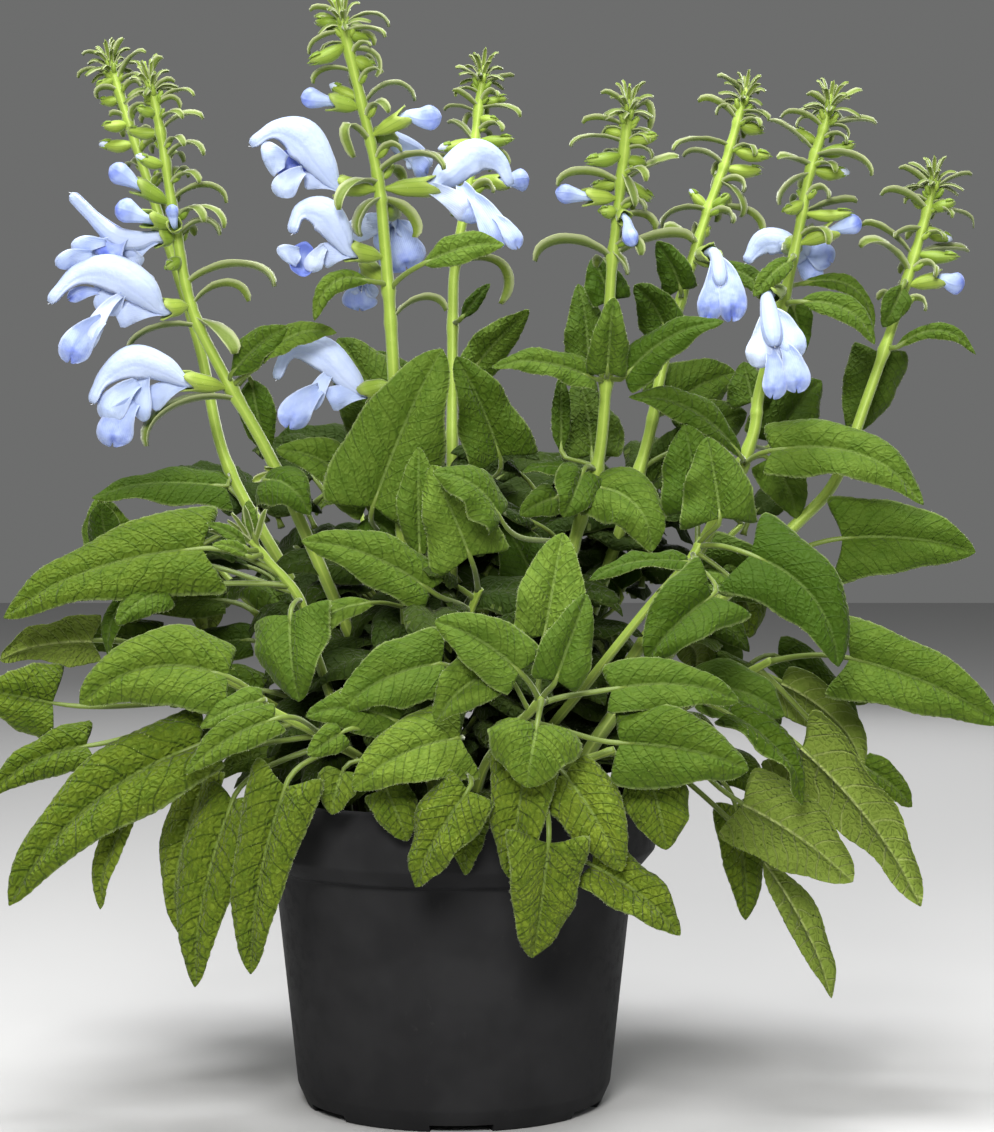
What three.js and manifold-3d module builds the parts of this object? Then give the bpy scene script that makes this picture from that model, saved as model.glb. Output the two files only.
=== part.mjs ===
// A clump of gentian-type perennial sage (salvia) growing in its round nursery pot.
// Millimetres, +Z up, origin at the centre of the pot's foot; the show side faces -Y.
import * as THREE from 'three';
import { mergeVertices } from 'three/addons/utils/BufferGeometryUtils.js';
import Module from 'manifold-3d';

// ---- driving dimensions, mm ----
const POT_HEIGHT = 131;
const RIM_RADIUS = 85;
const COLLAR_FOOT = 101;        // height at which the collar steps out of the wall
const WALL_TOP_RADIUS = 75.4;
const FOOT_RADIUS = 61.7;
const HEEL_RADIUS = 65.7;
const HEEL_HEIGHT = 9;
const WALL = 2.2;
const FLOOR = 5.5;
const CHANNEL_DEPTH = 3;        // drainage channels under the floor
const CHANNELS = 6;
const POT_SIDES = 28;
const COMPOST_TOP = 119;
const CLEARANCE = 0.35;         // between compost and pot
const STEM_FOOT = 104;          // how deep the stems stand
const BLADE_EDGE = 0.64;        // leaf thickness at the margin
const RIB_TOP = 0.45;
const RIB_UNDER = 0.75;
const PETIOLE_HALF = 1.15;
const SMALL_BLADE = 0.8;        // thickness of small leaves
const GAP = 0.7;                // kept between separate stems, leaves and flowers

// ---- layout sheet: a front elevation ruled in divisions, origin at its top left corner ----
const DIV = 0.4187;             // mm per division at the pot's axis
const AXIS_U = 497;
const AXIS_X = 18;
const GROUND_V = 1103;
const EYE_Y = 1250;             // the elevation is drawn from this far in front
const EYE_Z = 275;

// Flowering stems: points [across, down, depth] from the compost to the tip, then radius at foot and tip.
const STEMS = [
  ["stem_1", 2.9, 1.7, [[384,790,16],[350,700,12],[290,580,6],[227,462,0],[200,345,-4],[160,215,-6],[128,115,-7],[107,46,-8]]],
  ["stem_2", 2.9, 1.7, [[402,790,-14],[384,720,-18],[335,600,-22],[272,460,-26],[224,374,-28],[192,305,-29],[175,214,-30],[162,130,-30],[147,64,-30]]],
  ["stem_3", 3.1, 1.7, [[416,790,-34],[412,700,-34],[404,560,-34],[397,430,-34],[391,320,-34],[385,241,-34],[379,182,-34],[363,107,-34],[342,20,-34],[337,0,-34]]],
  ["stem_4", 2.9, 1.7, [[446,790,24],[450,700,24],[452,520,22],[453,321,20],[456,262,20],[469,188,20],[479,110,20],[484,56,20]]],
  ["stem_5", 3.1, 1.7, [[500,790,-2],[520,730,-4],[553,620,-8],[577,532,-10],[598,462,-12],[606,381,-13],[611,274,-14],[620,190,-14],[627,120,-14],[629,86,-14]]],
  ["stem_6", 2.9, 1.7, [[524,790,30],[552,720,28],[600,590,24],[645,450,20],[662,368,18],[687,277,16],[706,215,16],[724,165,16],[740,110,16],[748,78,16]]],
  ["stem_7", 3.1, 1.7, [[548,790,6],[590,720,4],[655,625,0],[715,520,-3],[751,440,-5],[759,391,-5],[781,308,-6],[797,235,-6],[808,175,-6],[824,122,-6],[830,84,-6]]],
  ["stem_8", 3.1, 1.7, [[556,790,-30],[600,735,-28],[670,650,-16],[740,580,-6],[795,525,2],[835,480,3],[868,394,5],[896,311,6],[919,235,8],[930,190,8],[932,160,8]]],
];
// How far each flowering stem leans away from the viewer at the top of the sheet, mm.
const LEAN = {
  stem_1: 42, stem_2: -10, stem_3: -24, stem_4: 56, stem_5: -34, stem_6: 50, stem_7: 2, stem_8: 24,
};
// Leafy shoots without flowers.
const SHOOTS = [
  ["shoot_a", 2.4, 1.5, [[388,790,-44],[372,770,-58],[332,742,-72],[285,718,-80],[240,698,-82]]],
  ["shoot_b", 2.4, 1.3, [[366,790,-28],[345,740,-38],[318,660,-46],[300,600,-50],[268,560,-52],[250,540,-54]]],
  ["shoot_c", 2.4, 1.3, [[362,790,4],[320,740,0],[245,690,-12],[170,655,-20],[115,640,-24]]],
  ["shoot_d", 2.4, 1.6, [[470,790,-52],[484,768,-64],[508,735,-80],[530,712,-92],[545,697,-98]]],
  ["shoot_e", 2.4, 1.5, [[432,790,-12],[440,740,-16],[455,680,-24],[468,620,-32],[480,588,-38]]],
  ["shoot_f", 2.4, 1.5, [[428,790,6],[420,700,0],[400,600,-8],[386,545,-16],[376,510,-22]]],
  ["shoot_g", 2.4, 1.5, [[508,790,-30],[535,750,-38],[590,680,-46],[650,605,-50],[690,560,-50],[702,538,-48]]],
  ["shoot_h", 2.4, 1.5, [[532,790,-9],[580,762,-8],[650,725,-12],[720,688,-20],[772,660,-28]]],
  ["shoot_i", 2.4, 1.6, [[497,790,-58],[515,782,-68],[545,772,-78],[585,760,-86],[615,750,-88]]],
  ["shoot_j", 2.4, 1.6, [[436,790,-60],[432,782,-68],[428,768,-76],[436,735,-78],[450,700,-72]]],
];
// Shoots at the back: [name, foot x, foot y, tip x, tip y, tip z, height of the bend].
const BACK_SHOOTS = [
  ["shoot_k", -47, 30, -118, 82, 232],
  ["shoot_l", -20, 52, -46, 142, 246],
  ["shoot_m", 14, 56, 48, 140, 238],
  ["shoot_n", 50, 34, 128, 92, 240],
];

// Leaves: [stem, down at the stem, base across, down, depth, tip across, down, depth,
//          width in divisions, roll deg, arch, fold, outline, large]
const H = 0;  // arrow-shaped with basal lobes
const C = 1;  // heart-shaped
const O = 2;  // lance-shaped
const R = 3;  // widest near its end
const LEAVES = [
  ["stem_1",470, 226,486,-4, 92,492,-22, 60,42,0.05,-0.10,C,1],
  ["stem_1",520, 118,562,-6, 100,497,-10, 62,0,0.02,0.05,C,1],
  ["shoot_b",575, 203,548,-56, 0,614,-66, 94,22,0.07,0.06,H,1],
  ["shoot_c",650, 92,640,-30, -4,657,-36, 62,150,0.05,0.05,H,1],
  ["shoot_b",592, 152,572,-42, 102,660,-46, 24,30,0.12,0.0,O,0],
  ["shoot_b",585, 166,590,-60, 117,624,-72, 40,20,0.10,-0.2,C,0],
  ["shoot_a",712, 226,676,-88, 77,703,-98, 92,24,0.16,-0.12,C,1],
  ["shoot_a",702, 52,703,-66, -16,690,-74, 84,14,0.0,0.05,H,1],
  ["shoot_a",700, 86,746,-74, -14,797,-82, 54,20,0.10,0.0,H,1],
  ["shoot_a",706, 200,744,-92, 4,907,-100, 84,20,0.10,0.12,C,1],
  ["shoot_a",722, 142,792,-82, 92,912,-86, 30,30,0.06,0.3,O,0],
  ["shoot_a",735, 206,776,-66, 168,936,-70, 62,35,0.05,0.1,C,1],
  ["shoot_a",742, 232,800,-80, 190,992,-88, 66,18,0.05,0.08,C,1],
  ["shoot_a",748, 285,786,-92, 248,978,-90, 76,10,0.05,0.1,H,1],
  ["shoot_a",738, 274,719,-102, 184,774,-110, 42,20,0.08,0.2,C,1],
  ["shoot_a",705, 262,700,-92, 200,727,-98, 34,20,0.08,0.0,C,0],
  ["shoot_b",600, 290,615,-66, 298,702,-78, 90,10,0.08,-0.15,H,1],
  ["shoot_e",640, 374,602,-52, 300,690,-60, 34,35,0.30,0.0,O,1],
  ["shoot_j",755, 398,722,-88, 304,714,-96, 52,15,0.12,0.0,C,1],
  ["shoot_j",765, 342,732,-96, 308,754,-102, 32,0,0.0,0.0,C,0],
  ["shoot_j",780, 342,772,-84, 331,815,-90, 44,10,0.05,0.0,C,0],
  ["shoot_j",705, 442,663,-84, 338,710,-96, 74,14,0.10,0.0,C,1],
  ["shoot_d",712, 494,670,-100, 434,722,-106, 56,14,0.12,0.35,C,1],
  ["shoot_j",750, 460,738,-94, 350,789,-104, 90,14,0.10,-0.08,H,1],
  ["shoot_e",612, 430,590,-58, 302,538,-70, 60,22,0.08,0.05,C,1],
  ["shoot_f",545, 373,506,-44, 440,348,-50, 104,4,0.02,0.06,C,1],
  ["shoot_f",535, 366,503,-28, 278,447,-40, 56,30,0.12,0.1,C,1],
  ["stem_2",472, 264,480,-40, 313,514,-52, 52,20,0.25,-0.1,C,1],
  ["shoot_f",520, 366,518,-34, 405,552,-44, 58,10,0.12,0.0,C,1],
  ["shoot_e",600, 420,556,-52, 419,447,-58, 42,0,0.03,0.1,O,1],
  ["shoot_e",592, 470,556,-56, 431,466,-62, 86,4,0.02,0.08,H,1],
  ["stem_5",548, 500,516,-62, 433,471,-70, 62,40,0.16,-0.1,C,1],
  ["stem_4",500, 500,456,-14, 457,357,-24, 76,10,0.03,0.2,H,1],
  ["shoot_f",560, 398,432,-8, 338,336,-4, 84,0,0.08,0.0,C,1],
  ["stem_5",470, 561,450,-2, 561,374,0, 20,0,0.0,0.2,O,0],
  ["stem_5",480, 592,455,8, 580,376,22, 64,0,0.02,0.0,C,0],
  ["stem_6",478, 655,484,28, 702,420,30, 50,0,0.05,0.0,C,0],
  ["stem_5",520, 556,497,-18, 520,514,-26, 34,15,0.05,0.0,C,0],
  ["stem_5",625, 536,588,14, 500,520,22, 60,0,0.05,0.0,C,0],
  ["stem_6",640, 620,590,40, 566,540,50, 56,0,0.05,0.0,C,0],
  ["stem_7",600, 700,566,14, 776,600,16, 74,0,0.10,0.0,C,0],
  ["stem_7",640, 672,622,16, 742,664,18, 62,0,0.08,0.0,C,0],
  ["stem_5",472, 583,471,-26, 565,516,-38, 50,10,0.06,0.0,C,1],
  ["stem_5",468, 576,470,-22, 521,469,-30, 24,60,0.08,0.0,O,0],
  ["stem_5",478, 594,486,-26, 655,551,-42, 66,20,0.20,-0.1,C,1],
  ["shoot_d",705, 544,636,-90, 562,531,-82, 70,0,0.04,0.1,C,1],
  ["shoot_d",700, 556,680,-106, 588,593,-102, 54,0,0.04,0.15,C,1],
  ["shoot_d",702, 519,671,-106, 434,620,-108, 66,14,0.08,-0.05,C,1],
  ["shoot_d",699, 537,726,-110, 526,788,-122, 94,5,0.10,-0.08,C,1],
  ["shoot_d",706, 612,689,-98, 743,698,-98, 58,26,0.08,0.1,C,1],
  ["shoot_d",722, 620,743,-104, 751,768,-110, 86,14,0.05,-0.05,C,1],
  ["shoot_d",728, 528,748,-102, 508,882,-106, 80,8,0.04,0.1,H,1],
  ["shoot_i",774, 549,846,-118, 534,968,-108, 86,2,0.02,0.1,H,1],
  ["shoot_i",770, 565,775,-98, 622,873,-110, 70,14,0.06,-0.05,C,1],
  ["shoot_i",766, 592,866,-98, 684,936,-102, 60,18,0.06,0.15,C,1],
  ["shoot_i",752, 652,784,-92, 667,851,-96, 66,8,0.04,0.1,C,1],
  ["shoot_j",766, 468,790,-104, 411,887,-100, 66,12,0.05,-0.1,C,1],
  ["shoot_j",775, 470,806,-93, 463,878,-92, 40,0,0.02,0.0,C,0],
  ["shoot_j",778, 386,790,-86, 407,842,-90, 48,10,0.05,0.0,C,0],
  ["shoot_g",560, 712,596,-76, 645,659,-88, 88,12,0.08,0.45,H,1],
  ["shoot_g",555, 688,562,-66, 588,575,-78, 34,58,0.08,0.1,C,1],
  ["shoot_g",552, 735,588,-60, 656,586,-68, 40,62,0.04,0.2,C,1],
  ["shoot_g",545, 720,518,-56, 706,436,-52, 80,0,0.02,0.08,H,1],
  ["stem_7",462, 740,455,-22, 630,393,-36, 38,34,0.12,0.0,O,1],
  ["shoot_g",548, 697,508,-40, 684,424,-36, 72,0,0.02,0.0,C,1],
  ["stem_7",470, 772,450,-20, 928,497,-40, 70,20,0.13,0.05,C,1],
  ["stem_7",466, 768,458,4, 796,518,4, 50,10,0.08,0.0,C,1],
  ["stem_8",578, 842,538,-20, 976,551,-26, 90,8,0.05,0.06,H,1],
  ["shoot_g",546, 750,554,-66, 840,666,-78, 96,10,0.16,-0.08,H,1],
  ["shoot_h",662, 850,658,-42, 1004,724,-48, 88,10,0.05,0.06,H,1],
  ["shoot_h",672, 782,682,-22, 868,762,-14, 64,150,0.08,0.0,C,1],
  ["shoot_h",690, 802,748,-40, 924,906,-44, 80,158,0.05,0.08,H,1],
  ["shoot_h",722, 744,804,-54, 854,882,-58, 90,160,0.04,-0.06,C,1],
  ["shoot_h",668, 866,768,-22, 915,807,-20, 36,20,0.05,0.0,C,0],
  ["shoot_h",735, 766,862,-30, 836,999,-32, 44,150,0.04,0.05,O,1],
  ["shoot_h",728, 736,806,-18, 750,923,-20, 50,20,0.02,0.1,C,1],
  ["shoot_h",704, 730,714,-64, 812,803,-72, 56,50,0.10,0.1,C,1],
  ["shoot_h",712, 700,686,-40, 786,716,-40, 64,30,0.10,0.0,C,1],
  ["stem_3",288, 372,282,-42, 314,321,-52, 24,10,0.30,0.0,O,0],
  ["stem_3",291, 424,264,-48, 503,242,-56, 34,24,0.06,-0.1,O,1],
  ["stem_2",384, 232,374,-32, 285,326,-44, 36,24,0.04,0.0,O,0],
  ["stem_2",388, 262,362,-40, 337,331,-46, 30,40,0.16,0.0,O,0],
  ["stem_2",392, 252,380,-18, 268,452,-18, 38,0,0.02,0.0,O,0],
  ["stem_5",312, 611,300,-4, 592,258,0, 44,0,0.02,0.0,C,0],
  ["stem_5",384, 592,378,-20, 493,362,-34, 40,30,0.08,0.0,C,1],
  ["stem_5",382, 624,377,-20, 722,320,-34, 44,20,0.10,-0.1,C,1],
  ["stem_5",380, 607,372,-22, 612,301,-38, 42,0,0.0,0.1,R,1],
  ["stem_5",378, 588,366,-2, 579,283,2, 46,0,0.03,0.0,C,1],
  ["stem_6",338, 664,328,8, 634,286,4, 44,0,0.08,0.0,C,1],
  ["stem_6",300, 680,290,8, 656,243,4, 36,0,0.06,0.0,C,0],
  ["stem_6",420, 668,410,28, 736,372,34, 70,0,0.08,0.0,C,1],
  ["stem_7",412, 752,402,12, 743,361,16, 46,0,0.0,0.0,C,0],
  ["stem_7",448, 772,442,14, 823,379,22, 66,0,0.08,0.0,C,1],
  ["stem_8",352, 878,352,16, 848,433,18, 60,0,0.06,0.0,C,1],
  ["stem_8",350, 896,347,2, 977,352,-2, 18,30,0.24,0.0,O,0],
  ["stem_7",306, 800,302,-14, 877,342,-20, 34,24,0.16,0.0,O,1],
  ["stem_7",292, 800,284,4, 877,329,4, 20,30,0.26,0.0,O,0],
  ["stem_7",258, 790,260,-16, 752,297,-26, 24,20,0.10,0.0,O,0],
  ["stem_7",300, 792,306,6, 802,356,8, 32,0,0.02,0.0,C,0],
  ["stem_6",262, 708,262,6, 766,292,-8, 28,24,0.14,0.0,O,0],
  ["stem_8",284, 902,286,-4, 882,327,-8, 28,10,0.04,0.2,O,0],
  ["stem_4",325, 462,318,12, 489,284,8, 16,10,0.03,0.0,O,0],
  ["stem_4",380, 476,366,10, 528,313,4, 40,0,0.06,0.0,C,1],
  ["stem_4",440, 420,420,26, 372,352,30, 60,0,0.05,0.0,C,1],
  ["stem_6",470, 690,440,30, 745,412,32, 60,0,0.06,0.0,C,1],
  ["shoot_b",552, 246,548,-58, 207,523,-62, 14,20,0.10,0.0,O,0],
  ["shoot_b",556, 248,556,-60, 213,544,-66, 14,20,0.10,0.0,O,0],
  ["shoot_b",548, 254,535,-55, 248,500,-58, 18,10,0.05,0.0,O,0],
];

// Bracts, straps that hook over: [stem, down at the stem, tip across, down, depth step, rise, width]
const BRACTS = [
  ["stem_1",62,85,57,-4,5,6], ["stem_1",78,80,80,2,9,6], ["stem_1",66,126,41,-2,2,6], ["stem_1",88,148,55,-6,10,6],
  ["stem_1",92,98,97,-4,6,7], ["stem_1",120,112,118,2,4,7],
  ["stem_2",84,165,60,-4,6,6], ["stem_2",96,177,84,3,6,7], ["stem_2",107,196,98,-5,10,7], ["stem_2",130,205,121,3,9,8],
  ["stem_2",160,205,157,-5,14,8], ["stem_2",200,228,204,3,16,8], ["stem_2",214,225,229,-6,15,8],
  ["stem_2",236,221,236,3,15,8], ["stem_2",284,275,287,-5,20,14], ["stem_2",304,249,302,4,18,12],
  ["stem_2",318,235,354,-9,6,15], ["stem_2",326,129,354,-3,14,12], ["stem_2",398,148,446,-10,22,16],
  ["stem_3",16,311,14,-3,4,7], ["stem_3",28,390,30,3,13,8], ["stem_3",34,386,40,-5,7,8], ["stem_3",34,310,57,-4,8,8],
  ["stem_3",51,377,79,-4,14,10], ["stem_3",72,314,86,3,10,8], ["stem_3",107,416,103,4,19,9],
  ["stem_3",142,355,159,-6,28,9], ["stem_3",174,444,171,-9,16,10], ["stem_3",184,340,211,-10,14,10],
  ["stem_3",198,362,237,-8,10,13], ["stem_3",198,414,238,8,10,14], ["stem_3",321,446,311,6,16,13],
  ["stem_4",84,456,70,-3,4,8], ["stem_4",84,514,78,3,2,8], ["stem_4",108,453,92,-4,2,9], ["stem_4",114,444,112,4,6,9],
  ["stem_4",110,520,119,-4,8,8], ["stem_4",145,448,124,5,6,9], ["stem_4",148,508,168,4,10,9], ["stem_4",163,430,158,4,4,9],
  ["stem_4",262,500,304,8,30,12],
  ["stem_5",108,600,95,-3,4,7], ["stem_5",126,582,125,3,6,8], ["stem_5",142,570,148,-4,9,9], ["stem_5",122,648,132,5,24,8],
  ["stem_5",150,651,160,-4,8,8], ["stem_5",182,678,159,4,4,10], ["stem_5",170,634,207,-7,3,9], ["stem_5",184,557,187,-6,12,11],
  ["stem_5",218,654,231,4,10,10], ["stem_5",258,535,262,-6,18,18], ["stem_5",256,691,242,6,10,17], ["stem_5",250,627,275,-7,2,12],
  ["stem_6",94,716,78,-3,3,8], ["stem_6",122,697,104,4,8,9], ["stem_6",112,767,123,-4,6,8], ["stem_6",94,757,96,3,3,7],
  ["stem_6",146,672,152,-5,10,10], ["stem_6",166,682,158,5,9,10], ["stem_6",180,739,218,-6,10,10], ["stem_6",210,760,236,5,16,11],
  ["stem_6",210,661,229,-6,12,11], ["stem_6",246,664,232,-10,8,11],
  ["stem_7",110,805,96,-3,3,8], ["stem_7",110,860,92,3,2,8], ["stem_7",128,779,119,-4,9,9], ["stem_7",128,874,126,4,6,9],
  ["stem_7",152,768,122,5,4,11], ["stem_7",156,870,177,-5,12,11], ["stem_7",165,776,160,-7,3,10], ["stem_7",174,778,206,-10,8,11],
  ["stem_7",212,855,203,6,4,11],
  ["stem_8",190,897,169,-3,4,8], ["stem_8",180,906,165,4,3,7], ["stem_8",190,970,176,3,5,9], ["stem_8",210,879,196,-4,9,9],
  ["stem_8",214,975,229,4,12,9], ["stem_8",256,860,226,4,8,11], ["stem_8",274,859,248,-6,14,13], ["stem_8",229,893,238,-7,4,9],
  ["stem_8",254,967,252,5,4,11],
];
// Closed calyces with a green or white bud inside: [stem, down, tip across, down, depth step, width]
const CALYCES = [
  ["stem_1",84,100,88,-4,9], ["stem_1",104,103,103,3,10], ["stem_1",128,106,128,-4,11], ["stem_1",148,104,146,3,12],
  ["stem_2",92,158,84,4,9], ["stem_2",118,140,110,-5,10], ["stem_2",138,130,132,4,11], ["stem_2",170,140,158,-6,11],
  ["stem_2",222,150,240,8,11], ["stem_2",262,168,268,-7,12],
  ["stem_3",28,317,24,3,12], ["stem_3",36,371,42,4,12], ["stem_3",50,311,64,-4,13], ["stem_3",62,375,70,4,14],
  ["stem_3",104,333,88,5,12], ["stem_4",108,506,100,4,10], ["stem_4",122,497,122,-4,10], ["stem_4",144,441,150,-4,12],
  ["stem_4",146,512,140,-4,12], ["stem_5",140,604,131,4,11], ["stem_5",158,586,162,-4,13], ["stem_5",144,656,137,-4,12],
  ["stem_5",164,645,163,4,12], ["stem_5",186,592,188,6,12], ["stem_5",184,651,200,5,13], ["stem_5",214,600,212,-5,12],
  ["stem_6",128,762,132,4,13], ["stem_6",152,768,158,-4,13], ["stem_6",172,760,172,4,13], ["stem_6",212,690,192,4,10],
  ["stem_6",212,728,196,-4,10], ["stem_6",240,706,226,5,12], ["stem_7",148,794,131,4,11], ["stem_7",158,852,146,-4,12],
  ["stem_7",174,845,174,4,13], ["stem_7",206,783,212,-6,12], ["stem_7",216,850,214,-6,11],
  ["stem_8",212,911,198,4,11], ["stem_8",212,952,203,-4,11], ["stem_8",230,948,240,4,12], ["stem_8",256,955,257,-5,12],
];
// Open flowers: [name, stem, down at the stem, calyx mouth across, down, depth,
//   swept tube and hood [across, down, depth, half height, half breadth], side axis (0 depth, 1 across),
//   petals [base across, down, depth, tip across, down, depth, width, roll, arch, outline]]
const BLOOMS = [
  ["bloom_1","stem_2",238,160,238,-34, [[136,241,-36,5,4],[112,234,-38,3.6,3],[73,195,-42,1.2,0.8]],0,
    [[130,245,-36,66,252,-42,34,20,0.10,C]]],
  ["bloom_2","stem_2",306,166,309,-36, [[142,290,-40,6.6,4.6],[112,272,-42,5.4,3.6],[78,276,-44,3.2,2],[51,303,-46,1.2,0.8]],0,
    [[134,300,-40,76,366,-52,32,0,-0.06,R],[124,286,-38,62,262,-34,34,10,0.05,C]]],
  ["bloom_3","stem_2",388,188,381,-38, [[164,369,-40,5.2,4],[134,361,-42,5,3.4],[106,378,-44,2.8,1.8],[93,403,-45,1.2,0.8]],0,
    [[156,376,-41,118,446,-50,40,0,0.14,R],[158,378,-38,138,422,-34,26,0,0.05,O]]],
  ["bloom_4","stem_3",192,342,187,-40, [[322,166,-42,5.8,4.4],[302,139,-43,6,3.8],[276,132,-45,3,2],[252,147,-46,1.2,0.8]],0,
    [[320,176,-43,264,152,-50,40,30,-0.32,R]]],
  ["bloom_5","stem_3",258,353,252,-42, [[340,236,-44,5.2,4],[324,214,-46,5,3.4],[302,213,-47,2.8,1.8],[293,234,-48,1.2,0.8]],0,
    [[340,252,-45,288,246,-50,34,30,-0.30,R]]],
  ["bloom_6","stem_3",284,369,270,-20, [[364,280,-13,4,4],[362,292,-10,2.4,3]],1,
    [[364,285,-11,360,312,-7,34,0,0.06,R]]],
  ["bloom_7","stem_3",214,390,212,-20, [[391,220,-14,5,4.4],[389,244,-9,2.4,2.4]],1,
    [[388,222,-12,344,238,-10,24,0,0.05,C],[392,226,-12,408,272,-11,46,0,0.02,R]]],
  ["bloom_8","stem_3",134,388,137,-22, [[401,146,-16,4,3.8],[418,156,-9,3,2.2],[431,167,-5,1.2,0.8]],0,
    [[407,157,-14,430,176,-9,20,20,0.05,R]]],
  ["bloom_9","stem_3",190,428,188,-26, [[448,177,-22,5.6,4.4],[474,157,-20,5.2,3.6],[498,164,-18,3.2,2],[510,187,-17,1.4,1]],0,
    [[452,192,-22,522,246,-34,38,10,-0.10,R]]],
  ["bloom_10","stem_3",384,368,391,-28, [[348,378,-26,5.2,4],[322,352,-25,5,3.4],[292,350,-23,3,2],[277,379,-22,1.3,0.9]],0,
    [[346,388,-28,296,434,-34,36,10,-0.14,R]]],
  ["bloom_11","stem_6",256,710,254,4, [[717,264,-3,5,5],[720,286,-9,3,4]],1,
    [[718,268,-6,719,322,-14,48,0,0.05,R]]],
  ["bloom_12","stem_7",246,791,247,4, [[782,243,12,4.6,4],[762,243,13,4,2.6],[745,263,13,1.4,0.9]],0,
    [[788,246,11,822,274,16,38,0,0.05,R]]],
  ["bloom_13","stem_7",288,768,296,-24, [[768,312,-33,6,6],[774,346,-42,4,5]],1,
    [[770,330,-38,782,400,-44,48,0,0.02,R],[766,322,-36,752,368,-38,34,0,0.0,C]]],
];
// Blue buds: [name, stem, down, calyx mouth across, down, depth, tip across, down, depth, half thickness]
const BUDS = [
  ["bud_1","stem_2",206,142,188,-34, 112,168,-36,4.6], ["bud_2","stem_2",228,150,220,-40, 117,208,-44,5],
  ["bud_3","stem_2",232,176,226,-38, 173,206,-44,2.6], ["bud_4","stem_3",112,334,104,-36, 302,99,-38,4.2],
  ["bud_5","stem_3",138,404,120,-36, 442,119,-38,5], ["bud_6","stem_4",184,503,183,16, 529,180,14,5],
  ["bud_7","stem_5",200,588,198,-18, 555,193,-20,4], ["bud_8","stem_5",212,624,219,-19, 633,247,-23,3.4],
  ["bud_9","stem_7",246,830,232,-8, 860,222,-10,4.4], ["bud_10","stem_8",286,936,280,6, 963,285,4,4.8],
];

// ---- small vector helpers ----
const add = (a, b) => [a[0] + b[0], a[1] + b[1], a[2] + b[2]];
const sub = (a, b) => [a[0] - b[0], a[1] - b[1], a[2] - b[2]];
const mul = (a, s) => [a[0] * s, a[1] * s, a[2] * s];
const dot = (a, b) => a[0] * b[0] + a[1] * b[1] + a[2] * b[2];
const cross = (a, b) => [a[1] * b[2] - a[2] * b[1], a[2] * b[0] - a[0] * b[2], a[0] * b[1] - a[1] * b[0]];
const len = (a) => Math.sqrt(dot(a, a));
const unit = (a) => mul(a, 1 / len(a));
const perp = (a, t) => unit(sub(a, mul(t, dot(a, t))));
const lerp = (a, b, t) => add(mul(a, 1 - t), mul(b, t));

// A point of the layout sheet at a depth behind the pot's axis.
function at(u, v, d) {
  const k = (EYE_Y + d) / EYE_Y;
  const z0 = (GROUND_V - v) * DIV;
  return [AXIS_X + (u - AXIS_U) * DIV * k, d, EYE_Z - (EYE_Z - z0) * k];
}

// Smooth curve through points, and its value at a share of the way along.
function spline(p, s) {
  const n = p.length - 1;
  const x = Math.min(Math.max(s, 0), 1) * n;
  const i = Math.min(Math.floor(x), n - 1);
  const t = x - i;
  const a = p[Math.max(i - 1, 0)];
  const b = p[i];
  const c = p[i + 1];
  const d = p[Math.min(i + 2, n)];
  const q = [0, 0, 0];
  for (let k = 0; k < 3; k++) {
    q[k] = 0.5 * (2 * b[k] + (c[k] - a[k]) * t + (2 * a[k] - 5 * b[k] + 4 * c[k] - d[k]) * t * t
      + (3 * b[k] - a[k] - 3 * c[k] + d[k]) * t * t * t);
  }
  return q;
}

// Stems: every stem first stands upright in the compost, then follows its points.
function lean(name, v) {
  return (LEAN[name] || 0) * Math.pow(Math.max(0, Math.min(1, (640 - v) / 640)), 1.2);
}
const stems = new Map();
function addStem(name, r0, r1, points) {
  const foot = points[0];
  const path = [[foot[0], foot[1], STEM_FOOT], [foot[0], foot[1], COMPOST_TOP + 4], ...points.slice(1)];
  stems.set(name, { name, r0, r1, path });
}
for (const [name, r0, r1, rows] of [...STEMS, ...SHOOTS]) {
  addStem(name, r0, r1, rows.map((q) => at(q[0], q[1], q[2] + lean(name, q[1]))));
}
for (const [name, x, y, tx, ty, tz] of BACK_SHOOTS) {
  const bend = [x + (tx - x) * 0.22, y + (ty - y) * 0.22, 160];
  const rise = [x + (tx - x) * 0.6, y + (ty - y) * 0.6, 160 + (tz - 160) * 0.62];
  addStem(name, 2.4, 1.3, [[x, y, COMPOST_TOP], bend, rise, [tx, ty, tz]]);
}
// The share along a stem at which it stands at a given height.
function shareAt(stem, z) {
  let best = 0;
  let miss = 1e9;
  for (let i = 0; i <= 240; i++) {
    const e = Math.abs(spline(stem.path, i / 240)[2] - z);
    if (e < miss) {
      miss = e;
      best = i / 240;
    }
  }
  return best;
}
// The point of a stem that the sheet shows at a given line.
function stemAt(stem, v) {
  let best = stem.path[0];
  let miss = 1e9;
  for (let i = 0; i <= 400; i++) {
    const p = spline(stem.path, i / 400);
    const k = (EYE_Y + p[1]) / EYE_Y;
    const seen = GROUND_V - (EYE_Z - (EYE_Z - p[2]) / k) / DIV;
    if (Math.abs(seen - v) < miss) {
      miss = Math.abs(seen - v);
      best = p;
    }
  }
  return best;
}

// ---- solids ----
const wasm = await Module();
wasm.setup();
const { Manifold, Mesh } = wasm;

function solid(verts, tris) {
  const m = new Manifold(new Mesh({
    numProp: 3,
    vertProperties: new Float32Array(verts.flat()),
    triVerts: new Uint32Array(tris.flat()),
  }));
  if (m.volume() < 0) {
    return new Manifold(new Mesh({
      numProp: 3,
      vertProperties: new Float32Array(verts.flat()),
      triVerts: new Uint32Array(tris.map(([a, b, c]) => [a, c, b]).flat()),
    }));
  }
  return m;
}
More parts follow.
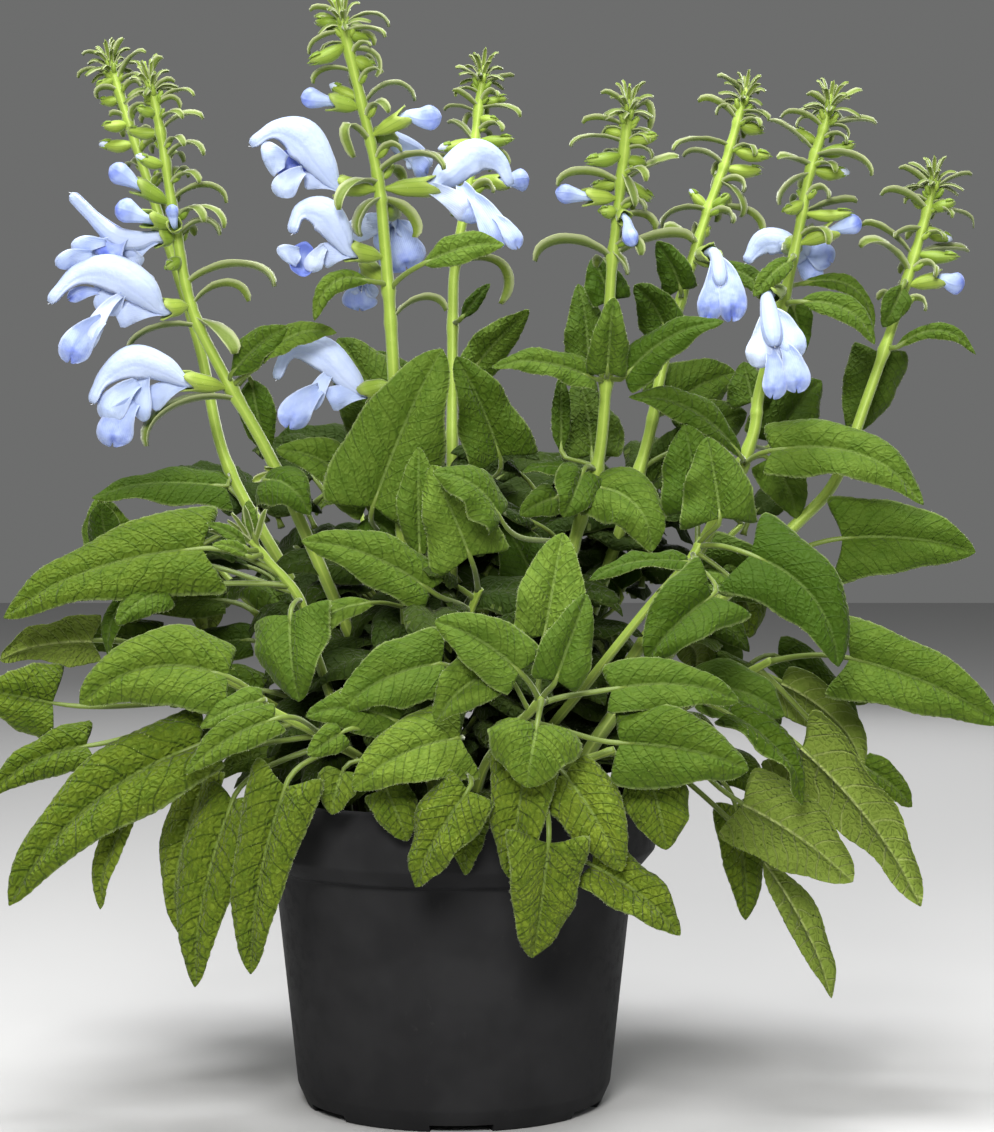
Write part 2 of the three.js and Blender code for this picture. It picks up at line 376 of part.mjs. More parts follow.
// Rings of equal count joined in order; a ring of one point closes the end, else a flat cap does.
function loft(rings) {
  const verts = [];
  const tris = [];
  const start = rings.map((r) => {
    const s = verts.length;
    verts.push(...r);
    return s;
  });
  const n = Math.max(...rings.map((r) => r.length));
  for (let i = 0; i + 1 < rings.length; i++) {
    for (let k = 0; k < n; k++) {
      const a = start[i] + k;
      const b = start[i] + (k + 1) % n;
      if (rings[i + 1].length === 1) {
        tris.push([a, b, start[i + 1]]);
      } else {
        const c = start[i + 1] + k;
        const d = start[i + 1] + (k + 1) % n;
        // both faces of a blade are split along the same diagonal
        if (k < n / 2) {
          tris.push([a, b, d], [a, d, c]);
        } else {
          tris.push([a, b, c], [b, d, c]);
        }
      }
    }
  }
  for (let k = 1; k + 1 < n; k++) {
    tris.push([start[0], start[0] + k + 1, start[0] + k]);
  }
  const last = rings[rings.length - 1];
  if (last.length > 1) {
    const s = start[rings.length - 1];
    for (let k = 1; k + 1 < n; k++) {
      tris.push([s, s + k, s + k + 1]);
    }
  }
  return solid(verts, tris);
}
// A tube of `sides` round a list of points with half height and half breadth at each.
function sweep(points, sizes, side, sides, pointed) {
  const rings = points.map((p, i) => {
    const t = unit(sub(points[Math.min(i + 1, points.length - 1)], points[Math.max(i - 1, 0)]));
    const b = perp(side, t);
    const n = cross(t, b);
    if (pointed && i === points.length - 1) return [p];
    const ring = [];
    for (let k = 0; k < sides; k++) {
      const a = (k + 0.5) / sides * 2 * Math.PI;
      ring.push(add(p, add(mul(n, sizes[i][0] * Math.cos(a)), mul(b, sizes[i][1] * Math.sin(a)))));
    }
    return ring;
  });
  return loft(rings);
}
function stemSolid(stem) {
  const n = Math.round(stem.path.length * 1.15);
  const pts = [stem.path[0]];
  const sizes = [[stem.r0, stem.r0]];
  const first = 1 / (stem.path.length - 1);
  for (let i = 0; i <= n; i++) {
    const s = first + (1 - first) * i / n;
    pts.push(spline(stem.path, s));
    const r = stem.r0 + (stem.r1 - stem.r0) * i / n;
    sizes.push([r, r]);
  }
  return sweep(pts, sizes, [1, 0.0, 0.0], 4, false);
}

// ---- leaves ----
// Blade stations of each outline: [along at the rib, along at the margin, share of the width].
const OUTLINE = [
  [[0.10, -0.09, 1.0], [0.38, 0.36, 0.84], [0.77, 0.77, 0.58]],
  [[0.10, -0.03, 0.80], [0.38, 0.36, 1.0], [0.79, 0.79, 0.66]],
  [[0.14, 0.12, 0.60], [0.44, 0.44, 1.0], [0.78, 0.78, 0.66]],
  [[0.30, 0.30, 0.55], [0.62, 0.62, 0.90], [0.88, 0.94, 0.86]],
];
const SMALL_OUTLINE = [
  [[0.12, 0.0, 0.95], [0.5, 0.5, 0.8]],
  [[0.22, 0.16, 0.92], [0.6, 0.6, 0.8]],
  [[0.3, 0.28, 0.9], [0.66, 0.66, 0.8]],
  [[0.4, 0.4, 0.7], [0.84, 0.92, 0.9]],
];
// Places where a leaf may lie so that it clears its neighbours, mm.
const BENDS = [
  [0,0,0], [0,-3,0], [0,3,0], [0,-6,0], [0,6,0], [0,0,3], [0,0,-3], [0,-10,0], [0,10,0], [0,-5,4], [0,5,4], [0,-5,-4],
  [0,5,-4], [3,0,0], [-3,0,0], [0,-14,0], [0,14,0], [3,-8,3], [-3,-8,3], [3,8,-3], [-3,8,-3], [0,-19,0], [0,19,0],
  [0,-10,7], [0,10,7], [0,-10,-7], [0,10,-7], [6,0,0], [-6,0,0], [0,-25,0], [0,25,0], [6,-12,5], [-6,-12,5],
  [6,12,-5], [-6,12,-5], [0,-18,10], [0,18,10], [0,-18,-10], [0,18,-10], [0,-32,0], [0,32,0], [10,-10,8], [-10,-10,8],
  [10,10,-8], [-10,10,-8], [0,-30,10], [0,30,10], [0,-40,4], [0,40,4],
];
// The frame of a blade: base, control point and tip of its rib, side and facing vectors.
function bladeFrame(base, tip, roll, arch) {
  const chord = sub(tip, base);
  const L = len(chord);
  const m = unit(chord);
  const mid = lerp(base, tip, 0.5);
  const r = Math.hypot(mid[0], mid[1]) + 1e-6;
  const up = unit([0.6 * mid[0] / r, 0.6 * mid[1] / r, 1]);
  const n0 = perp([0, -1, 0.02], m);
  let u0 = cross(n0, m);
  if (dot(u0, up) < 0) u0 = mul(u0, -1);
  const a = roll * Math.PI / 180;
  const face = add(mul(n0, Math.cos(a)), mul(u0, Math.sin(a)));
  const bow = perp(up, m);
  const ctrl = add(mid, mul(bow, 2 * arch * L));
  return { base, ctrl, tip, L, side: cross(m, face) };
}
function ribPoint(f, t) {
  return add(add(mul(f.base, (1 - t) * (1 - t)), mul(f.ctrl, 2 * t * (1 - t))), mul(f.tip, t * t));
}
function ribTangent(f, t) {
  return unit(add(mul(sub(f.ctrl, f.base), 1 - t), mul(sub(f.tip, f.ctrl), t)));
}
function ribFrame(f, t) {
  const T = ribTangent(f, Math.min(Math.max(t, 0), 1));
  const S = perp(f.side, T);
  return [T, S, cross(S, T)];
}
function bladeRings(f, width, fold, kind, large) {
  const rings = [];
  const table = large > 0 ? OUTLINE[kind] : SMALL_OUTLINE[kind];
  const e = large > 1 ? BLADE_EDGE / 2 : SMALL_BLADE / 2;
  for (const [tr, tm, w] of table) {
    const [, S, N] = ribFrame(f, tr);
    const P = ribPoint(f, tr);
    const T = ribTangent(f, tr);
    const back = mul(T, (tm - tr) * f.L);
    const lift = mul(N, fold * w * width / 2);
    const left = add(add(P, back), add(mul(S, w * width / 2), lift));
    const right = add(add(P, back), add(mul(S, -w * width / 2), lift));
    if (large > 1) {
      rings.push([add(left, mul(N, e)), add(P, mul(N, RIB_TOP)), add(right, mul(N, e)),
        add(right, mul(N, -e)), add(P, mul(N, -RIB_UNDER)), add(left, mul(N, -e))]);
    } else {
      rings.push([add(left, mul(N, e)), add(right, mul(N, e)), add(right, mul(N, -e)), add(left, mul(N, -e))]);
    }
  }
  return rings;
}
function stalkRing(P, S, N, large, half) {
  if (large > 1) {
    return [add(P, add(mul(S, half), mul(N, 0.4 * half))), add(P, mul(N, 0.85 * half)),
      add(P, add(mul(S, -half), mul(N, 0.4 * half))), add(P, add(mul(S, -half), mul(N, -0.4 * half))),
      add(P, mul(N, -0.85 * half)), add(P, add(mul(S, half), mul(N, -0.4 * half)))];
  }
  const h = half * 0.85;
  return [add(P, add(mul(S, h), mul(N, h * 0.8))), add(P, add(mul(S, -h), mul(N, h * 0.8))),
    add(P, add(mul(S, -h), mul(N, -h * 0.8))), add(P, add(mul(S, h), mul(N, -h * 0.8)))];
}
// A whole leaf from the heart of its stem, and its blade alone.
function leafSolids(root, base, tip, width, roll, arch, fold, kind, large) {
  const f = bladeFrame(base, tip, roll, arch);
  const rings = bladeRings(f, width, fold, kind, large);
  const [, S, N] = ribFrame(f, 0);
  const half = PETIOLE_HALF;
  const neck = stalkRing(base, S, N, large, half * 0.9);
  const along = unit(sub(base, root));
  const S2 = perp(S, along);
  const foot = stalkRing(root, S2, cross(S2, along), large, half);
  const whole = loft([foot, neck, ...rings, [tip]]);
  const blade = loft([neck, ...rings, [tip]]);
  return { whole, blade };
}

// ---- bracts: three-sided straps that rise and hook over ----
function bractSolids(root, tip, rise, width) {
  const m = unit(sub(tip, root));
  const bow = Math.abs(m[2]) > 0.9 ? unit([Math.sign(m[0] || 1), 0, 0.2]) : perp([0, 0, 1], m);
  const c1 = add(lerp(root, tip, 0.30), mul(bow, rise * 1.25));
  const c2 = add(lerp(root, tip, 0.92), mul(bow, rise * 1.45));
  const side = unit(cross(m, bow));
  const stations = rise > 7 ? [[0, 0.3], [0.42, 1], [0.82, 0.85]] : [[0, 0.3], [0.55, 1]];
  const rings = [];
  for (const [t, w] of [...stations, [0.2, 0.65]]) {
    const q = 1 - t;
    const P = add(add(mul(root, q * q * q), mul(c1, 3 * q * q * t)), add(mul(c2, 3 * q * t * t), mul(tip, t * t * t)));
    const D = add(add(mul(sub(c1, root), q * q), mul(sub(c2, c1), 2 * q * t)), mul(sub(tip, c2), t * t));
    const S = perp(side, unit(D));
    const N = cross(S, unit(D));
    const deep = 0.45 + 0.55 * w;
    rings.push([add(P, add(mul(S, w * width / 2), mul(N, 0.3 * deep))), add(P, mul(N, -0.75 * deep)),
      add(P, add(mul(S, -w * width / 2), mul(N, 0.3 * deep)))]);
  }
  const start = rings.pop();
  return { whole: loft([...rings, [tip]]), blade: loft([start, ...rings.slice(1), [tip]]) };
}
// A closed calyx: a three-sided spindle with a pointed tip.
function calyxSolids(root, tip, width) {
  const side = [0, 1, 0.12];
  const half = width / 2 * 1.1;
  const whole = sweep([root, lerp(root, tip, 0.58), tip], [[0.55, 0.55], [half, half], [0, 0]], side, 3, true);
  const blade = sweep([lerp(root, tip, 0.3), lerp(root, tip, 0.58), tip], [[half * 0.6, half * 0.6], [half, half], [0, 0]],
    side, 3, true);
  return { whole, blade };
}
// A cup-shaped calyx open at the mouth, its teeth alternately long and short.
const CUP_DEPTH = 3.6;
const CUP_WALL = 0.9;
const TOOTH = 1.5;
function polygon(p, axis, B, half, breadth, sides, tooth) {
  const N = cross(axis, B);
  const out = [];
  for (let k = 0; k < sides; k++) {
    const a = (k + 0.5) / sides * 2 * Math.PI;
    const q = add(p, mul(axis, k % 2 ? tooth : 0));
    out.push(add(q, add(mul(N, half * Math.cos(a)), mul(B, breadth * Math.sin(a)))));
  }
  return out;
}
function cupSolid(root, mouth, radius, sides) {
  const axis = unit(sub(mouth, root));
  const B = perp([0, 1, 0.12], axis);
  const ring = (p, r, tooth) => polygon(p, axis, B, r, r, sides, tooth);
  const floor = sub(mouth, mul(axis, CUP_DEPTH));
  const rings = [ring(mouth, radius + CUP_WALL, TOOTH), ring(mouth, radius, TOOTH), ring(floor, radius * 0.8, 0)];
  const low = ring(lerp(root, mouth, 0.45), 0.9 + 0.45 * (radius + CUP_WALL - 0.9), 0);
  return { whole: loft([ring(root, 0.7, 0), ...rings]), blade: loft([low, rings[0]]) };
}
// A flower's tube or a bud, seated inside its cup and then swept on through its points.
function seatedSweep(root, mouth, radius, points, sizes, side, sides) {
  const axis = unit(sub(mouth, root));
  const r = radius - 0.5;
  const pts = [sub(mouth, mul(axis, CUP_DEPTH - 0.6)), add(mouth, mul(axis, TOOTH + 0.6)), ...points];
  const all = [[r * 0.74, r * 0.74], [r, r], ...sizes];
  const last = pts.length - 1;
  const rings = pts.map((p, i) => {
    if (i === last) return [p];
    const t = i < 2 ? axis : unit(sub(pts[i + 1], pts[i - 1]));
    const b = perp(i < 2 ? [0, 1, 0.12] : side, t);
    return polygon(p, t, b, all[i][0], all[i][1], sides, 0);
  });
  return loft(rings);
}

// ---- what stands where: each entry is a solid of a node with its box ----
const placed = [];
function boxOf(m) {
  const b = m.boundingBox();
  return [b.min, b.max];
}
function near(a, b, gap) {
  for (let k = 0; k < 3; k++) {
    if (a[0][k] > b[1][k] + gap || b[0][k] > a[1][k] + gap) return false;
  }
  return true;
}
function place(node, whole, blade) {
  placed.push({ node, whole, blade, box: boxOf(whole) });
}
function clashOf(node, whole, blade) {
  const box = boxOf(whole);
  for (const o of placed) {
    if (!near(box, o.box, GAP)) continue;
    if (o.node !== node) {
      if (whole.minGap(o.whole, GAP) < GAP) return o;
    } else if (blade && o.blade) {
      if (blade.minGap(o.blade, 0.3) < 0.3) return o;
    }
  }
  return null;
}

// ---- build ----
const nodes = new Map();
const own = (name) => {
  if (!nodes.has(name)) nodes.set(name, []);
  return nodes.get(name);
};
const notes = [];

// pot
function lathe(profile, sides) {
  const g = new THREE.LatheGeometry(profile.map(([r, z]) => new THREE.Vector2(r, z)), sides);
  g.rotateX(Math.PI / 2);
  g.deleteAttribute('normal');
  g.deleteAttribute('uv');
  const m = mergeVertices(g, 1e-4);
  const p = [];
  for (let i = 0; i < m.attributes.position.count; i++) {
    p.push([m.attributes.position.getX(i), m.attributes.position.getY(i), m.attributes.position.getZ(i)]);
  }
  const t = [];
  for (let i = 0; i < m.index.count; i += 3) {
    const tri = [m.index.getX(i), m.index.getX(i + 1), m.index.getX(i + 2)];
    if (tri[0] !== tri[1] && tri[1] !== tri[2] && tri[0] !== tri[2]) t.push(tri);
  }
  return solid(p, t);
}
const outer = [[0, 0], [FOOT_RADIUS, 0], [HEEL_RADIUS, HEEL_HEIGHT], [WALL_TOP_RADIUS, COLLAR_FOOT - 1.5],
  [79, COLLAR_FOOT], [84.4, COLLAR_FOOT + 6.5], [RIM_RADIUS, POT_HEIGHT - 1.2], [RIM_RADIUS - 0.9, POT_HEIGHT]];
const inner = [[RIM_RADIUS - WALL, POT_HEIGHT], [82.0, COLLAR_FOOT + 8.5], [WALL_TOP_RADIUS - WALL - 0.2, COLLAR_FOOT],
  [HEEL_RADIUS - WALL + 0.4, HEEL_HEIGHT + 2], [FOOT_RADIUS - WALL + 0.3, FLOOR], [0, FLOOR]];
let pot = lathe([...outer, ...inner], POT_SIDES);
const cuts = [];
for (let i = 0; i < CHANNELS; i++) {
  const a = (i / CHANNELS) * 2 * Math.PI - Math.PI / 2 + 0.06;
  const half = 0.2;
  const far = 80;
  const near0 = 16;
  const corner = (r, da) => [r * Math.cos(a + da), r * Math.sin(a + da)];
  const q = [corner(near0, -0.30), corner(far, -half), corner(far, half), corner(near0, 0.30)];
  const low = q.map(([x, y]) => [x, y, -5]);
  const high = q.map(([x, y]) => [x, y, CHANNEL_DEPTH]);
  cuts.push(loft([low, high]));
  const hole = [];
  const holeTop = [];
  for (let k = 0; k < 6; k++) {
    const b = k / 6 * 2 * Math.PI;
    const x = 44 * Math.cos(a) + 5 * Math.cos(b);
    const y = 44 * Math.sin(a) + 5 * Math.sin(b);
    hole.push([x, y, -2]);
    holeTop.push([x, y, FLOOR + 3]);
  }
  cuts.push(loft([hole, holeTop]));
}
pot = pot.subtract(Manifold.union(cuts));
place('pot', pot, null);
own('pot').push(pot);

// stems first, then flowers and buds
for (const s of stems.values()) {
  const m = stemSolid(s);
  const hit = clashOf(s.name, m, null);
  if (hit) notes.push(`stem ${s.name} meets ${hit.node}`);
  place(s.name, m, null);
  own(s.name).push(m);
}
for (const [name, stemName, v, mu, mv, md, hood, axis, petals] of BLOOMS) {
  const stem = stems.get(stemName);
  const root = stemAt(stem, v);
  const deep = lean(stemName, v);
  const mouth = at(mu, mv, md + deep);
  const radius = 3.0;
  const cup = cupSolid(root, mouth, radius, 6);
  const side = axis ? [1, 0, 0.1] : [0, 1, 0.12];
  const parts = [seatedSweep(root, mouth, radius, hood.map((q) => at(q[0], q[1], q[2] + deep)), hood.map((q) => [q[3], q[4]]), side, 6)];
  for (const [bu, bv, bd, tu, tv, td, w, roll, arch, kind] of petals) {
    const base = at(bu, bv, bd + deep);
    const tip = at(tu, tv, td + deep);
    const f = bladeFrame(base, tip, roll, arch);
    const rings = bladeRings(f, w * DIV, 0, kind, 0);
    const [, S, N] = ribFrame(f, 0);
    const T = ribTangent(f, 0);
    const foot = stalkRing(sub(base, mul(T, 1.5)), S, N, 0, Math.min(2.6, w * DIV * 0.3));
    parts.push(loft([foot, ...rings, [tip]]));
  }
  const bloom = Manifold.union(parts);
  if (bloom.decompose().length !== 1) notes.push(`${name} is in ${bloom.decompose().length} bodies`);
  let hit = clashOf(name, bloom, null);
  if (hit) notes.push(`${name} meets ${hit.node}`);
  hit = clashOf(stemName, cup.whole, cup.blade);
  if (hit) notes.push(`cup of ${name} meets ${hit.node}`);
  if (bloom.minGap(cup.whole, 1) < 0.2) notes.push(`${name} is ${bloom.minGap(cup.whole, 1).toFixed(2)} from its cup`);
  place(name, bloom, null);
  place(stemName, cup.whole, cup.blade);
  own(name).push(bloom);
  own(stemName).push(cup.whole);
}
for (const [name, stemName, v, mu, mv, md, tu, tv, td, r] of BUDS) {
  const stem = stems.get(stemName);
  const root = stemAt(stem, v);
  const deep = lean(stemName, v);
  const mouth = at(mu, mv, md + deep);
  const tip = at(tu, tv, td + deep);
  const radius = Math.min(2.6, Math.max(r * 0.62, 1.9));
  const cup = cupSolid(root, mouth, radius, 4);
  const pts = [lerp(mouth, tip, 0.7), tip];
  const bud = seatedSweep(root, mouth, radius, pts, [[r * 0.95, r * 0.8], [0, 0]], [0, 1, 0.12], 4);
  let hit = clashOf(name, bud, null);
  if (hit) notes.push(`${name} meets ${hit.node}`);
  hit = clashOf(stemName, cup.whole, cup.blade);
  if (hit) notes.push(`cup of ${name} meets ${hit.node}`);
  if (bud.minGap(cup.whole, 1) < 0.2) notes.push(`${name} is ${bud.minGap(cup.whole, 1).toFixed(2)} from its cup`);
  place(name, bud, null);
  place(stemName, cup.whole, cup.blade);
  own(name).push(bud);
  own(stemName).push(cup.whole);
}
// calyces, bracts and the tuft at each tip
const HOOKS = [0, -2, 2, -4, 4, -6, 6, -8, 8, -10, 10, -12, 12, -14, 14, -17, 17];
for (const [stemName, v, tu, tv, dd, w] of CALYCES) {
  const root = stemAt(stems.get(stemName), v - 3);
  let done = false;
  for (const h of HOOKS) {
    const { whole, blade } = calyxSolids(root, at(tu, tv, root[1] + dd + h), w * DIV * 1.15);
    if (clashOf(stemName, whole, blade)) continue;
    place(stemName, whole, blade);
    own(stemName).push(whole);
    done = true;
    break;
  }
  if (!done) notes.push(`calyx ${stemName} ${v} ${tu} left out`);
}
for (const [stemName, v, tu, tv, dd, rise, w] of BRACTS) {
  const root = stemAt(stems.get(stemName), v + 2);
  let done = false;
  for (const h of HOOKS) {
    const { whole, blade } = bractSolids(root, at(tu, tv, root[1] + dd + h), rise * DIV, w * DIV * 1.6);
    if (clashOf(stemName, whole, blade)) continue;
    place(stemName, whole, blade);
    own(stemName).push(whole);
    done = true;
    break;
  }
  if (!done) notes.push(`bract ${stemName} ${v} ${tu} left out`);
}
const TUFT = [[-6, -11, 3], [6, -12, -3]];
for (const [name] of STEMS) {
  const stem = stems.get(name);
  const root = stem.path[stem.path.length - 1];
  for (const [du, dv, dd] of TUFT) {
    const tip = add(root, [du * DIV, dd, -dv * DIV]);
    const low = sub(root, [0, 0, 2.2]);
    own(name).push(sweep([low, tip], [[1.7, 1.3], [0, 0]], [0, 1, 0.1], 3, true));
  }
}
// hero leaves
for (const row of LEAVES) {
  const [stemName, v, bu, bv, bd, tu, tv, td, w, roll, arch, fold, kind, flag] = row;
  const large = flag && (w >= 100 || Math.abs(fold) > 0.3) ? 2 : (w < 56 ? 0 : flag);
  const root = stemAt(stems.get(stemName), v);
  const deep = lean(stemName, v);
  const scale = DIV * (EYE_Y + (bd + td) / 2 + deep) / EYE_Y;
  let done = -1;
  for (let i = 0; i < BENDS.length; i++) {
    const base = add(at(bu, bv, bd + deep), mul(BENDS[i], 0.6));
    const tip = add(at(tu, tv, td + deep), BENDS[i]);
    const { whole, blade } = leafSolids(root, base, tip, w * scale, roll, arch, fold, kind, large);
    if (clashOf(stemName, whole, blade)) continue;
    place(stemName, whole, blade);
    own(stemName).push(whole);
    done = i;
    break;
  }
  if (done < 0) notes.push(`leaf ${stemName} ${bu},${bv} to ${tu},${tv} left out`);
}
// leaves of the back shoots, in opposite pairs, and low pairs on the back of the flowering stems
let seed = 20;
function random() {
  seed = (seed * 1103515245 + 12345) % 2147483648;
  return seed / 2147483648;
}
function pairRows() {
  const rows = [];
  for (const [name] of BACK_SHOOTS) {
    const stem = stems.get(name);
    for (let j = 0; j < 2; j++) {
      const share = 0.46 + 0.32 * j;
      const turn = (j % 2) * Math.PI / 2 + random() * 0.5;
      for (const way of [0, Math.PI]) {
        rows.push([stem, share, turn + way, 50 + 14 * random() - 5 * j, 33 + 6 * random() - 3.4 * j, random()]);
      }
    }
    rows.push([stem, 1, random() * 6, 26, 13, random()]);
  }
  for (const [name] of STEMS) {
    const stem = stems.get(name);
    for (const z of LEAN[name] > 20 ? [185] : []) {
      const share = shareAt(stem, z + 8 * random());
      for (const way of [1.3]) {
        rows.push([stem, share, way + 0.5 * random(), 44 + 12 * random(), 26 + 6 * random(), random()]);
      }
    }
  }
  return rows;
}
for (const [stem, share, angle, L, w, wild] of pairRows()) {
  const root = spline(stem.path, share);
  const outward = [Math.cos(angle), Math.sin(angle), 0];
  let done = false;
  for (let i = 0; i < 30; i++) {
    const base = add(add(root, mul(outward, 9 + 5 * wild)), add([0, 0, 5], mul(BENDS[i], 0.6)));
    const tip = add(add(root, mul(outward, 9 + 5 * wild + L * 0.93)), add([0, 0, 5 - L * (0.1 + 0.4 * wild)], BENDS[i]));
    const f0 = sub(tip, base);
    const n0 = perp([0, -1, 0.02], unit(f0));
    const u0 = perp([0, 0, 1], unit(f0));
    const roll = Math.acos(Math.max(-1, Math.min(1, dot(n0, u0)))) * 180 / Math.PI;
    const { whole, blade } = leafSolids(root, base, tip, w, roll + 20 * (wild - 0.5), 0.14, 0, C, 0);
    if (clashOf(stem.name, whole, blade)) continue;
    place(stem.name, whole, blade);
    own(stem.name).push(whole);
    done = true;
    break;
  }
  if (!done) notes.push(`pair leaf of ${stem.name} left out`);
}

// compost, filling the pot, with a plain hole for every stem
const cc = CLEARANCE;
const fill = [[0, FLOOR + cc], [FOOT_RADIUS - WALL + 0.3 - cc, FLOOR + cc], [HEEL_RADIUS - WALL + 0.4 - cc, HEEL_HEIGHT + 2],
  [WALL_TOP_RADIUS - WALL - 0.2 - cc, COLLAR_FOOT + 0.2], [82.0 - cc, COLLAR_FOOT + 8.9], [82.0 - cc, COMPOST_TOP],
  [0, COMPOST_TOP]];
let compost = lathe(fill, POT_SIDES);
const holes = [];
for (const s of stems.values()) {
  const [x, y] = s.path[0];
  const r = s.r0 + 0.75;
  const ring = (z) => [0, 1, 2, 3].map((k) => {
    const a = (k + 0.5) / 4 * 2 * Math.PI;
    return [x + r * Math.cos(a), y + r * Math.sin(a), z];
  });
  holes.push(loft([ring(STEM_FOOT - 0.5), ring(COMPOST_TOP + 6)]));
}
compost = compost.subtract(Manifold.union(holes));
own('compost').push(compost);

// ---- meshes ----
const PLASTIC = new THREE.MeshStandardMaterial({ color: 0x26272a, roughness: 0.55 });
const EARTH = new THREE.MeshStandardMaterial({ color: 0x2c2118, roughness: 1 });
const GREEN = new THREE.MeshStandardMaterial({ color: 0x6c9a3c, roughness: 0.7 });
const PETAL = new THREE.MeshStandardMaterial({ color: 0xbccaf4, roughness: 0.6 });
const BUD = new THREE.MeshStandardMaterial({ color: 0x8e9be0, roughness: 0.6 });
// The same solid with its vertices on a fine lattice, the first on which every edge has two faces.
function welded(m) {
  const mesh = m.getMesh();
  const n = mesh.numProp;
  for (const lattice of [1000, 500, 200, 100, 50, 33, 20]) {
    const index = new Map();
    const xyz = [];
    const of = [];
    for (let i = 0; i < mesh.numVert; i++) {
      const q = [0, 1, 2].map((k) => Math.round(mesh.vertProperties[n * i + k] * lattice) / lattice);
      const key = q.join(' ');
      if (!index.has(key)) {
        index.set(key, xyz.length / 3);
        xyz.push(...q);
      }
      of.push(index.get(key));
    }
    const tris = [];
    const edges = new Map();
    for (let i = 0; i < mesh.triVerts.length; i += 3) {
      const t = [0, 1, 2].map((k) => of[mesh.triVerts[i + k]]);
      if (t[0] === t[1] || t[1] === t[2] || t[0] === t[2]) continue;
      tris.push(...t);
      for (let k = 0; k < 3; k++) {
        const key = Math.min(t[k], t[(k + 1) % 3]) + ' ' + Math.max(t[k], t[(k + 1) % 3]);
        edges.set(key, (edges.get(key) || 0) + 1);
      }
    }
    if ([...edges.values()].some((count) => count !== 2)) continue;
    const made = new Manifold(new Mesh({
      numProp: 3,
      vertProperties: new Float32Array(xyz),
      triVerts: new Uint32Array(tris),
    }));
    if (made.decompose().length === 1 && made.volume() > 0) return made;
  }
  notes.push('a solid was kept unwelded');
  return m;
}
const group = new THREE.Group();
for (const [name, parts] of nodes) {
  const joined = parts.length > 1 ? Manifold.union(parts).simplify(0.06) : parts[0];
  const bodies = joined.decompose().sort((a, b) => b.volume() - a.volume());
  const m = welded(bodies[0]);
  const mesh = m.getMesh();
  const g = new THREE.BufferGeometry();
  const n = mesh.numProp;
  const xyz = new Float32Array(mesh.numVert * 3);
  for (let i = 0; i < mesh.numVert; i++) {
    for (let k = 0; k < 3; k++) xyz[3 * i + k] = mesh.vertProperties[n * i + k];
  }
  g.setAttribute('position', new THREE.BufferAttribute(xyz, 3));
  g.setIndex(new THREE.BufferAttribute(new Uint32Array(mesh.triVerts), 1));
  g.computeVertexNormals();
  let look = GREEN;
  if (name === 'pot') look = PLASTIC;
  if (name === 'compost') look = EARTH;
  if (name.startsWith('bloom')) look = PETAL;
  if (name.startsWith('bud')) look = BUD;
  const out = new THREE.Mesh(g, look);
  out.name = name;
  group.add(out);
  if (bodies.length !== 1) {
    notes.push(`${name} is in ${bodies.length} bodies: ${bodies.map((b) => b.volume().toFixed(1)).join(', ')}`);
  }
}
if (notes.length) console.log(notes.join('\n'));

export default group;
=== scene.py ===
# A clump of gentian-type perennial sage (salvia) in its round nursery pot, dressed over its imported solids.
import math

import bpy
import numpy as np
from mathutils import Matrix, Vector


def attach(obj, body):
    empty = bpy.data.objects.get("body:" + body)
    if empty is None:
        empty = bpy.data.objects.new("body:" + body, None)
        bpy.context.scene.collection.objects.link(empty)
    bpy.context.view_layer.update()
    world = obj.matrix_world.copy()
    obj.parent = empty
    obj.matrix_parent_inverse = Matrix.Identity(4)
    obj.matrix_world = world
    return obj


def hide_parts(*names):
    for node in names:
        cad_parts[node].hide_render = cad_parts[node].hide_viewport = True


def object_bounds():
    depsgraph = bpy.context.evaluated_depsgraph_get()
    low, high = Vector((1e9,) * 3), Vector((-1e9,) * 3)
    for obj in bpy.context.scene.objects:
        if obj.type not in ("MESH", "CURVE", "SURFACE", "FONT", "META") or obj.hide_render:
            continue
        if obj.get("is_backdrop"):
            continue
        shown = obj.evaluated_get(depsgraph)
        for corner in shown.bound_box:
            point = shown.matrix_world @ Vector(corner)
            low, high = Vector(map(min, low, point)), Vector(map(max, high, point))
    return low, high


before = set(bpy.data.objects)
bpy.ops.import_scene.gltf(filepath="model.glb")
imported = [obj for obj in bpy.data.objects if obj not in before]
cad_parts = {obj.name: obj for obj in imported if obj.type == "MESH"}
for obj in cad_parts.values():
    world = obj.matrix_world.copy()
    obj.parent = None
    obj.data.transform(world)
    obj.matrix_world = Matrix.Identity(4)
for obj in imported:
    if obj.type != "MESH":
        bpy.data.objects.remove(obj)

cad_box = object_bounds()

# ---- dimensions in mm, the same as the solids' ----
MM = 0.001
POT_HEIGHT = 131
RIM_RADIUS = 85
COLLAR_FOOT = 101
COLLAR_BORE = 82.0
WALL_TOP_RADIUS = 75.4
FOOT_RADIUS = 61.7
HEEL_RADIUS = 65.7
HEEL_HEIGHT = 9
WALL = 2.2
FLOOR = 5.5
CHANNEL_DEPTH = 3
CHANNELS = 6
COMPOST_TOP = 119
CLEARANCE = 0.35
STEM_FOOT = 104
CUP_DEPTH = 3.6
CUP_WALL = 0.9
TOOTH = 1.5

# ---- layout sheet: a front elevation ruled in divisions ----
DIV = 0.4187
AXIS_U = 497
AXIS_X = 18
GROUND_V = 1103
EYE_Y = 1250
EYE_Z = 275
H, C, O, R = 0, 1, 2, 3

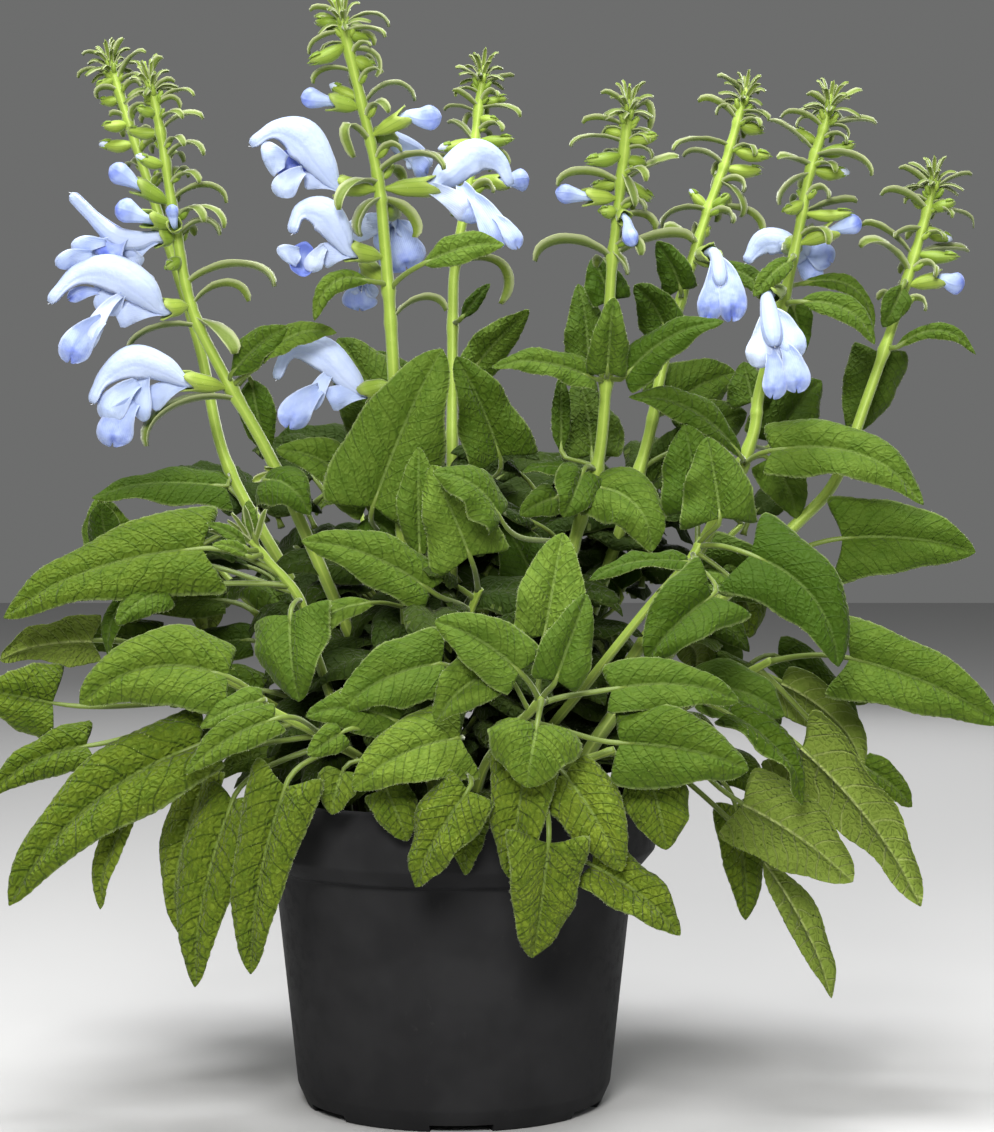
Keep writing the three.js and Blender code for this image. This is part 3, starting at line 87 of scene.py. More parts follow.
STEMS = [
  ["stem_1", 2.9, 1.7, [[384,790,16],[350,700,12],[290,580,6],[227,462,0],[200,345,-4],[160,215,-6],
                        [128,115,-7],[107,46,-8]]],
  ["stem_2", 2.9, 1.7, [[402,790,-14],[384,720,-18],[335,600,-22],[272,460,-26],[224,374,-28],[192,305,-29],
                        [175,214,-30],[162,130,-30],[147,64,-30]]],
  ["stem_3", 3.1, 1.7, [[416,790,-34],[412,700,-34],[404,560,-34],[397,430,-34],[391,320,-34],[385,241,-34],
                        [379,182,-34],[363,107,-34],[342,20,-34],[337,0,-34]]],
  ["stem_4", 2.9, 1.7, [[446,790,24],[450,700,24],[452,520,22],[453,321,20],[456,262,20],[469,188,20],
                        [479,110,20],[484,56,20]]],
  ["stem_5", 3.1, 1.7, [[500,790,-2],[520,730,-4],[553,620,-8],[577,532,-10],[598,462,-12],[606,381,-13],
                        [611,274,-14],[620,190,-14],[627,120,-14],[629,86,-14]]],
  ["stem_6", 2.9, 1.7, [[524,790,30],[552,720,28],[600,590,24],[645,450,20],[662,368,18],[687,277,16],
                        [706,215,16],[724,165,16],[740,110,16],[748,78,16]]],
  ["stem_7", 3.1, 1.7, [[548,790,6],[590,720,4],[655,625,0],[715,520,-3],[751,440,-5],[759,391,-5],
                        [781,308,-6],[797,235,-6],[808,175,-6],[824,122,-6],[830,84,-6]]],
  ["stem_8", 3.1, 1.7, [[556,790,-30],[600,735,-28],[670,650,-16],[740,580,-6],[795,525,2],[835,480,3],
                        [868,394,5],[896,311,6],[919,235,8],[930,190,8],[932,160,8]]],
]
LEAN = {
  "stem_1": 42, "stem_2": -10, "stem_3": -24, "stem_4": 56, "stem_5": -34, "stem_6": 50, "stem_7": 2,
  "stem_8": 24,
}
SHOOTS = [
  ["shoot_a", 2.4, 1.5, [[388,790,-44],[372,770,-58],[332,742,-72],[285,718,-80],[240,698,-82]]],
  ["shoot_b", 2.4, 1.3, [[366,790,-28],[345,740,-38],[318,660,-46],[300,600,-50],[268,560,-52],
                         [250,540,-54]]],
  ["shoot_c", 2.4, 1.3, [[362,790,4],[320,740,0],[245,690,-12],[170,655,-20],[115,640,-24]]],
  ["shoot_d", 2.4, 1.6, [[470,790,-52],[484,768,-64],[508,735,-80],[530,712,-92],[545,697,-98]]],
  ["shoot_e", 2.4, 1.5, [[432,790,-12],[440,740,-16],[455,680,-24],[468,620,-32],[480,588,-38]]],
  ["shoot_f", 2.4, 1.5, [[428,790,6],[420,700,0],[400,600,-8],[386,545,-16],[376,510,-22]]],
  ["shoot_g", 2.4, 1.5, [[508,790,-30],[535,750,-38],[590,680,-46],[650,605,-50],[690,560,-50],
                         [702,538,-48]]],
  ["shoot_h", 2.4, 1.5, [[532,790,-9],[580,762,-8],[650,725,-12],[720,688,-20],[772,660,-28]]],
  ["shoot_i", 2.4, 1.6, [[497,790,-58],[515,782,-68],[545,772,-78],[585,760,-86],[615,750,-88]]],
  ["shoot_j", 2.4, 1.6, [[436,790,-60],[432,782,-68],[428,768,-76],[436,735,-78],[450,700,-72]]],
]
BACK_SHOOTS = [
  ["shoot_k", -47, 30, -118, 82, 232],
  ["shoot_l", -20, 52, -46, 142, 246],
  ["shoot_m", 14, 56, 48, 140, 238],
  ["shoot_n", 50, 34, 128, 92, 240],
]
LEAVES = [
  ["stem_1",470, 226,486,-4, 92,492,-22, 60,42,0.05,-0.10,C],
  ["stem_1",520, 118,562,-6, 100,497,-10, 62,0,0.02,0.05,C],
  ["shoot_b",575, 203,548,-56, 0,614,-66, 94,22,0.07,0.06,H],
  ["shoot_c",650, 92,640,-30, -4,657,-36, 62,150,0.05,0.05,H],
  ["shoot_b",592, 152,572,-42, 102,660,-46, 24,30,0.12,0.0,O],
  ["shoot_b",585, 166,590,-60, 117,624,-72, 40,20,0.10,-0.2,C],
  ["shoot_a",712, 226,676,-88, 77,703,-98, 92,24,0.16,-0.12,C],
  ["shoot_a",702, 52,703,-66, -16,690,-74, 84,14,0.0,0.05,H],
  ["shoot_a",700, 86,746,-74, -14,797,-82, 54,20,0.10,0.0,H],
  ["shoot_a",706, 200,744,-92, 4,907,-100, 84,20,0.10,0.12,C],
  ["shoot_a",722, 142,792,-82, 92,912,-86, 30,30,0.06,0.3,O],
  ["shoot_a",735, 206,776,-66, 168,936,-70, 62,35,0.05,0.1,C],
  ["shoot_a",742, 232,800,-80, 190,992,-88, 66,18,0.05,0.08,C],
  ["shoot_a",748, 285,786,-92, 248,978,-90, 76,10,0.05,0.1,H],
  ["shoot_a",738, 274,719,-102, 184,774,-110, 42,20,0.08,0.2,C],
  ["shoot_a",705, 262,700,-92, 200,727,-98, 34,20,0.08,0.0,C],
  ["shoot_b",600, 290,615,-66, 298,702,-78, 90,10,0.08,-0.15,H],
  ["shoot_e",640, 374,602,-52, 300,690,-60, 34,35,0.30,0.0,O],
  ["shoot_j",755, 398,722,-88, 304,714,-96, 52,15,0.12,0.0,C],
  ["shoot_j",765, 342,732,-96, 308,754,-102, 32,0,0.0,0.0,C],
  ["shoot_j",780, 342,772,-84, 331,815,-90, 44,10,0.05,0.0,C],
  ["shoot_j",705, 442,663,-84, 338,710,-96, 74,14,0.10,0.0,C],
  ["shoot_d",712, 494,670,-100, 434,722,-106, 56,14,0.12,0.35,C],
  ["shoot_j",750, 460,738,-94, 350,789,-104, 90,14,0.10,-0.08,H],
  ["shoot_e",612, 430,590,-58, 302,538,-70, 60,22,0.08,0.05,C],
  ["shoot_f",545, 373,506,-44, 440,348,-50, 104,4,0.02,0.06,C],
  ["shoot_f",535, 366,503,-28, 278,447,-40, 56,30,0.12,0.1,C],
  ["stem_2",472, 264,480,-40, 313,514,-52, 52,20,0.25,-0.1,C],
  ["shoot_f",520, 366,518,-34, 405,552,-44, 58,10,0.12,0.0,C],
  ["shoot_e",600, 420,556,-52, 419,447,-58, 42,0,0.03,0.1,O],
  ["shoot_e",592, 470,556,-56, 431,466,-62, 86,4,0.02,0.08,H],
  ["stem_5",548, 500,516,-62, 433,471,-70, 62,40,0.16,-0.1,C],
  ["stem_4",500, 500,456,-14, 457,357,-24, 76,10,0.03,0.2,H],
  ["shoot_f",560, 398,432,-8, 338,336,-4, 84,0,0.08,0.0,C],
  ["stem_5",470, 561,450,-2, 561,374,0, 20,0,0.0,0.2,O],
  ["stem_5",480, 592,455,8, 580,376,22, 64,0,0.02,0.0,C],
  ["stem_6",478, 655,484,28, 702,420,30, 50,0,0.05,0.0,C],
  ["stem_5",520, 556,497,-18, 520,514,-26, 34,15,0.05,0.0,C],
  ["stem_5",625, 536,588,14, 500,520,22, 60,0,0.05,0.0,C],
  ["stem_6",640, 620,590,40, 566,540,50, 56,0,0.05,0.0,C],
  ["stem_7",600, 700,566,14, 776,600,16, 74,0,0.10,0.0,C],
  ["stem_7",640, 672,622,16, 742,664,18, 62,0,0.08,0.0,C],
  ["stem_5",472, 583,471,-26, 565,516,-38, 50,10,0.06,0.0,C],
  ["stem_5",468, 576,470,-22, 521,469,-30, 24,60,0.08,0.0,O],
  ["stem_5",478, 594,486,-26, 655,551,-42, 66,20,0.20,-0.1,C],
  ["shoot_d",705, 544,636,-90, 562,531,-82, 70,0,0.04,0.1,C],
  ["shoot_d",700, 556,680,-106, 588,593,-102, 54,0,0.04,0.15,C],
  ["shoot_d",702, 519,671,-106, 434,620,-108, 66,14,0.08,-0.05,C],
  ["shoot_d",699, 537,726,-110, 526,788,-122, 94,5,0.10,-0.08,C],
  ["shoot_d",706, 612,689,-98, 743,698,-98, 58,26,0.08,0.1,C],
  ["shoot_d",722, 620,743,-104, 751,768,-110, 86,14,0.05,-0.05,C],
  ["shoot_d",728, 528,748,-102, 508,882,-106, 80,8,0.04,0.1,H],
  ["shoot_i",774, 549,846,-118, 534,968,-108, 86,2,0.02,0.1,H],
  ["shoot_i",770, 565,775,-98, 622,873,-110, 70,14,0.06,-0.05,C],
  ["shoot_i",766, 592,866,-98, 684,936,-102, 60,18,0.06,0.15,C],
  ["shoot_i",752, 652,784,-92, 667,851,-96, 66,8,0.04,0.1,C],
  ["shoot_j",766, 468,790,-104, 411,887,-100, 66,12,0.05,-0.1,C],
  ["shoot_j",775, 470,806,-93, 463,878,-92, 40,0,0.02,0.0,C],
  ["shoot_j",778, 386,790,-86, 407,842,-90, 48,10,0.05,0.0,C],
  ["shoot_g",560, 712,596,-76, 645,659,-88, 88,12,0.08,0.45,H],
  ["shoot_g",555, 688,562,-66, 588,575,-78, 34,58,0.08,0.1,C],
  ["shoot_g",552, 735,588,-60, 656,586,-68, 40,62,0.04,0.2,C],
  ["shoot_g",545, 720,518,-56, 706,436,-52, 80,0,0.02,0.08,H],
  ["stem_7",462, 740,455,-22, 630,393,-36, 38,34,0.12,0.0,O],
  ["shoot_g",548, 697,508,-40, 684,424,-36, 72,0,0.02,0.0,C],
  ["stem_7",470, 772,450,-20, 928,497,-40, 70,20,0.13,0.05,C],
  ["stem_7",466, 768,458,4, 796,518,4, 50,10,0.08,0.0,C],
  ["stem_8",578, 842,538,-20, 976,551,-26, 90,8,0.05,0.06,H],
  ["shoot_g",546, 750,554,-66, 840,666,-78, 96,10,0.16,-0.08,H],
  ["shoot_h",662, 850,658,-42, 1004,724,-48, 88,10,0.05,0.06,H],
  ["shoot_h",672, 782,682,-22, 868,762,-14, 64,150,0.08,0.0,C],
  ["shoot_h",690, 802,748,-40, 924,906,-44, 80,158,0.05,0.08,H],
  ["shoot_h",722, 744,804,-54, 854,882,-58, 90,160,0.04,-0.06,C],
  ["shoot_h",668, 866,768,-22, 915,807,-20, 36,20,0.05,0.0,C],
  ["shoot_h",735, 766,862,-30, 836,999,-32, 44,150,0.04,0.05,O],
  ["shoot_h",728, 736,806,-18, 750,923,-20, 50,20,0.02,0.1,C],
  ["shoot_h",704, 730,714,-64, 812,803,-72, 56,50,0.10,0.1,C],
  ["shoot_h",712, 700,686,-40, 786,716,-40, 64,30,0.10,0.0,C],
  ["stem_3",288, 372,282,-42, 314,321,-52, 24,10,0.30,0.0,O],
  ["stem_3",291, 424,264,-48, 503,242,-56, 34,24,0.06,-0.1,O],
  ["stem_2",384, 232,374,-32, 285,326,-44, 36,24,0.04,0.0,O],
  ["stem_2",388, 262,362,-40, 337,331,-46, 30,40,0.16,0.0,O],
  ["stem_2",392, 252,380,-18, 268,452,-18, 38,0,0.02,0.0,O],
  ["stem_5",312, 611,300,-4, 592,258,0, 44,0,0.02,0.0,C],
  ["stem_5",384, 592,378,-20, 493,362,-34, 40,30,0.08,0.0,C],
  ["stem_5",382, 624,377,-20, 722,320,-34, 44,20,0.10,-0.1,C],
  ["stem_5",380, 607,372,-22, 612,301,-38, 42,0,0.0,0.1,R],
  ["stem_5",378, 588,366,-2, 579,283,2, 46,0,0.03,0.0,C],
  ["stem_6",338, 664,328,8, 634,286,4, 44,0,0.08,0.0,C],
  ["stem_6",300, 680,290,8, 656,243,4, 36,0,0.06,0.0,C],
  ["stem_6",420, 668,410,28, 736,372,34, 70,0,0.08,0.0,C],
  ["stem_7",412, 752,402,12, 743,361,16, 46,0,0.0,0.0,C],
  ["stem_7",448, 772,442,14, 823,379,22, 66,0,0.08,0.0,C],
  ["stem_8",352, 878,352,16, 848,433,18, 60,0,0.06,0.0,C],
  ["stem_8",350, 896,347,2, 977,352,-2, 18,30,0.24,0.0,O],
  ["stem_7",306, 800,302,-14, 877,342,-20, 34,24,0.16,0.0,O],
  ["stem_7",292, 800,284,4, 877,329,4, 20,30,0.26,0.0,O],
  ["stem_7",258, 790,260,-16, 752,297,-26, 24,20,0.10,0.0,O],
  ["stem_7",300, 792,306,6, 802,356,8, 32,0,0.02,0.0,C],
  ["stem_6",262, 708,262,6, 766,292,-8, 28,24,0.14,0.0,O],
  ["stem_8",284, 902,286,-4, 882,327,-8, 28,10,0.04,0.2,O],
  ["stem_4",325, 462,318,12, 489,284,8, 16,10,0.03,0.0,O],
  ["stem_4",380, 476,366,10, 528,313,4, 40,0,0.06,0.0,C],
  ["stem_4",440, 420,420,26, 372,352,30, 60,0,0.05,0.0,C],
  ["stem_6",470, 690,440,30, 745,412,32, 60,0,0.06,0.0,C],
  ["shoot_b",552, 246,548,-58, 207,523,-62, 14,20,0.10,0.0,O],
  ["shoot_b",556, 248,556,-60, 213,544,-66, 14,20,0.10,0.0,O],
  ["shoot_b",548, 254,535,-55, 248,500,-58, 18,10,0.05,0.0,O],
]
BRACTS = [
  ["stem_1",62,85,57,-4,5,6], ["stem_1",78,80,80,2,9,6], ["stem_1",66,126,41,-2,2,6],
  ["stem_1",88,148,55,-6,10,6],
  ["stem_1",92,98,97,-4,6,7], ["stem_1",120,112,118,2,4,7],
  ["stem_2",84,165,60,-4,6,6], ["stem_2",96,177,84,3,6,7], ["stem_2",107,196,98,-5,10,7],
  ["stem_2",130,205,121,3,9,8],
  ["stem_2",160,205,157,-5,14,8], ["stem_2",200,228,204,3,16,8], ["stem_2",214,225,229,-6,15,8],
  ["stem_2",236,221,236,3,15,8], ["stem_2",284,275,287,-5,20,14], ["stem_2",304,249,302,4,18,12],
  ["stem_2",318,235,354,-9,6,15], ["stem_2",326,129,354,-3,14,12], ["stem_2",398,148,446,-10,22,16],
  ["stem_3",16,311,14,-3,4,7], ["stem_3",28,390,30,3,13,8], ["stem_3",34,386,40,-5,7,8],
  ["stem_3",34,310,57,-4,8,8],
  ["stem_3",51,377,79,-4,14,10], ["stem_3",72,314,86,3,10,8], ["stem_3",107,416,103,4,19,9],
  ["stem_3",142,355,159,-6,28,9], ["stem_3",174,444,171,-9,16,10], ["stem_3",184,340,211,-10,14,10],
  ["stem_3",198,362,237,-8,10,13], ["stem_3",198,414,238,8,10,14], ["stem_3",321,446,311,6,16,13],
  ["stem_4",84,456,70,-3,4,8], ["stem_4",84,514,78,3,2,8], ["stem_4",108,453,92,-4,2,9],
  ["stem_4",114,444,112,4,6,9],
  ["stem_4",110,520,119,-4,8,8], ["stem_4",145,448,124,5,6,9], ["stem_4",148,508,168,4,10,9],
  ["stem_4",163,430,158,4,4,9],
  ["stem_4",262,500,304,8,30,12],
  ["stem_5",108,600,95,-3,4,7], ["stem_5",126,582,125,3,6,8], ["stem_5",142,570,148,-4,9,9],
  ["stem_5",122,648,132,5,24,8],
  ["stem_5",150,651,160,-4,8,8], ["stem_5",182,678,159,4,4,10], ["stem_5",170,634,207,-7,3,9],
  ["stem_5",184,557,187,-6,12,11],
  ["stem_5",218,654,231,4,10,10], ["stem_5",258,535,262,-6,18,18], ["stem_5",256,691,242,6,10,17],
  ["stem_5",250,627,275,-7,2,12],
  ["stem_6",94,716,78,-3,3,8], ["stem_6",122,697,104,4,8,9], ["stem_6",112,767,123,-4,6,8],
  ["stem_6",94,757,96,3,3,7],
  ["stem_6",146,672,152,-5,10,10], ["stem_6",166,682,158,5,9,10], ["stem_6",180,739,218,-6,10,10],
  ["stem_6",210,760,236,5,16,11],
  ["stem_6",210,661,229,-6,12,11], ["stem_6",246,664,232,-10,8,11],
  ["stem_7",110,805,96,-3,3,8], ["stem_7",110,860,92,3,2,8], ["stem_7",128,779,119,-4,9,9],
  ["stem_7",128,874,126,4,6,9],
  ["stem_7",152,768,122,5,4,11], ["stem_7",156,870,177,-5,12,11], ["stem_7",165,776,160,-7,3,10],
  ["stem_7",174,778,206,-10,8,11],
  ["stem_7",212,855,203,6,4,11],
  ["stem_8",190,897,169,-3,4,8], ["stem_8",180,906,165,4,3,7], ["stem_8",190,970,176,3,5,9],
  ["stem_8",210,879,196,-4,9,9],
  ["stem_8",214,975,229,4,12,9], ["stem_8",256,860,226,4,8,11], ["stem_8",274,859,248,-6,14,13],
  ["stem_8",229,893,238,-7,4,9],
  ["stem_8",254,967,252,5,4,11],
]
CALYCES = [
  ["stem_1",84,100,88,-4,9], ["stem_1",104,103,103,3,10], ["stem_1",128,106,128,-4,11],
  ["stem_1",148,104,146,3,12],
  ["stem_2",92,158,84,4,9], ["stem_2",118,140,110,-5,10], ["stem_2",138,130,132,4,11],
  ["stem_2",170,140,158,-6,11],
  ["stem_2",222,150,240,8,11], ["stem_2",262,168,268,-7,12],
  ["stem_3",28,317,24,3,12], ["stem_3",36,371,42,4,12], ["stem_3",50,311,64,-4,13], ["stem_3",62,375,70,4,14],
  ["stem_3",104,333,88,5,12], ["stem_4",108,506,100,4,10], ["stem_4",122,497,122,-4,10],
  ["stem_4",144,441,150,-4,12],
  ["stem_4",146,512,140,-4,12], ["stem_5",140,604,131,4,11], ["stem_5",158,586,162,-4,13],
  ["stem_5",144,656,137,-4,12],
  ["stem_5",164,645,163,4,12], ["stem_5",186,592,188,6,12], ["stem_5",184,651,200,5,13],
  ["stem_5",214,600,212,-5,12],
  ["stem_6",128,762,132,4,13], ["stem_6",152,768,158,-4,13], ["stem_6",172,760,172,4,13],
  ["stem_6",212,690,192,4,10],
  ["stem_6",212,728,196,-4,10], ["stem_6",240,706,226,5,12], ["stem_7",148,794,131,4,11],
  ["stem_7",158,852,146,-4,12],
  ["stem_7",174,845,174,4,13], ["stem_7",206,783,212,-6,12], ["stem_7",216,850,214,-6,11],
  ["stem_8",212,911,198,4,11], ["stem_8",212,952,203,-4,11], ["stem_8",230,948,240,4,12],
  ["stem_8",256,955,257,-5,12],
]
BLOOMS = [
  ["bloom_1","stem_2",238,160,238,-34, [[136,241,-36,5,4],[112,234,-38,3.6,3],[73,195,-42,1.2,0.8]],0,
    [[130,245,-36,66,252,-42,34,20,0.10,C]]],
  ["bloom_2","stem_2",306,166,309,-36,
   [[142,290,-40,6.6,4.6],[112,272,-42,5.4,3.6],[78,276,-44,3.2,2],[51,303,-46,1.2,0.8]],0,
    [[134,300,-40,76,366,-52,32,0,-0.06,R],[124,286,-38,62,262,-34,34,10,0.05,C]]],
  ["bloom_3","stem_2",388,188,381,-38,
   [[164,369,-40,5.2,4],[134,361,-42,5,3.4],[106,378,-44,2.8,1.8],[93,403,-45,1.2,0.8]],0,
    [[156,376,-41,118,446,-50,40,0,0.14,R],[158,378,-38,138,422,-34,26,0,0.05,O]]],
  ["bloom_4","stem_3",192,342,187,-40,
   [[322,166,-42,5.8,4.4],[302,139,-43,6,3.8],[276,132,-45,3,2],[252,147,-46,1.2,0.8]],0,
    [[320,176,-43,264,152,-50,40,30,-0.32,R]]],
  ["bloom_5","stem_3",258,353,252,-42,
   [[340,236,-44,5.2,4],[324,214,-46,5,3.4],[302,213,-47,2.8,1.8],[293,234,-48,1.2,0.8]],0,
    [[340,252,-45,288,246,-50,34,30,-0.30,R]]],
  ["bloom_6","stem_3",284,369,270,-20, [[364,280,-13,4,4],[362,292,-10,2.4,3]],1,
    [[364,285,-11,360,312,-7,34,0,0.06,R]]],
  ["bloom_7","stem_3",214,390,212,-20, [[391,220,-14,5,4.4],[389,244,-9,2.4,2.4]],1,
    [[388,222,-12,344,238,-10,24,0,0.05,C],[392,226,-12,408,272,-11,46,0,0.02,R]]],
  ["bloom_8","stem_3",134,388,137,-22, [[401,146,-16,4,3.8],[418,156,-9,3,2.2],[431,167,-5,1.2,0.8]],0,
    [[407,157,-14,430,176,-9,20,20,0.05,R]]],
  ["bloom_9","stem_3",190,428,188,-26,
   [[448,177,-22,5.6,4.4],[474,157,-20,5.2,3.6],[498,164,-18,3.2,2],[510,187,-17,1.4,1]],0,
    [[452,192,-22,522,246,-34,38,10,-0.10,R]]],
  ["bloom_10","stem_3",384,368,391,-28,
   [[348,378,-26,5.2,4],[322,352,-25,5,3.4],[292,350,-23,3,2],[277,379,-22,1.3,0.9]],0,
    [[346,388,-28,296,434,-34,36,10,-0.14,R]]],
  ["bloom_11","stem_6",256,710,254,4, [[717,264,-3,5,5],[720,286,-9,3,4]],1,
    [[718,268,-6,719,322,-14,48,0,0.05,R]]],
  ["bloom_12","stem_7",246,791,247,4, [[782,243,12,4.6,4],[762,243,13,4,2.6],[745,263,13,1.4,0.9]],0,
    [[788,246,11,822,274,16,38,0,0.05,R]]],
  ["bloom_13","stem_7",288,768,296,-24, [[768,312,-33,6,6],[774,346,-42,4,5]],1,
    [[770,330,-38,782,400,-44,48,0,0.02,R],[766,322,-36,752,368,-38,34,0,0.0,C]]],
]
BUDS = [
  ["bud_1","stem_2",206,142,188,-34, 112,168,-36,4.6], ["bud_2","stem_2",228,150,220,-40, 117,208,-44,5],
  ["bud_3","stem_2",232,176,226,-38, 173,206,-44,2.6], ["bud_4","stem_3",112,334,104,-36, 302,99,-38,4.2],
  ["bud_5","stem_3",138,404,120,-36, 442,119,-38,5], ["bud_6","stem_4",184,503,183,16, 529,180,14,5],
  ["bud_7","stem_5",200,588,198,-18, 555,193,-20,4], ["bud_8","stem_5",212,624,219,-19, 633,247,-23,3.4],
  ["bud_9","stem_7",246,830,232,-8, 860,222,-10,4.4], ["bud_10","stem_8",286,936,280,6, 963,285,4,4.8],
]
BENDS = [
  [0,0,0], [0,-3,0], [0,3,0], [0,-6,0], [0,6,0], [0,0,3], [0,0,-3], [0,-10,0], [0,10,0], [0,-5,4], [0,5,4],
  [0,-5,-4],
  [0,5,-4], [3,0,0], [-3,0,0], [0,-14,0], [0,14,0], [3,-8,3], [-3,-8,3], [3,8,-3], [-3,8,-3], [0,-19,0],
  [0,19,0],
  [0,-10,7], [0,10,7], [0,-10,-7], [0,10,-7], [6,0,0], [-6,0,0], [0,-25,0], [0,25,0], [6,-12,5], [-6,-12,5],
  [6,12,-5], [-6,12,-5], [0,-18,10], [0,18,10], [0,-18,-10], [0,18,-10], [0,-32,0], [0,32,0], [10,-10,8],
  [-10,-10,8],
  [10,10,-8], [-10,10,-8], [0,-30,10], [0,30,10], [0,-40,4], [0,40,4],
]
HOOKS = [0, -2, 2, -4, 4, -6, 6, -8, 8, -10, 10, -12, 12, -14, 14, -17, 17]

# ---- vectors and curves ----
def vec(*a):
    return np.array(a, dtype=float)


def unit(a):
    return a / np.linalg.norm(a, axis=-1, keepdims=True)


def perp(a, t):
    """The part of a square to t, as a unit vector; t may be a list of vectors."""
    t = np.asarray(t, float)
    a = np.broadcast_to(np.asarray(a, float), t.shape)
    return unit(a - t * np.sum(a * t, axis=-1, keepdims=True))


def lerp(a, b, t):
    return a * (1 - t) + b * t


def smooth_step(x, lo=0.0, hi=1.0):
    t = np.clip((x - lo) / (hi - lo), 0, 1)
    return t * t * (3 - 2 * t)


def at(u, v, d):
    k = (EYE_Y + d) / EYE_Y
    z0 = (GROUND_V - v) * DIV
    return vec(AXIS_X + (u - AXIS_U) * DIV * k, d, EYE_Z - (EYE_Z - z0) * k)


def sheet_line(p):
    k = (EYE_Y + p[..., 1]) / EYE_Y
    return GROUND_V - (EYE_Z - (EYE_Z - p[..., 2]) / k) / DIV


def spline(p, s):
    """Catmull-Rom curve through the rows of p at the shares s."""
    p = np.asarray(p, float)
    s = np.atleast_1d(np.asarray(s, float))
    n = len(p) - 1
    x = np.clip(s, 0, 1) * n
    i = np.minimum(np.floor(x).astype(int), n - 1)
    t = (x - i)[:, None]
    a, b, c, d = p[np.maximum(i - 1, 0)], p[i], p[i + 1], p[np.minimum(i + 2, n)]
    return 0.5 * (2 * b + (c - a) * t + (2 * a - 5 * b + 4 * c - d) * t ** 2
                  + (3 * b - a - 3 * c + d) * t ** 3)


def resample(p, count):
    """Points evenly spaced along the Catmull-Rom curve through the rows of p."""
    dense = spline(p, np.linspace(0, 1, 24 * len(p)))
    run = np.concatenate([[0], np.cumsum(np.linalg.norm(np.diff(dense, axis=0), axis=1))])
    want = np.linspace(0, run[-1], count)
    return np.stack([np.interp(want, run, dense[:, k]) for k in range(dense.shape[1])], axis=1)


def tangents(p):
    return unit(np.gradient(p, axis=0))


# ---- stems ----
def lean(name, v):
    return LEAN.get(name, 0) * max(0.0, min(1.0, (640 - v) / 640)) ** 1.2


STEPS = 400                 # how finely the curve of a stem is divided


class Stem:
    def __init__(self, name, r0, r1, points):
        foot = points[0]
        self.name, self.r0, self.r1 = name, r0, r1
        self.path = np.array([[foot[0], foot[1], STEM_FOOT], [foot[0], foot[1], COMPOST_TOP + 4],
                              *points[1:]])
        self.dense = spline(self.path, np.linspace(0, 1, STEPS + 1))
        self.lines = sheet_line(self.dense)

    def at_line(self, v):
        return self.dense[np.argmin(np.abs(self.lines - v))]

    def share(self, z):
        shares = np.linspace(0, 1, 241)
        return shares[np.argmin(np.abs(spline(self.path, shares)[:, 2] - z))]


stems = {}
for name, r0, r1, rows in STEMS + SHOOTS:
    stems[name] = Stem(name, r0, r1, [at(u, v, d + lean(name, v)) for u, v, d in rows])
for name, x, y, tx, ty, tz in BACK_SHOOTS:
    bend = [x + (tx - x) * 0.22, y + (ty - y) * 0.22, 160]
    rise = [x + (tx - x) * 0.6, y + (ty - y) * 0.6, 160 + (tz - 160) * 0.62]
    stems[name] = Stem(name, 2.4, 1.3, [vec(x, y, COMPOST_TOP), bend, rise, vec(tx, ty, tz)])

corners = {}
for name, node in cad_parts.items():
    me = node.data
    co = np.empty(len(me.vertices) * 3)
    me.vertices.foreach_get("co", co)
    corners[name] = co.reshape(-1, 3) / MM


def placed(node, options):
    """Which of the tips in options is a corner of that node's solid, or None."""
    gaps = [np.min(np.linalg.norm(corners[node] - tip, axis=1)) for tip in options]
    best = int(np.argmin(gaps))
    return best if gaps[best] < 0.3 else None


BOX = np.array(cad_box[0]), np.array(cad_box[1])


def settle(v):
    """Leaves that reach the outer limits of the plant bend back a little instead of passing them."""
    soft, give = 0.004, 0.0038
    low, high = BOX[0] + soft - v, v - BOX[1] + soft
    v = np.where(low > 0, BOX[0] + soft - give * (1 - np.exp(-np.maximum(low, 0) / give)), v)
    return np.where(high > 0, BOX[1] - soft + give * (1 - np.exp(-np.maximum(high, 0) / give)), v)


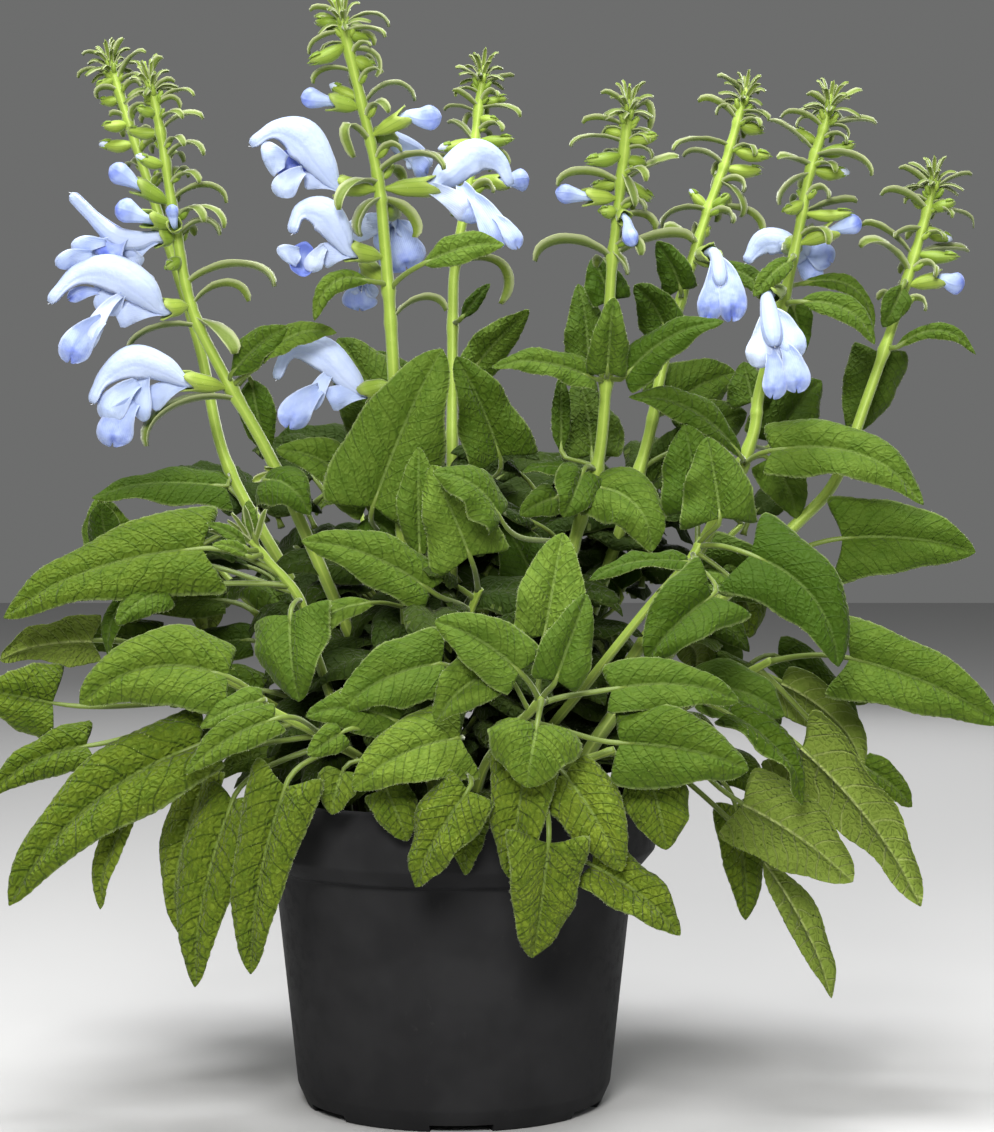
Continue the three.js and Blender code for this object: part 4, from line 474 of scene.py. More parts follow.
# ---- mesh pieces ----
class Skin:
    """Closed shells gathered into one piece: vertices in mm, faces, materials and three attributes."""

    def __init__(self):
        self.verts, self.faces, self.mats = [], [], []
        self.extra = {"form": [], "fine": [], "tone": []}
        self.count = 0

    def add(self, verts, faces, mats, form=None, fine=None, tone=(0, 0, 0)):
        verts = np.asarray(verts, float).reshape(-1, 3)
        n = len(verts)
        self.verts.append(verts)
        for f, m in zip(faces, mats):
            f = np.asarray(f, int)
            if len(f):
                self.faces.append(f + self.count)
                self.mats.append(np.broadcast_to(np.asarray(m, int), (len(f),)))
        for key, val in (("form", form), ("fine", fine), ("tone", tone)):
            val = np.zeros(3) if val is None else np.asarray(val, float)
            self.extra[key].append(np.broadcast_to(val.reshape(-1, 3), (n, 3)))
        self.count += n

    def piece(self, name, materials, slot, nodes=()):
        me = bpy.data.meshes.new(name)
        v = settle(np.concatenate(self.verts) * MM)
        me.vertices.add(len(v))
        me.vertices.foreach_set("co", v.ravel())
        sizes = np.concatenate([np.full(len(f), f.shape[1]) for f in self.faces])
        loops = np.concatenate([f.ravel() for f in self.faces])
        me.loops.add(len(loops))
        me.loops.foreach_set("vertex_index", loops)
        me.polygons.add(len(sizes))
        me.polygons.foreach_set("loop_start", np.concatenate([[0], np.cumsum(sizes)[:-1]]))
        me.polygons.foreach_set("material_index", np.concatenate(self.mats))
        me.polygons.foreach_set("use_smooth", np.ones(len(sizes), bool))
        for key, vals in self.extra.items():
            a = me.attributes.new(key, "FLOAT_VECTOR", "POINT")
            a.data.foreach_set("vector", np.concatenate(vals).ravel())
        me.update(calc_edges=True)
        me.validate()
        for m in materials:
            me.materials.append(m)
        o = bpy.data.objects.new(name, me)
        bpy.context.scene.collection.objects.link(o)
        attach(o, "root")
        if nodes:
            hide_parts(*nodes)
        return o


def grid_faces(rows, cols, start=0, flip=False):
    i, j = np.meshgrid(np.arange(rows - 1), np.arange(cols - 1), indexing="ij")
    a = (i * cols + j).ravel() + start
    q = np.stack([a, a + cols, a + cols + 1, a + 1], axis=1)
    return q[:, ::-1] if flip else q


def border(rows, cols):
    """The vertices round a grid, in order, as seen from its face."""
    top = np.arange(cols)
    right = np.arange(1, rows) * cols + cols - 1
    low = (rows - 1) * cols + np.arange(cols - 2, -1, -1)
    left = np.arange(rows - 2, 0, -1) * cols
    return np.concatenate([top, right, low, left])


def plate(skin, top, under, mats, form, fine, tone):
    """A closed sheet with a face, an underside and a rim. mats: face, underside, rim."""
    rows, cols = top.shape[:2]
    n = rows * cols
    ring = border(rows, cols)
    nxt = np.roll(ring, -1)
    rim = np.stack([ring, nxt, nxt + n, ring + n], axis=1)
    verts = np.concatenate([top.reshape(-1, 3), under.reshape(-1, 3)])
    both = [np.concatenate([a.reshape(-1, 3)] * 2) if np.ndim(a) > 1 else a for a in (form, fine, tone)]
    skin.add(verts, [grid_faces(rows, cols), grid_faces(rows, cols, n, True), rim], mats, *both)


def tube(skin, rings, mat, form=None, fine=None, tone=(0, 0, 0)):
    """A closed tube through rings of equal count, with a low cone on each end."""
    rings = np.asarray(rings, float)
    rows, cols = rings.shape[:2]
    i, j = np.meshgrid(np.arange(rows - 1), np.arange(cols), indexing="ij")
    a, b = (i * cols + j).ravel(), (i * cols + (j + 1) % cols).ravel()
    sides = np.stack([a, b, b + cols, a + cols], axis=1)
    n = rows * cols
    ends = np.array([rings[0].mean(axis=0), rings[-1].mean(axis=0)])
    k = np.arange(cols)
    cap0 = np.stack([(k + 1) % cols, k, np.full(cols, n)], axis=1)
    last = (rows - 1) * cols
    cap1 = np.stack([last + k, last + (k + 1) % cols, np.full(cols, n + 1)], axis=1)
    centre = rings.mean(axis=(0, 1))
    verts = np.concatenate([rings.reshape(-1, 3), ends])
    # faces out: the signed volume decides
    tri = np.concatenate([sides[:, [0, 1, 2]], sides[:, [0, 2, 3]], cap0, cap1])
    p = verts[tri] - centre
    if np.sum(p[:, 0] * np.cross(p[:, 1], p[:, 2])) < 0:
        sides, cap0, cap1 = sides[:, ::-1], cap0[:, ::-1], cap1[:, ::-1]

    def spread(val):
        if val is None or np.ndim(val) < 2:
            return val
        val = np.asarray(val, float)
        if val.ndim == 2:
            val = np.repeat(val[:, None, :], cols, axis=1)
        return np.concatenate([val.reshape(-1, 3), val[0, :1], val[-1, :1]])
    skin.add(verts, [sides, cap0, cap1], [mat] * 3, spread(form), spread(fine), spread(tone))


def sections(points, side, half, breadth, cols, phase=0.5, shape=None):
    """Rings round a curve: half height along T x B, half breadth along B."""
    T = tangents(points)
    B = perp(side, T)
    N = np.cross(T, B)
    a = (np.arange(cols) + phase) / cols * 2 * np.pi
    grow = np.ones(cols) if shape is None else shape(a)
    half = np.broadcast_to(np.asarray(half, float), (len(points),))
    breadth = np.broadcast_to(np.asarray(breadth, float), (len(points),))
    return (points[:, None] + N[:, None] * (half[:, None] * np.cos(a) * grow)[..., None]
            + B[:, None] * (breadth[:, None] * np.sin(a) * grow)[..., None])


def hairs(skin, roots, ways, length, radius, mat, rng, bend=0.3):
    """Fine cones standing on roots along ways."""
    n = len(roots)
    if n == 0:
        return
    ways = unit(ways + rng.normal(0, bend, (n, 3)))
    a = perp(vec(0.31, 0.22, 0.92), ways)
    b = np.cross(ways, a)
    size = length * rng.uniform(0.6, 1.15, (n, 1))
    low = roots - ways * 0.05
    ring = [low + a * radius * math.cos(t) + b * radius * math.sin(t) for t in (0, 2.094, 4.189)]
    tip = roots + ways * size
    verts = np.stack([*ring, tip], axis=1).reshape(-1, 3)
    k = np.arange(n)[:, None] * 4
    tri = np.concatenate([k + [0, 1, 3], k + [1, 2, 3], k + [2, 0, 3], k + [2, 1, 0]])
    skin.add(verts, [tri], [mat])


# ---- leaves ----
OUTLINE = {
    H: [[0, 0, 0], [0.015, -0.03, 0.34], [0.05, -0.085, 0.74], [0.10, -0.085, 0.985], [0.16, 0.03, 0.97],
        [0.25, 0.20, 0.885], [0.36, 0.34, 0.83], [0.55, 0.55, 0.70], [0.75, 0.75, 0.49], [0.88, 0.885, 0.30],
        [0.96, 0.965, 0.14], [1, 1, 0]],
    C: [[0, 0, 0], [0.015, -0.03, 0.30], [0.05, -0.055, 0.66], [0.10, -0.045, 0.89], [0.18, 0.10, 0.985],
        [0.32, 0.29, 0.98], [0.53, 0.53, 0.84], [0.74, 0.74, 0.58], [0.88, 0.885, 0.35], [0.96, 0.965, 0.165],
        [1, 1, 0]],
    O: [[0, 0, 0], [0.06, 0.035, 0.30], [0.14, 0.12, 0.62], [0.28, 0.27, 0.90], [0.44, 0.44, 1.0],
        [0.62, 0.62, 0.89], [0.78, 0.78, 0.66], [0.91, 0.91, 0.36], [0.975, 0.98, 0.14], [1, 1, 0]],
}


class Blade:
    """A leaf blade's rib, with its side and facing vectors."""

    def __init__(self, base, tip, roll, arch):
        chord = tip - base
        self.L = np.linalg.norm(chord)
        m = chord / self.L
        mid = (base + tip) / 2
        r = math.hypot(mid[0], mid[1]) + 1e-6
        up = unit(vec(0.6 * mid[0] / r, 0.6 * mid[1] / r, 1))
        n0 = perp(vec(0, -1, 0.02), m)
        u0 = np.cross(n0, m)
        if u0 @ up < 0:
            u0 = -u0
        a = math.radians(roll)
        face = n0 * math.cos(a) + u0 * math.sin(a)
        bow = perp(up, m)
        self.base, self.tip, self.ctrl = base, tip, mid + bow * (2 * arch * self.L)
        self.side = np.cross(m, face)

    def point(self, t):
        t = np.asarray(t, float)[..., None]
        return self.base * (1 - t) ** 2 + self.ctrl * (2 * t * (1 - t)) + self.tip * t ** 2

    def frame(self, t):
        t = np.clip(np.asarray(t, float), 0, 1)[..., None]
        T = unit((self.ctrl - self.base) * (1 - t) + (self.tip - self.ctrl) * t)
        S = perp(self.side, T)
        return T, S, np.cross(S, T)


TOP, UNDER, STALK, BRACT, CUP, TIP = range(6)


def ripple(x, y, rng, scale, terms=3):
    """A smooth random field of about one unit over a leaf, its waves some scale mm long."""
    total = 0
    for _ in range(terms):
        turn, phase, size = rng.uniform(0, 6.283), rng.uniform(0, 6.283), scale * rng.uniform(0.7, 1.5)
        total = total + np.sin((x * math.cos(turn) + y * math.sin(turn)) * 6.283 / size + phase)
    return total / terms ** 0.5


def petiole(skin, fuzz, rng, f, root, base, along, rnd, reach_tone):
    """The leaf's stalk: leaves the stem upwards, swings into line with the midrib and sinks into it."""
    T0, S0, N0 = (a[0] for a in f.frame(np.array([0.0])))
    reach = np.linalg.norm(base - root)
    c1 = root + (base - root) * 0.36 + along * min(0.16 * reach, 2.6)
    c2 = base - T0 * 0.30 * reach
    t = np.linspace(0, 1, 25)[:, None]
    bend = root * (1 - t) ** 3 + c1 * 3 * t * (1 - t) ** 2 + c2 * 3 * t * t * (1 - t) + base * t ** 3
    pts = np.concatenate([bend, [f.point([0.05])[0] - N0 * 0.25, f.point([0.12])[0] - N0 * 0.45]])
    pts = resample(pts, int(np.clip(reach / 2.8, 7, 20)))
    g = np.linspace(0, 1, len(pts))
    thickness = np.interp(g, [0, 0.10, 0.85, 0.95, 1], [1.75, 1.25, 1.05, 0.8, 0.35])
    a = (np.arange(8) + 0.5) / 8 * 2 * np.pi
    gutter = 1 - 0.20 * np.clip(np.cos(a), 0, 1) ** 3
    T = tangents(pts)
    B = perp(S0, T)
    N = np.cross(B, T)
    N = N * np.sign(np.sum(N * N0, axis=1, keepdims=True) + 1e-9)
    rings = (pts[:, None] + N[:, None] * (thickness[:, None] * 0.86 * np.cos(a) * gutter)[..., None]
             + B[:, None] * (thickness[:, None] * np.sin(a))[..., None])
    tone = np.stack([np.clip(reach_tone + 0.15 * g, 0, 1), np.full_like(g, rnd), g], axis=1)
    form = np.zeros(rings.shape)
    form[..., 0] = 0.5
    tube(skin, rings, STALK, form, rings, tone)
    if fuzz is not None:
        n = int(reach * 0.8)
        pick = rng.integers(1, len(pts) - 1, n), rng.integers(0, 8, n)
        start = rings[pick]
        hairs(fuzz, start, unit(start - pts[pick[0]]), 0.8, 0.04, 0, rng)


# shade darkens the leaf's colour as painted shade; the default 0.75 paints it dark
def leaf(skin, fuzz, rng, root, base, tip, width, roll, arch, fold, kind, age, size=1.25, lively=1.0,
         along=None, shade=0.75):
    f = Blade(base, tip, roll, arch)
    L, half = f.L, width / 2
    keys = np.array(OUTLINE[kind], float)
    keys[0, 2] = min(0.3, 0.9 / half)
    dense = spline(keys, np.linspace(0, 1, 200))
    run = np.concatenate([[0], np.cumsum(np.hypot(np.diff(dense[:, 1]) * L, np.diff(dense[:, 2]) * half))])
    rows = int(np.clip(run[-1] / size, 12, 84))
    want = np.linspace(0, run[-1], rows + 1)
    tr, tm, w = (np.interp(want, run, dense[:, k]) for k in range(3))
    tr[-1], tm[-1], w[-1] = 1, 1, 0.02
    cols = int(np.clip(half / size, 3, 15))
    s1 = np.linspace(0, 1, cols + 1)
    if fuzz is not None:
        s1 = np.sort(np.concatenate([s1, [min(0.9 / half, 0.5 / cols)], [1 - 0.3 / cols]]))
    s = np.concatenate([-s1[:0:-1], s1])
    sign = np.sign(s)[None, :]
    share = np.abs(s)[None, :] * np.ones((rows + 1, 1))
    wh = (w * half)[:, None]
    # uneven halves with a finely scalloped margin
    ph = rng.uniform(0, 6.283, 8)
    uneven = [1 + 0.045 * np.sin(7.0 * tr + ph[q]) + 0.03 * np.sin(17.0 * tr + ph[q + 2]) for q in (0, 1)]
    scallop = ((np.abs(np.sin(want / 2.7 * np.pi + ph[4])) ** 0.6 - 0.6) * 0.42
               + rng.uniform(-0.12, 0.12, rows + 1))
    scallop = scallop * smooth_step(w, 0.05, 0.35) * lively
    wide = wh * share * np.where(sign > 0, uneven[0][:, None], uneven[1][:, None])
    wide = wide + scallop[:, None] * (share > 0.999)
    twist = lively * rng.uniform(-0.34, 0.34) * (tr - 0.2)
    T, S0, N0 = f.frame(tr)
    ca, sa = np.cos(twist)[:, None], np.sin(twist)[:, None]
    S, N = S0 * ca + N0 * sa, N0 * ca - S0 * sa
    run_along = tr[:, None] + (tm - tr)[:, None] * share
    x_mm, y_mm = run_along * L, wide * sign
    lat = np.abs(y_mm)
    # each half: folded up from the rib, bulging, then its margin waved and rolled under
    extra = rng.uniform(-0.08, 0.24, 2) * lively
    z = np.where(sign > 0, fold + extra[0], fold + extra[1]) * wh * share
    z = z + rng.uniform(0.10, 0.20) * wh * (1 - (2 * share - 1) ** 2)
    roll_under = np.where(sign > 0, rng.uniform(0.02, 0.26), rng.uniform(0.02, 0.26)) * lively
    z = z - roll_under * wh * share ** 4
    waves = rng.uniform(1.1, 2.5, 2)
    wave_amp = lively * min(0.17 * half, 2.9) * rng.uniform(0.5, 1.15, 2)
    wave = np.where(sign > 0, wave_amp[0] * np.sin(waves[0] * 6.283 * run_along + ph[5]),
                    wave_amp[1] * np.sin(waves[1] * 6.283 * run_along + ph[6]))
    z = z + wave * share ** 1.7 * smooth_step(w, 0.0, 0.5)[:, None]
    z = z - rng.uniform(0.02, 0.10) * L * lively * (smooth_step(run_along, 0.62, 1.0) ** 1.5)
    # side veins curve to the margin; the blade puffs up between them
    pitch = max(3.4, L / 9.0)
    warp = 0.16 * ripple(x_mm, y_mm, rng, 15.0)
    phase = (x_mm - 0.58 * lat - 0.022 * lat ** 2) / pitch + 0.4 * (sign > 0) + warp
    cross = ((lat + 0.30 * x_mm) / (pitch * 0.60) + np.floor(phase) * 0.37
             + 0.25 * ripple(x_mm, y_mm, rng, 8.0))
    f1, f2 = phase - np.floor(phase), cross - np.floor(cross)
    cell = np.sin(np.pi * f1) ** 0.7 * (0.45 + 0.55 * np.sin(np.pi * f2) ** 0.6)
    inner = smooth_step(lat, 0.4, 2.4) * smooth_step((1 - share) * wh, 0.1, 2.0)
    quilt = (0.42 + 1.0 * age) * min(1.0, pitch / 5.5)
    z = z + quilt * cell * inner + (0.03 + 0.07 * age) * ripple(x_mm, y_mm, rng, 3.4) * inner
    rib = np.exp(-(lat / 0.85) ** 2) * (1 - run_along) ** 0.6
    z = z - 0.45 * rib
    P = f.point(tr)
    back = (run_along - tr[:, None])[..., None] * L * T[:, None]
    top = P[:, None] + back + S[:, None] * y_mm[..., None] + N[:, None] * z[..., None]
    vein = np.exp(-(np.minimum(f1, 1 - f1) * pitch / 0.6) ** 2) * inner
    thick = lerp(0.42, 0.20, share ** 3)
    low = thick + 0.9 * rib * (1 - 0.5 * run_along) + 0.34 * vein * (1 - 0.5 * share)
    under = top - N[:, None] * low[..., None]
    form = np.stack([phase, s[None, :] * np.ones_like(z), run_along], axis=-1)
    shift = rng.uniform(0, 300, 2)
    fine = np.stack([x_mm + shift[0], y_mm + shift[1], lat], axis=-1)
    rnd = rng.uniform(0, 1)
    # painted light: the leaves near the front of the clump, where the lamps light it most, are painted paler
    lit_front = smooth_step(-base[1], 10.0, 70.0) * (1 - smooth_step(abs(base[0] + 30.0), 70.0, 150.0))
    tone = vec(age, 0.40 * rnd + (0.20 + 0.16 * age) * lit_front, shade)
    plate(skin, top, under, [TOP, UNDER, UNDER], form, fine, np.broadcast_to(tone, form.shape))
    petiole(skin, fuzz, rng, f, root, base, vec(0, 0, 1) if along is None else along, rnd,
            0.28 if fuzz is not None else 0.1)
    if fuzz is not None:
        for edge in (0, -1):
            line = top[:, edge] * 0.5 + under[:, edge] * 0.5
            away = unit(line - (top[:, edge - 1 if edge else 1] + under[:, edge - 1 if edge else 1]) * 0.5)
            n = int(run[-1] * 0.8)
            g = rng.uniform(1, rows - 0.01, n)
            i = g.astype(int)
            t = (g - i)[:, None]
            j = np.minimum(i + 1, rows)
            hairs(fuzz, line[i] * (1 - t) + line[j] * t, away[i], 0.66, 0.06, 0, rng, 0.4)


# ---- bracts, calyces, hoods and lips ----
def strap(skin, fuzz, rng, root, c1, c2, tip, width, side, tint, size=1.3):
    """A narrow bract that arches over: folded a little along its rib and hairy along its edges."""
    t = np.linspace(0, 1, 60)[:, None]
    line = root * (1 - t) ** 3 + c1 * (3 * t * (1 - t) ** 2) + c2 * (3 * t ** 2 * (1 - t)) + tip * t ** 3
    run = np.concatenate([[0], np.cumsum(np.linalg.norm(np.diff(line, axis=0), axis=1))])
    rows = int(np.clip(run[-1] / (size * 1.45), 8, 17))
    want = np.linspace(0, run[-1], rows + 1)
    p = np.stack([np.interp(want, run, line[:, k]) for k in range(3)], axis=1)
    g = want / run[-1]
    T = tangents(p)
    S = perp(side, T)
    N = np.cross(S, T)
    w = width / 2 * np.interp(g, [0, 0.12, 0.4, 0.7, 0.9, 1], [0.34, 0.62, 1.0, 0.98, 0.78, 0.36])
    s = np.array([-1, -0.55, 0, 0.55, 1.0])
    cup = rng.uniform(0.30, 0.70)
    turn = rng.uniform(-0.9, 0.9) * (g - 0.1)
    ca, sa = np.cos(turn)[:, None], np.sin(turn)[:, None]
    S, N = S * ca + N * sa, N * ca - S * sa
    z = cup * w[:, None] * np.abs(s) ** 1.6 - 0.16 * (np.abs(s) < 0.1)
    z = z + 0.10 * np.sin(want * 2.1 + rng.uniform(0, 6))[:, None] * np.abs(s)
    top = p[:, None] + S[:, None] * (w[:, None] * s)[..., None] + N[:, None] * z[..., None]
    thick = 0.34 + 0.34 * (np.abs(s) < 0.1) - 0.14 * (np.abs(s) > 0.9)
    under = top - N[:, None] * np.broadcast_to(thick, z.shape)[..., None]
    form = np.stack([np.broadcast_to(g[:, None] * 4, z.shape), np.broadcast_to(s, z.shape),
                     np.broadcast_to(g[:, None], z.shape)], axis=-1)
    fine = np.stack([want[:, None] + 0 * z, w[:, None] * s, np.abs(w[:, None] * s)],
                    axis=-1) + rng.uniform(0, 200)
    tone = np.broadcast_to(vec(tint, rng.uniform(), rng.uniform()), form.shape)
    plate(skin, top, under, [BRACT, BRACT, BRACT], form, fine, tone)
    if fuzz is not None:
        for edge, way in ((0, -1), (-1, 1)):
            e = (top[:, edge] + under[:, edge]) / 2
            n = int(run[-1] * 0.9)
            k = rng.uniform(0.6, rows - 0.01, n)
            i = k.astype(int)
            f = (k - i)[:, None]
            j = np.minimum(i + 1, rows)
            hairs(fuzz, e[i] * (1 - f) + e[j] * f, way * S[i], 0.62, 0.038, 0, rng, 0.4)
        n = int(run[-1] * 0.6)
        i = rng.integers(1, rows, n)
        hairs(fuzz, p[i] - N[i] * 0.6, -N[i], 0.6, 0.035, 0, rng, 0.5)


def hook(skin, fuzz, rng, root, tip, rise, width, tint=0.5):
    m = unit(tip - root)
    up = vec(0, 0, 1)
    if abs(m[2]) > 0.9:
        bow = unit(vec(math.copysign(1, m[0] if m[0] else 1), 0, 0.2))
    else:
        bow = perp(up, m)
    side = unit(np.cross(m, bow))
    c1 = lerp(root, tip, 0.30) + bow * rise * 1.25
    c2 = lerp(root, tip, 0.92) + bow * rise * 1.45
    strap(skin, fuzz, rng, root, c1, c2, tip, width, side, tint)


def bell(skin, fuzz, rng, root, mouth, radius, teeth=0.30, tint=0.6, mat=CUP):
    """An open calyx: a ribbed bell on a short stalk, its mouth cut into pointed teeth."""
    axis = unit(mouth - root)
    L = np.linalg.norm(mouth - root)
    side = perp(vec(0, 1, 0.12), axis)
    other = np.cross(axis, side)
    cols = 24
    a = np.arange(cols) / cols * 2 * np.pi
    g = np.array([0, 0.10, 0.24, 0.36, 0.5, 0.68, 0.84, 1.0])
    prof = np.array([0.20, 0.22, 0.42, 0.70, 0.88, 0.96, 1.02, 1.10])
    ribs = 1 + 0.045 * np.cos(10 * a)
    # two lips: one broad tooth above, two below
    cut = np.maximum(np.cos(1.5 * (a - np.pi / 2)) ** 2, 0.0) ** 0.7
    reach = teeth * L
    rings = []
    for k in range(len(g)):
        r = radius * prof[k] * (ribs if prof[k] > 0.3 else 1)
        stretch = (g[k] ** 3) * reach * (cut - 0.35)
        centre = root + axis * (L * g[k])
        flare = 1 + 0.10 * (g[k] > 0.95) * cut
        rings.append(centre + axis * np.asarray(stretch)[:, None] * np.ones((cols, 1))
                     + (side * np.cos(a)[:, None] + other * np.sin(a)[:, None])
                     * (np.ones(cols) * r * flare)[:, None])
    inside = []
    for k in range(len(g) - 1, 2, -1):
        r = radius * prof[k] * ribs - 0.28
        stretch = (g[k] ** 3) * reach * (cut - 0.35)
        centre = root + axis * (L * g[k] - (0.05 if k == len(g) - 1 else 0.0))
        inside.append(centre + axis * stretch[:, None]
                      + (side * np.cos(a)[:, None] + other * np.sin(a)[:, None]) * r[:, None])
    rings = np.array(rings + inside)
    form = np.zeros(rings.shape)
    form[..., 0] = a[None, :] * 10 / 6.2832
    form[..., 2] = np.concatenate([g, g[:2:-1]])[:, None]
    fine = rings + rng.uniform(0, 100)
    tone = np.broadcast_to(vec(tint, rng.uniform(), rng.uniform()), rings.shape)
    tube(skin, rings, mat, form, fine, tone)
    if fuzz is not None:
        n = int(L * radius * 0.9)
        i, j = rng.integers(2, len(g), n), rng.integers(0, cols, n)
        start = rings[i, j]
        centre = root + axis * (L * g[i])[:, None]
        hairs(fuzz, start, unit(start - centre), 0.65, 0.036, 0, rng, 0.35)


def pod(skin, fuzz, rng, root, tip, width, tint=0.55, ripe=False):
    """A shut calyx: spindle with ribs and pursed teeth; on riper ones a white bud shows between them."""
    axis = unit(tip - root)
    L = np.linalg.norm(tip - root)
    side = perp(vec(0, 1, 0.12), axis)
    other = np.cross(axis, side)
    cols = 12
    a = np.arange(cols) / cols * 2 * np.pi
    g = np.array([0, 0.08, 0.2, 0.36, 0.54, 0.7, 0.83, 0.93, 1.0])
    prof = np.array([0.22, 0.30, 0.62, 0.92, 1.0, 0.86, 0.62, 0.40, 0.12])
    curl = perp(vec(0, 0, 1), axis) if abs(axis[2]) < 0.97 else side
    lobes = 1 + 0.05 * np.cos(8 * a) + 0.22 * np.cos(2 * a)[None, :] ** 2 * (g[:, None] > 0.8)
    rings = []
    for k in range(len(g)):
        c = root + axis * (L * g[k]) - curl * (0.06 * L * math.sin(math.pi * g[k]))
        r = width / 2 * prof[k] * lobes[k]
        rings.append(c + side * (np.cos(a) * r)[:, None] + other * (np.sin(a) * r * 0.86)[:, None])
    rings = np.array(rings)
    form = np.zeros(rings.shape)
    form[..., 0] = a[None, :] * 8 / 6.2832
    form[..., 2] = g[:, None]
    tube(skin, rings, CUP, form, rings + rng.uniform(0, 90),
         np.broadcast_to(vec(tint, rng.uniform(), rng.uniform()), rings.shape))
    if ripe:
        g2 = np.linspace(0, 1, 7)
        line = root + axis * (L * 0.72) + axis * np.outer(g2, [0.36 * L])
        r2 = width * 0.30 * np.array([0.8, 0.95, 1.05, 1.05, 0.9, 0.6, 0.2])
        pale = np.zeros((7, 3))
        pale[:, 2] = 0.9 - 0.5 * g2
        tube(skin, sections(line, side, r2, r2, 12), TIP, np.zeros((7, 3)), line, pale)
    # pursed teeth, spreading a little past the tip
    for q in range(3):
        ang = q * 2.094 + rng.uniform(-0.3, 0.3)
        out = side * math.cos(ang) + other * math.sin(ang)
        b0 = root + axis * (L * 0.72) + out * width * 0.30
        b1 = root + axis * (L * (1.02 + 0.06 * rng.uniform())) + out * width * (0.12 + 0.10 * rng.uniform())
        line = np.array([b0, lerp(b0, b1, 0.5) + out * width * 0.08, b1])
        tube(skin, sections(line, np.cross(axis, out), [0.30, 0.26, 0.05],
                            [width * 0.22, width * 0.16, 0.05], 6), CUP,
             None, None, (tint, 0.4, 0.5))
    if fuzz is not None:
        n = int(L * 1.6)
        i, j = rng.integers(1, len(g), n), rng.integers(0, cols, n)
        hairs(fuzz, rings[i, j], unit(rings[i, j] - rings[i].mean(axis=1)), 0.55, 0.036, 0, rng, 0.4)


PETAL, THROAT, STAMEN = 0, 1, 2
A = "apron"


def hood(skin, rng, mouth_pts, radii, hood_pts, sizes, side, closed_share, bud=False, slim=False):
    """A flower's tube that opens out below into an arching hood, its edges rolled in a little."""
    pts = np.concatenate([mouth_pts, hood_pts])
    halves = np.concatenate([[[r, r] for r in radii], sizes])
    count = int(np.clip(np.sum(np.linalg.norm(np.diff(pts, axis=0), axis=1)) / 1.2, 14, 34))
    full = resample(np.concatenate([pts, halves], axis=1), count)
    p = full[:, :3]
    run = np.concatenate([[0], np.cumsum(np.linalg.norm(np.diff(p, axis=0), axis=1))])
    g = run / run[-1]
    blunt = (2.5 * np.sqrt(np.clip(1 - (np.maximum(g - 0.945, 0) / 0.055) ** 2, 0.02, 1))[:, None]
             * (0 if bud or slim else 1))
    h = np.maximum(full[:, 3:], np.maximum(0.25, blunt))
    if slim:
        h = h * np.sqrt(np.clip(1 - (np.maximum(g - 0.55, 0) / 0.45) ** 2, 0.01, 1))[:, None]
    T = tangents(p)
    B = perp(side, T)
    N = np.cross(T, B)
    # the ridge of the hood lies on the outside of its bend
    bend = p[len(p) // 2] - (p[0] + p[-1]) / 2
    if np.sum(N * bend, axis=1).mean() < 0:
        N = -N
    cols = 20
    if bud:
        a = np.arange(cols) / cols * 2 * np.pi
        wrap = 1 + 0.07 * np.cos(3 * a[None, :] + 5.5 * g[:, None] + rng.uniform(0, 6))
        h[:, :] *= (1 - 0.0 * g)[:, None]
        rings = (p[:, None] + N[:, None] * (h[:, :1] * np.cos(a) * wrap)[..., None]
                 + B[:, None] * (h[:, 1:] * np.sin(a) * wrap)[..., None])
        form = np.zeros(rings.shape)
        form[..., 0] = a[None, :]
        form[..., 1] = 0.7 * np.cos(a)[None, :]
        form[..., 2] = g[:, None]
        tone = np.zeros(rings.shape)
        tone[..., 0] = smooth_step(g, 0.35, 1.0)[:, None] * 0.9
        tone[..., 1] = rng.uniform()
        tube(skin, rings, PETAL, form, rings + rng.uniform(0, 99), tone)
        return p, T, B, N
    # opening angle from the ridge, on each side
    phi = (np.pi - 0.02 - smooth_step(g, closed_share, closed_share + 0.14) * 0.72
           - smooth_step(g, 0.55, 1.0) * 0.35)
    s = np.linspace(-1, 1, cols + 1)
    a = phi[:, None] * s
    flatten = 1 + 0.0 * a
    frill = (0.24 * np.sin(g * 34 + rng.uniform(0, 6))[:, None] * (np.abs(s) > 0.95)
             * smooth_step(g, closed_share, 1)[:, None])
    hh = h[:, :1] * flatten * (1 + 0.05 * np.cos(3 * a))
    top = (p[:, None] + N[:, None] * (hh * np.cos(a))[..., None]
           + B[:, None] * ((h[:, 1:] + frill) * np.sin(a))[..., None])
    # margins flare out where the hood opens
    open_ = smooth_step(g, closed_share, closed_share + 0.2)[:, None] * smooth_step(np.abs(s), 0.7, 1.0)
    top = (top - N[:, None] * (0.35 * h[:, :1] * open_)[..., None]
           + B[:, None] * (0.10 * h[:, 1:] * open_ * np.sign(s))[..., None])
    inward = unit(p[:, None] - top + 1e-9)
    under = top + inward * 0.26
    form = np.stack([np.broadcast_to(a * 1.0, hh.shape), np.broadcast_to(s, hh.shape),
                     np.broadcast_to(g[:, None], hh.shape)], axis=-1)
    tone = np.zeros(form.shape)
    tone[..., 1] = rng.uniform()
    tone[..., 2] = 0.35 * rng.uniform() * (1 - 0.6 * g[:, None])
    plate(skin, top, under, [PETAL, THROAT, PETAL], form, top + rng.uniform(0, 99), tone)
    return p, T, B, N


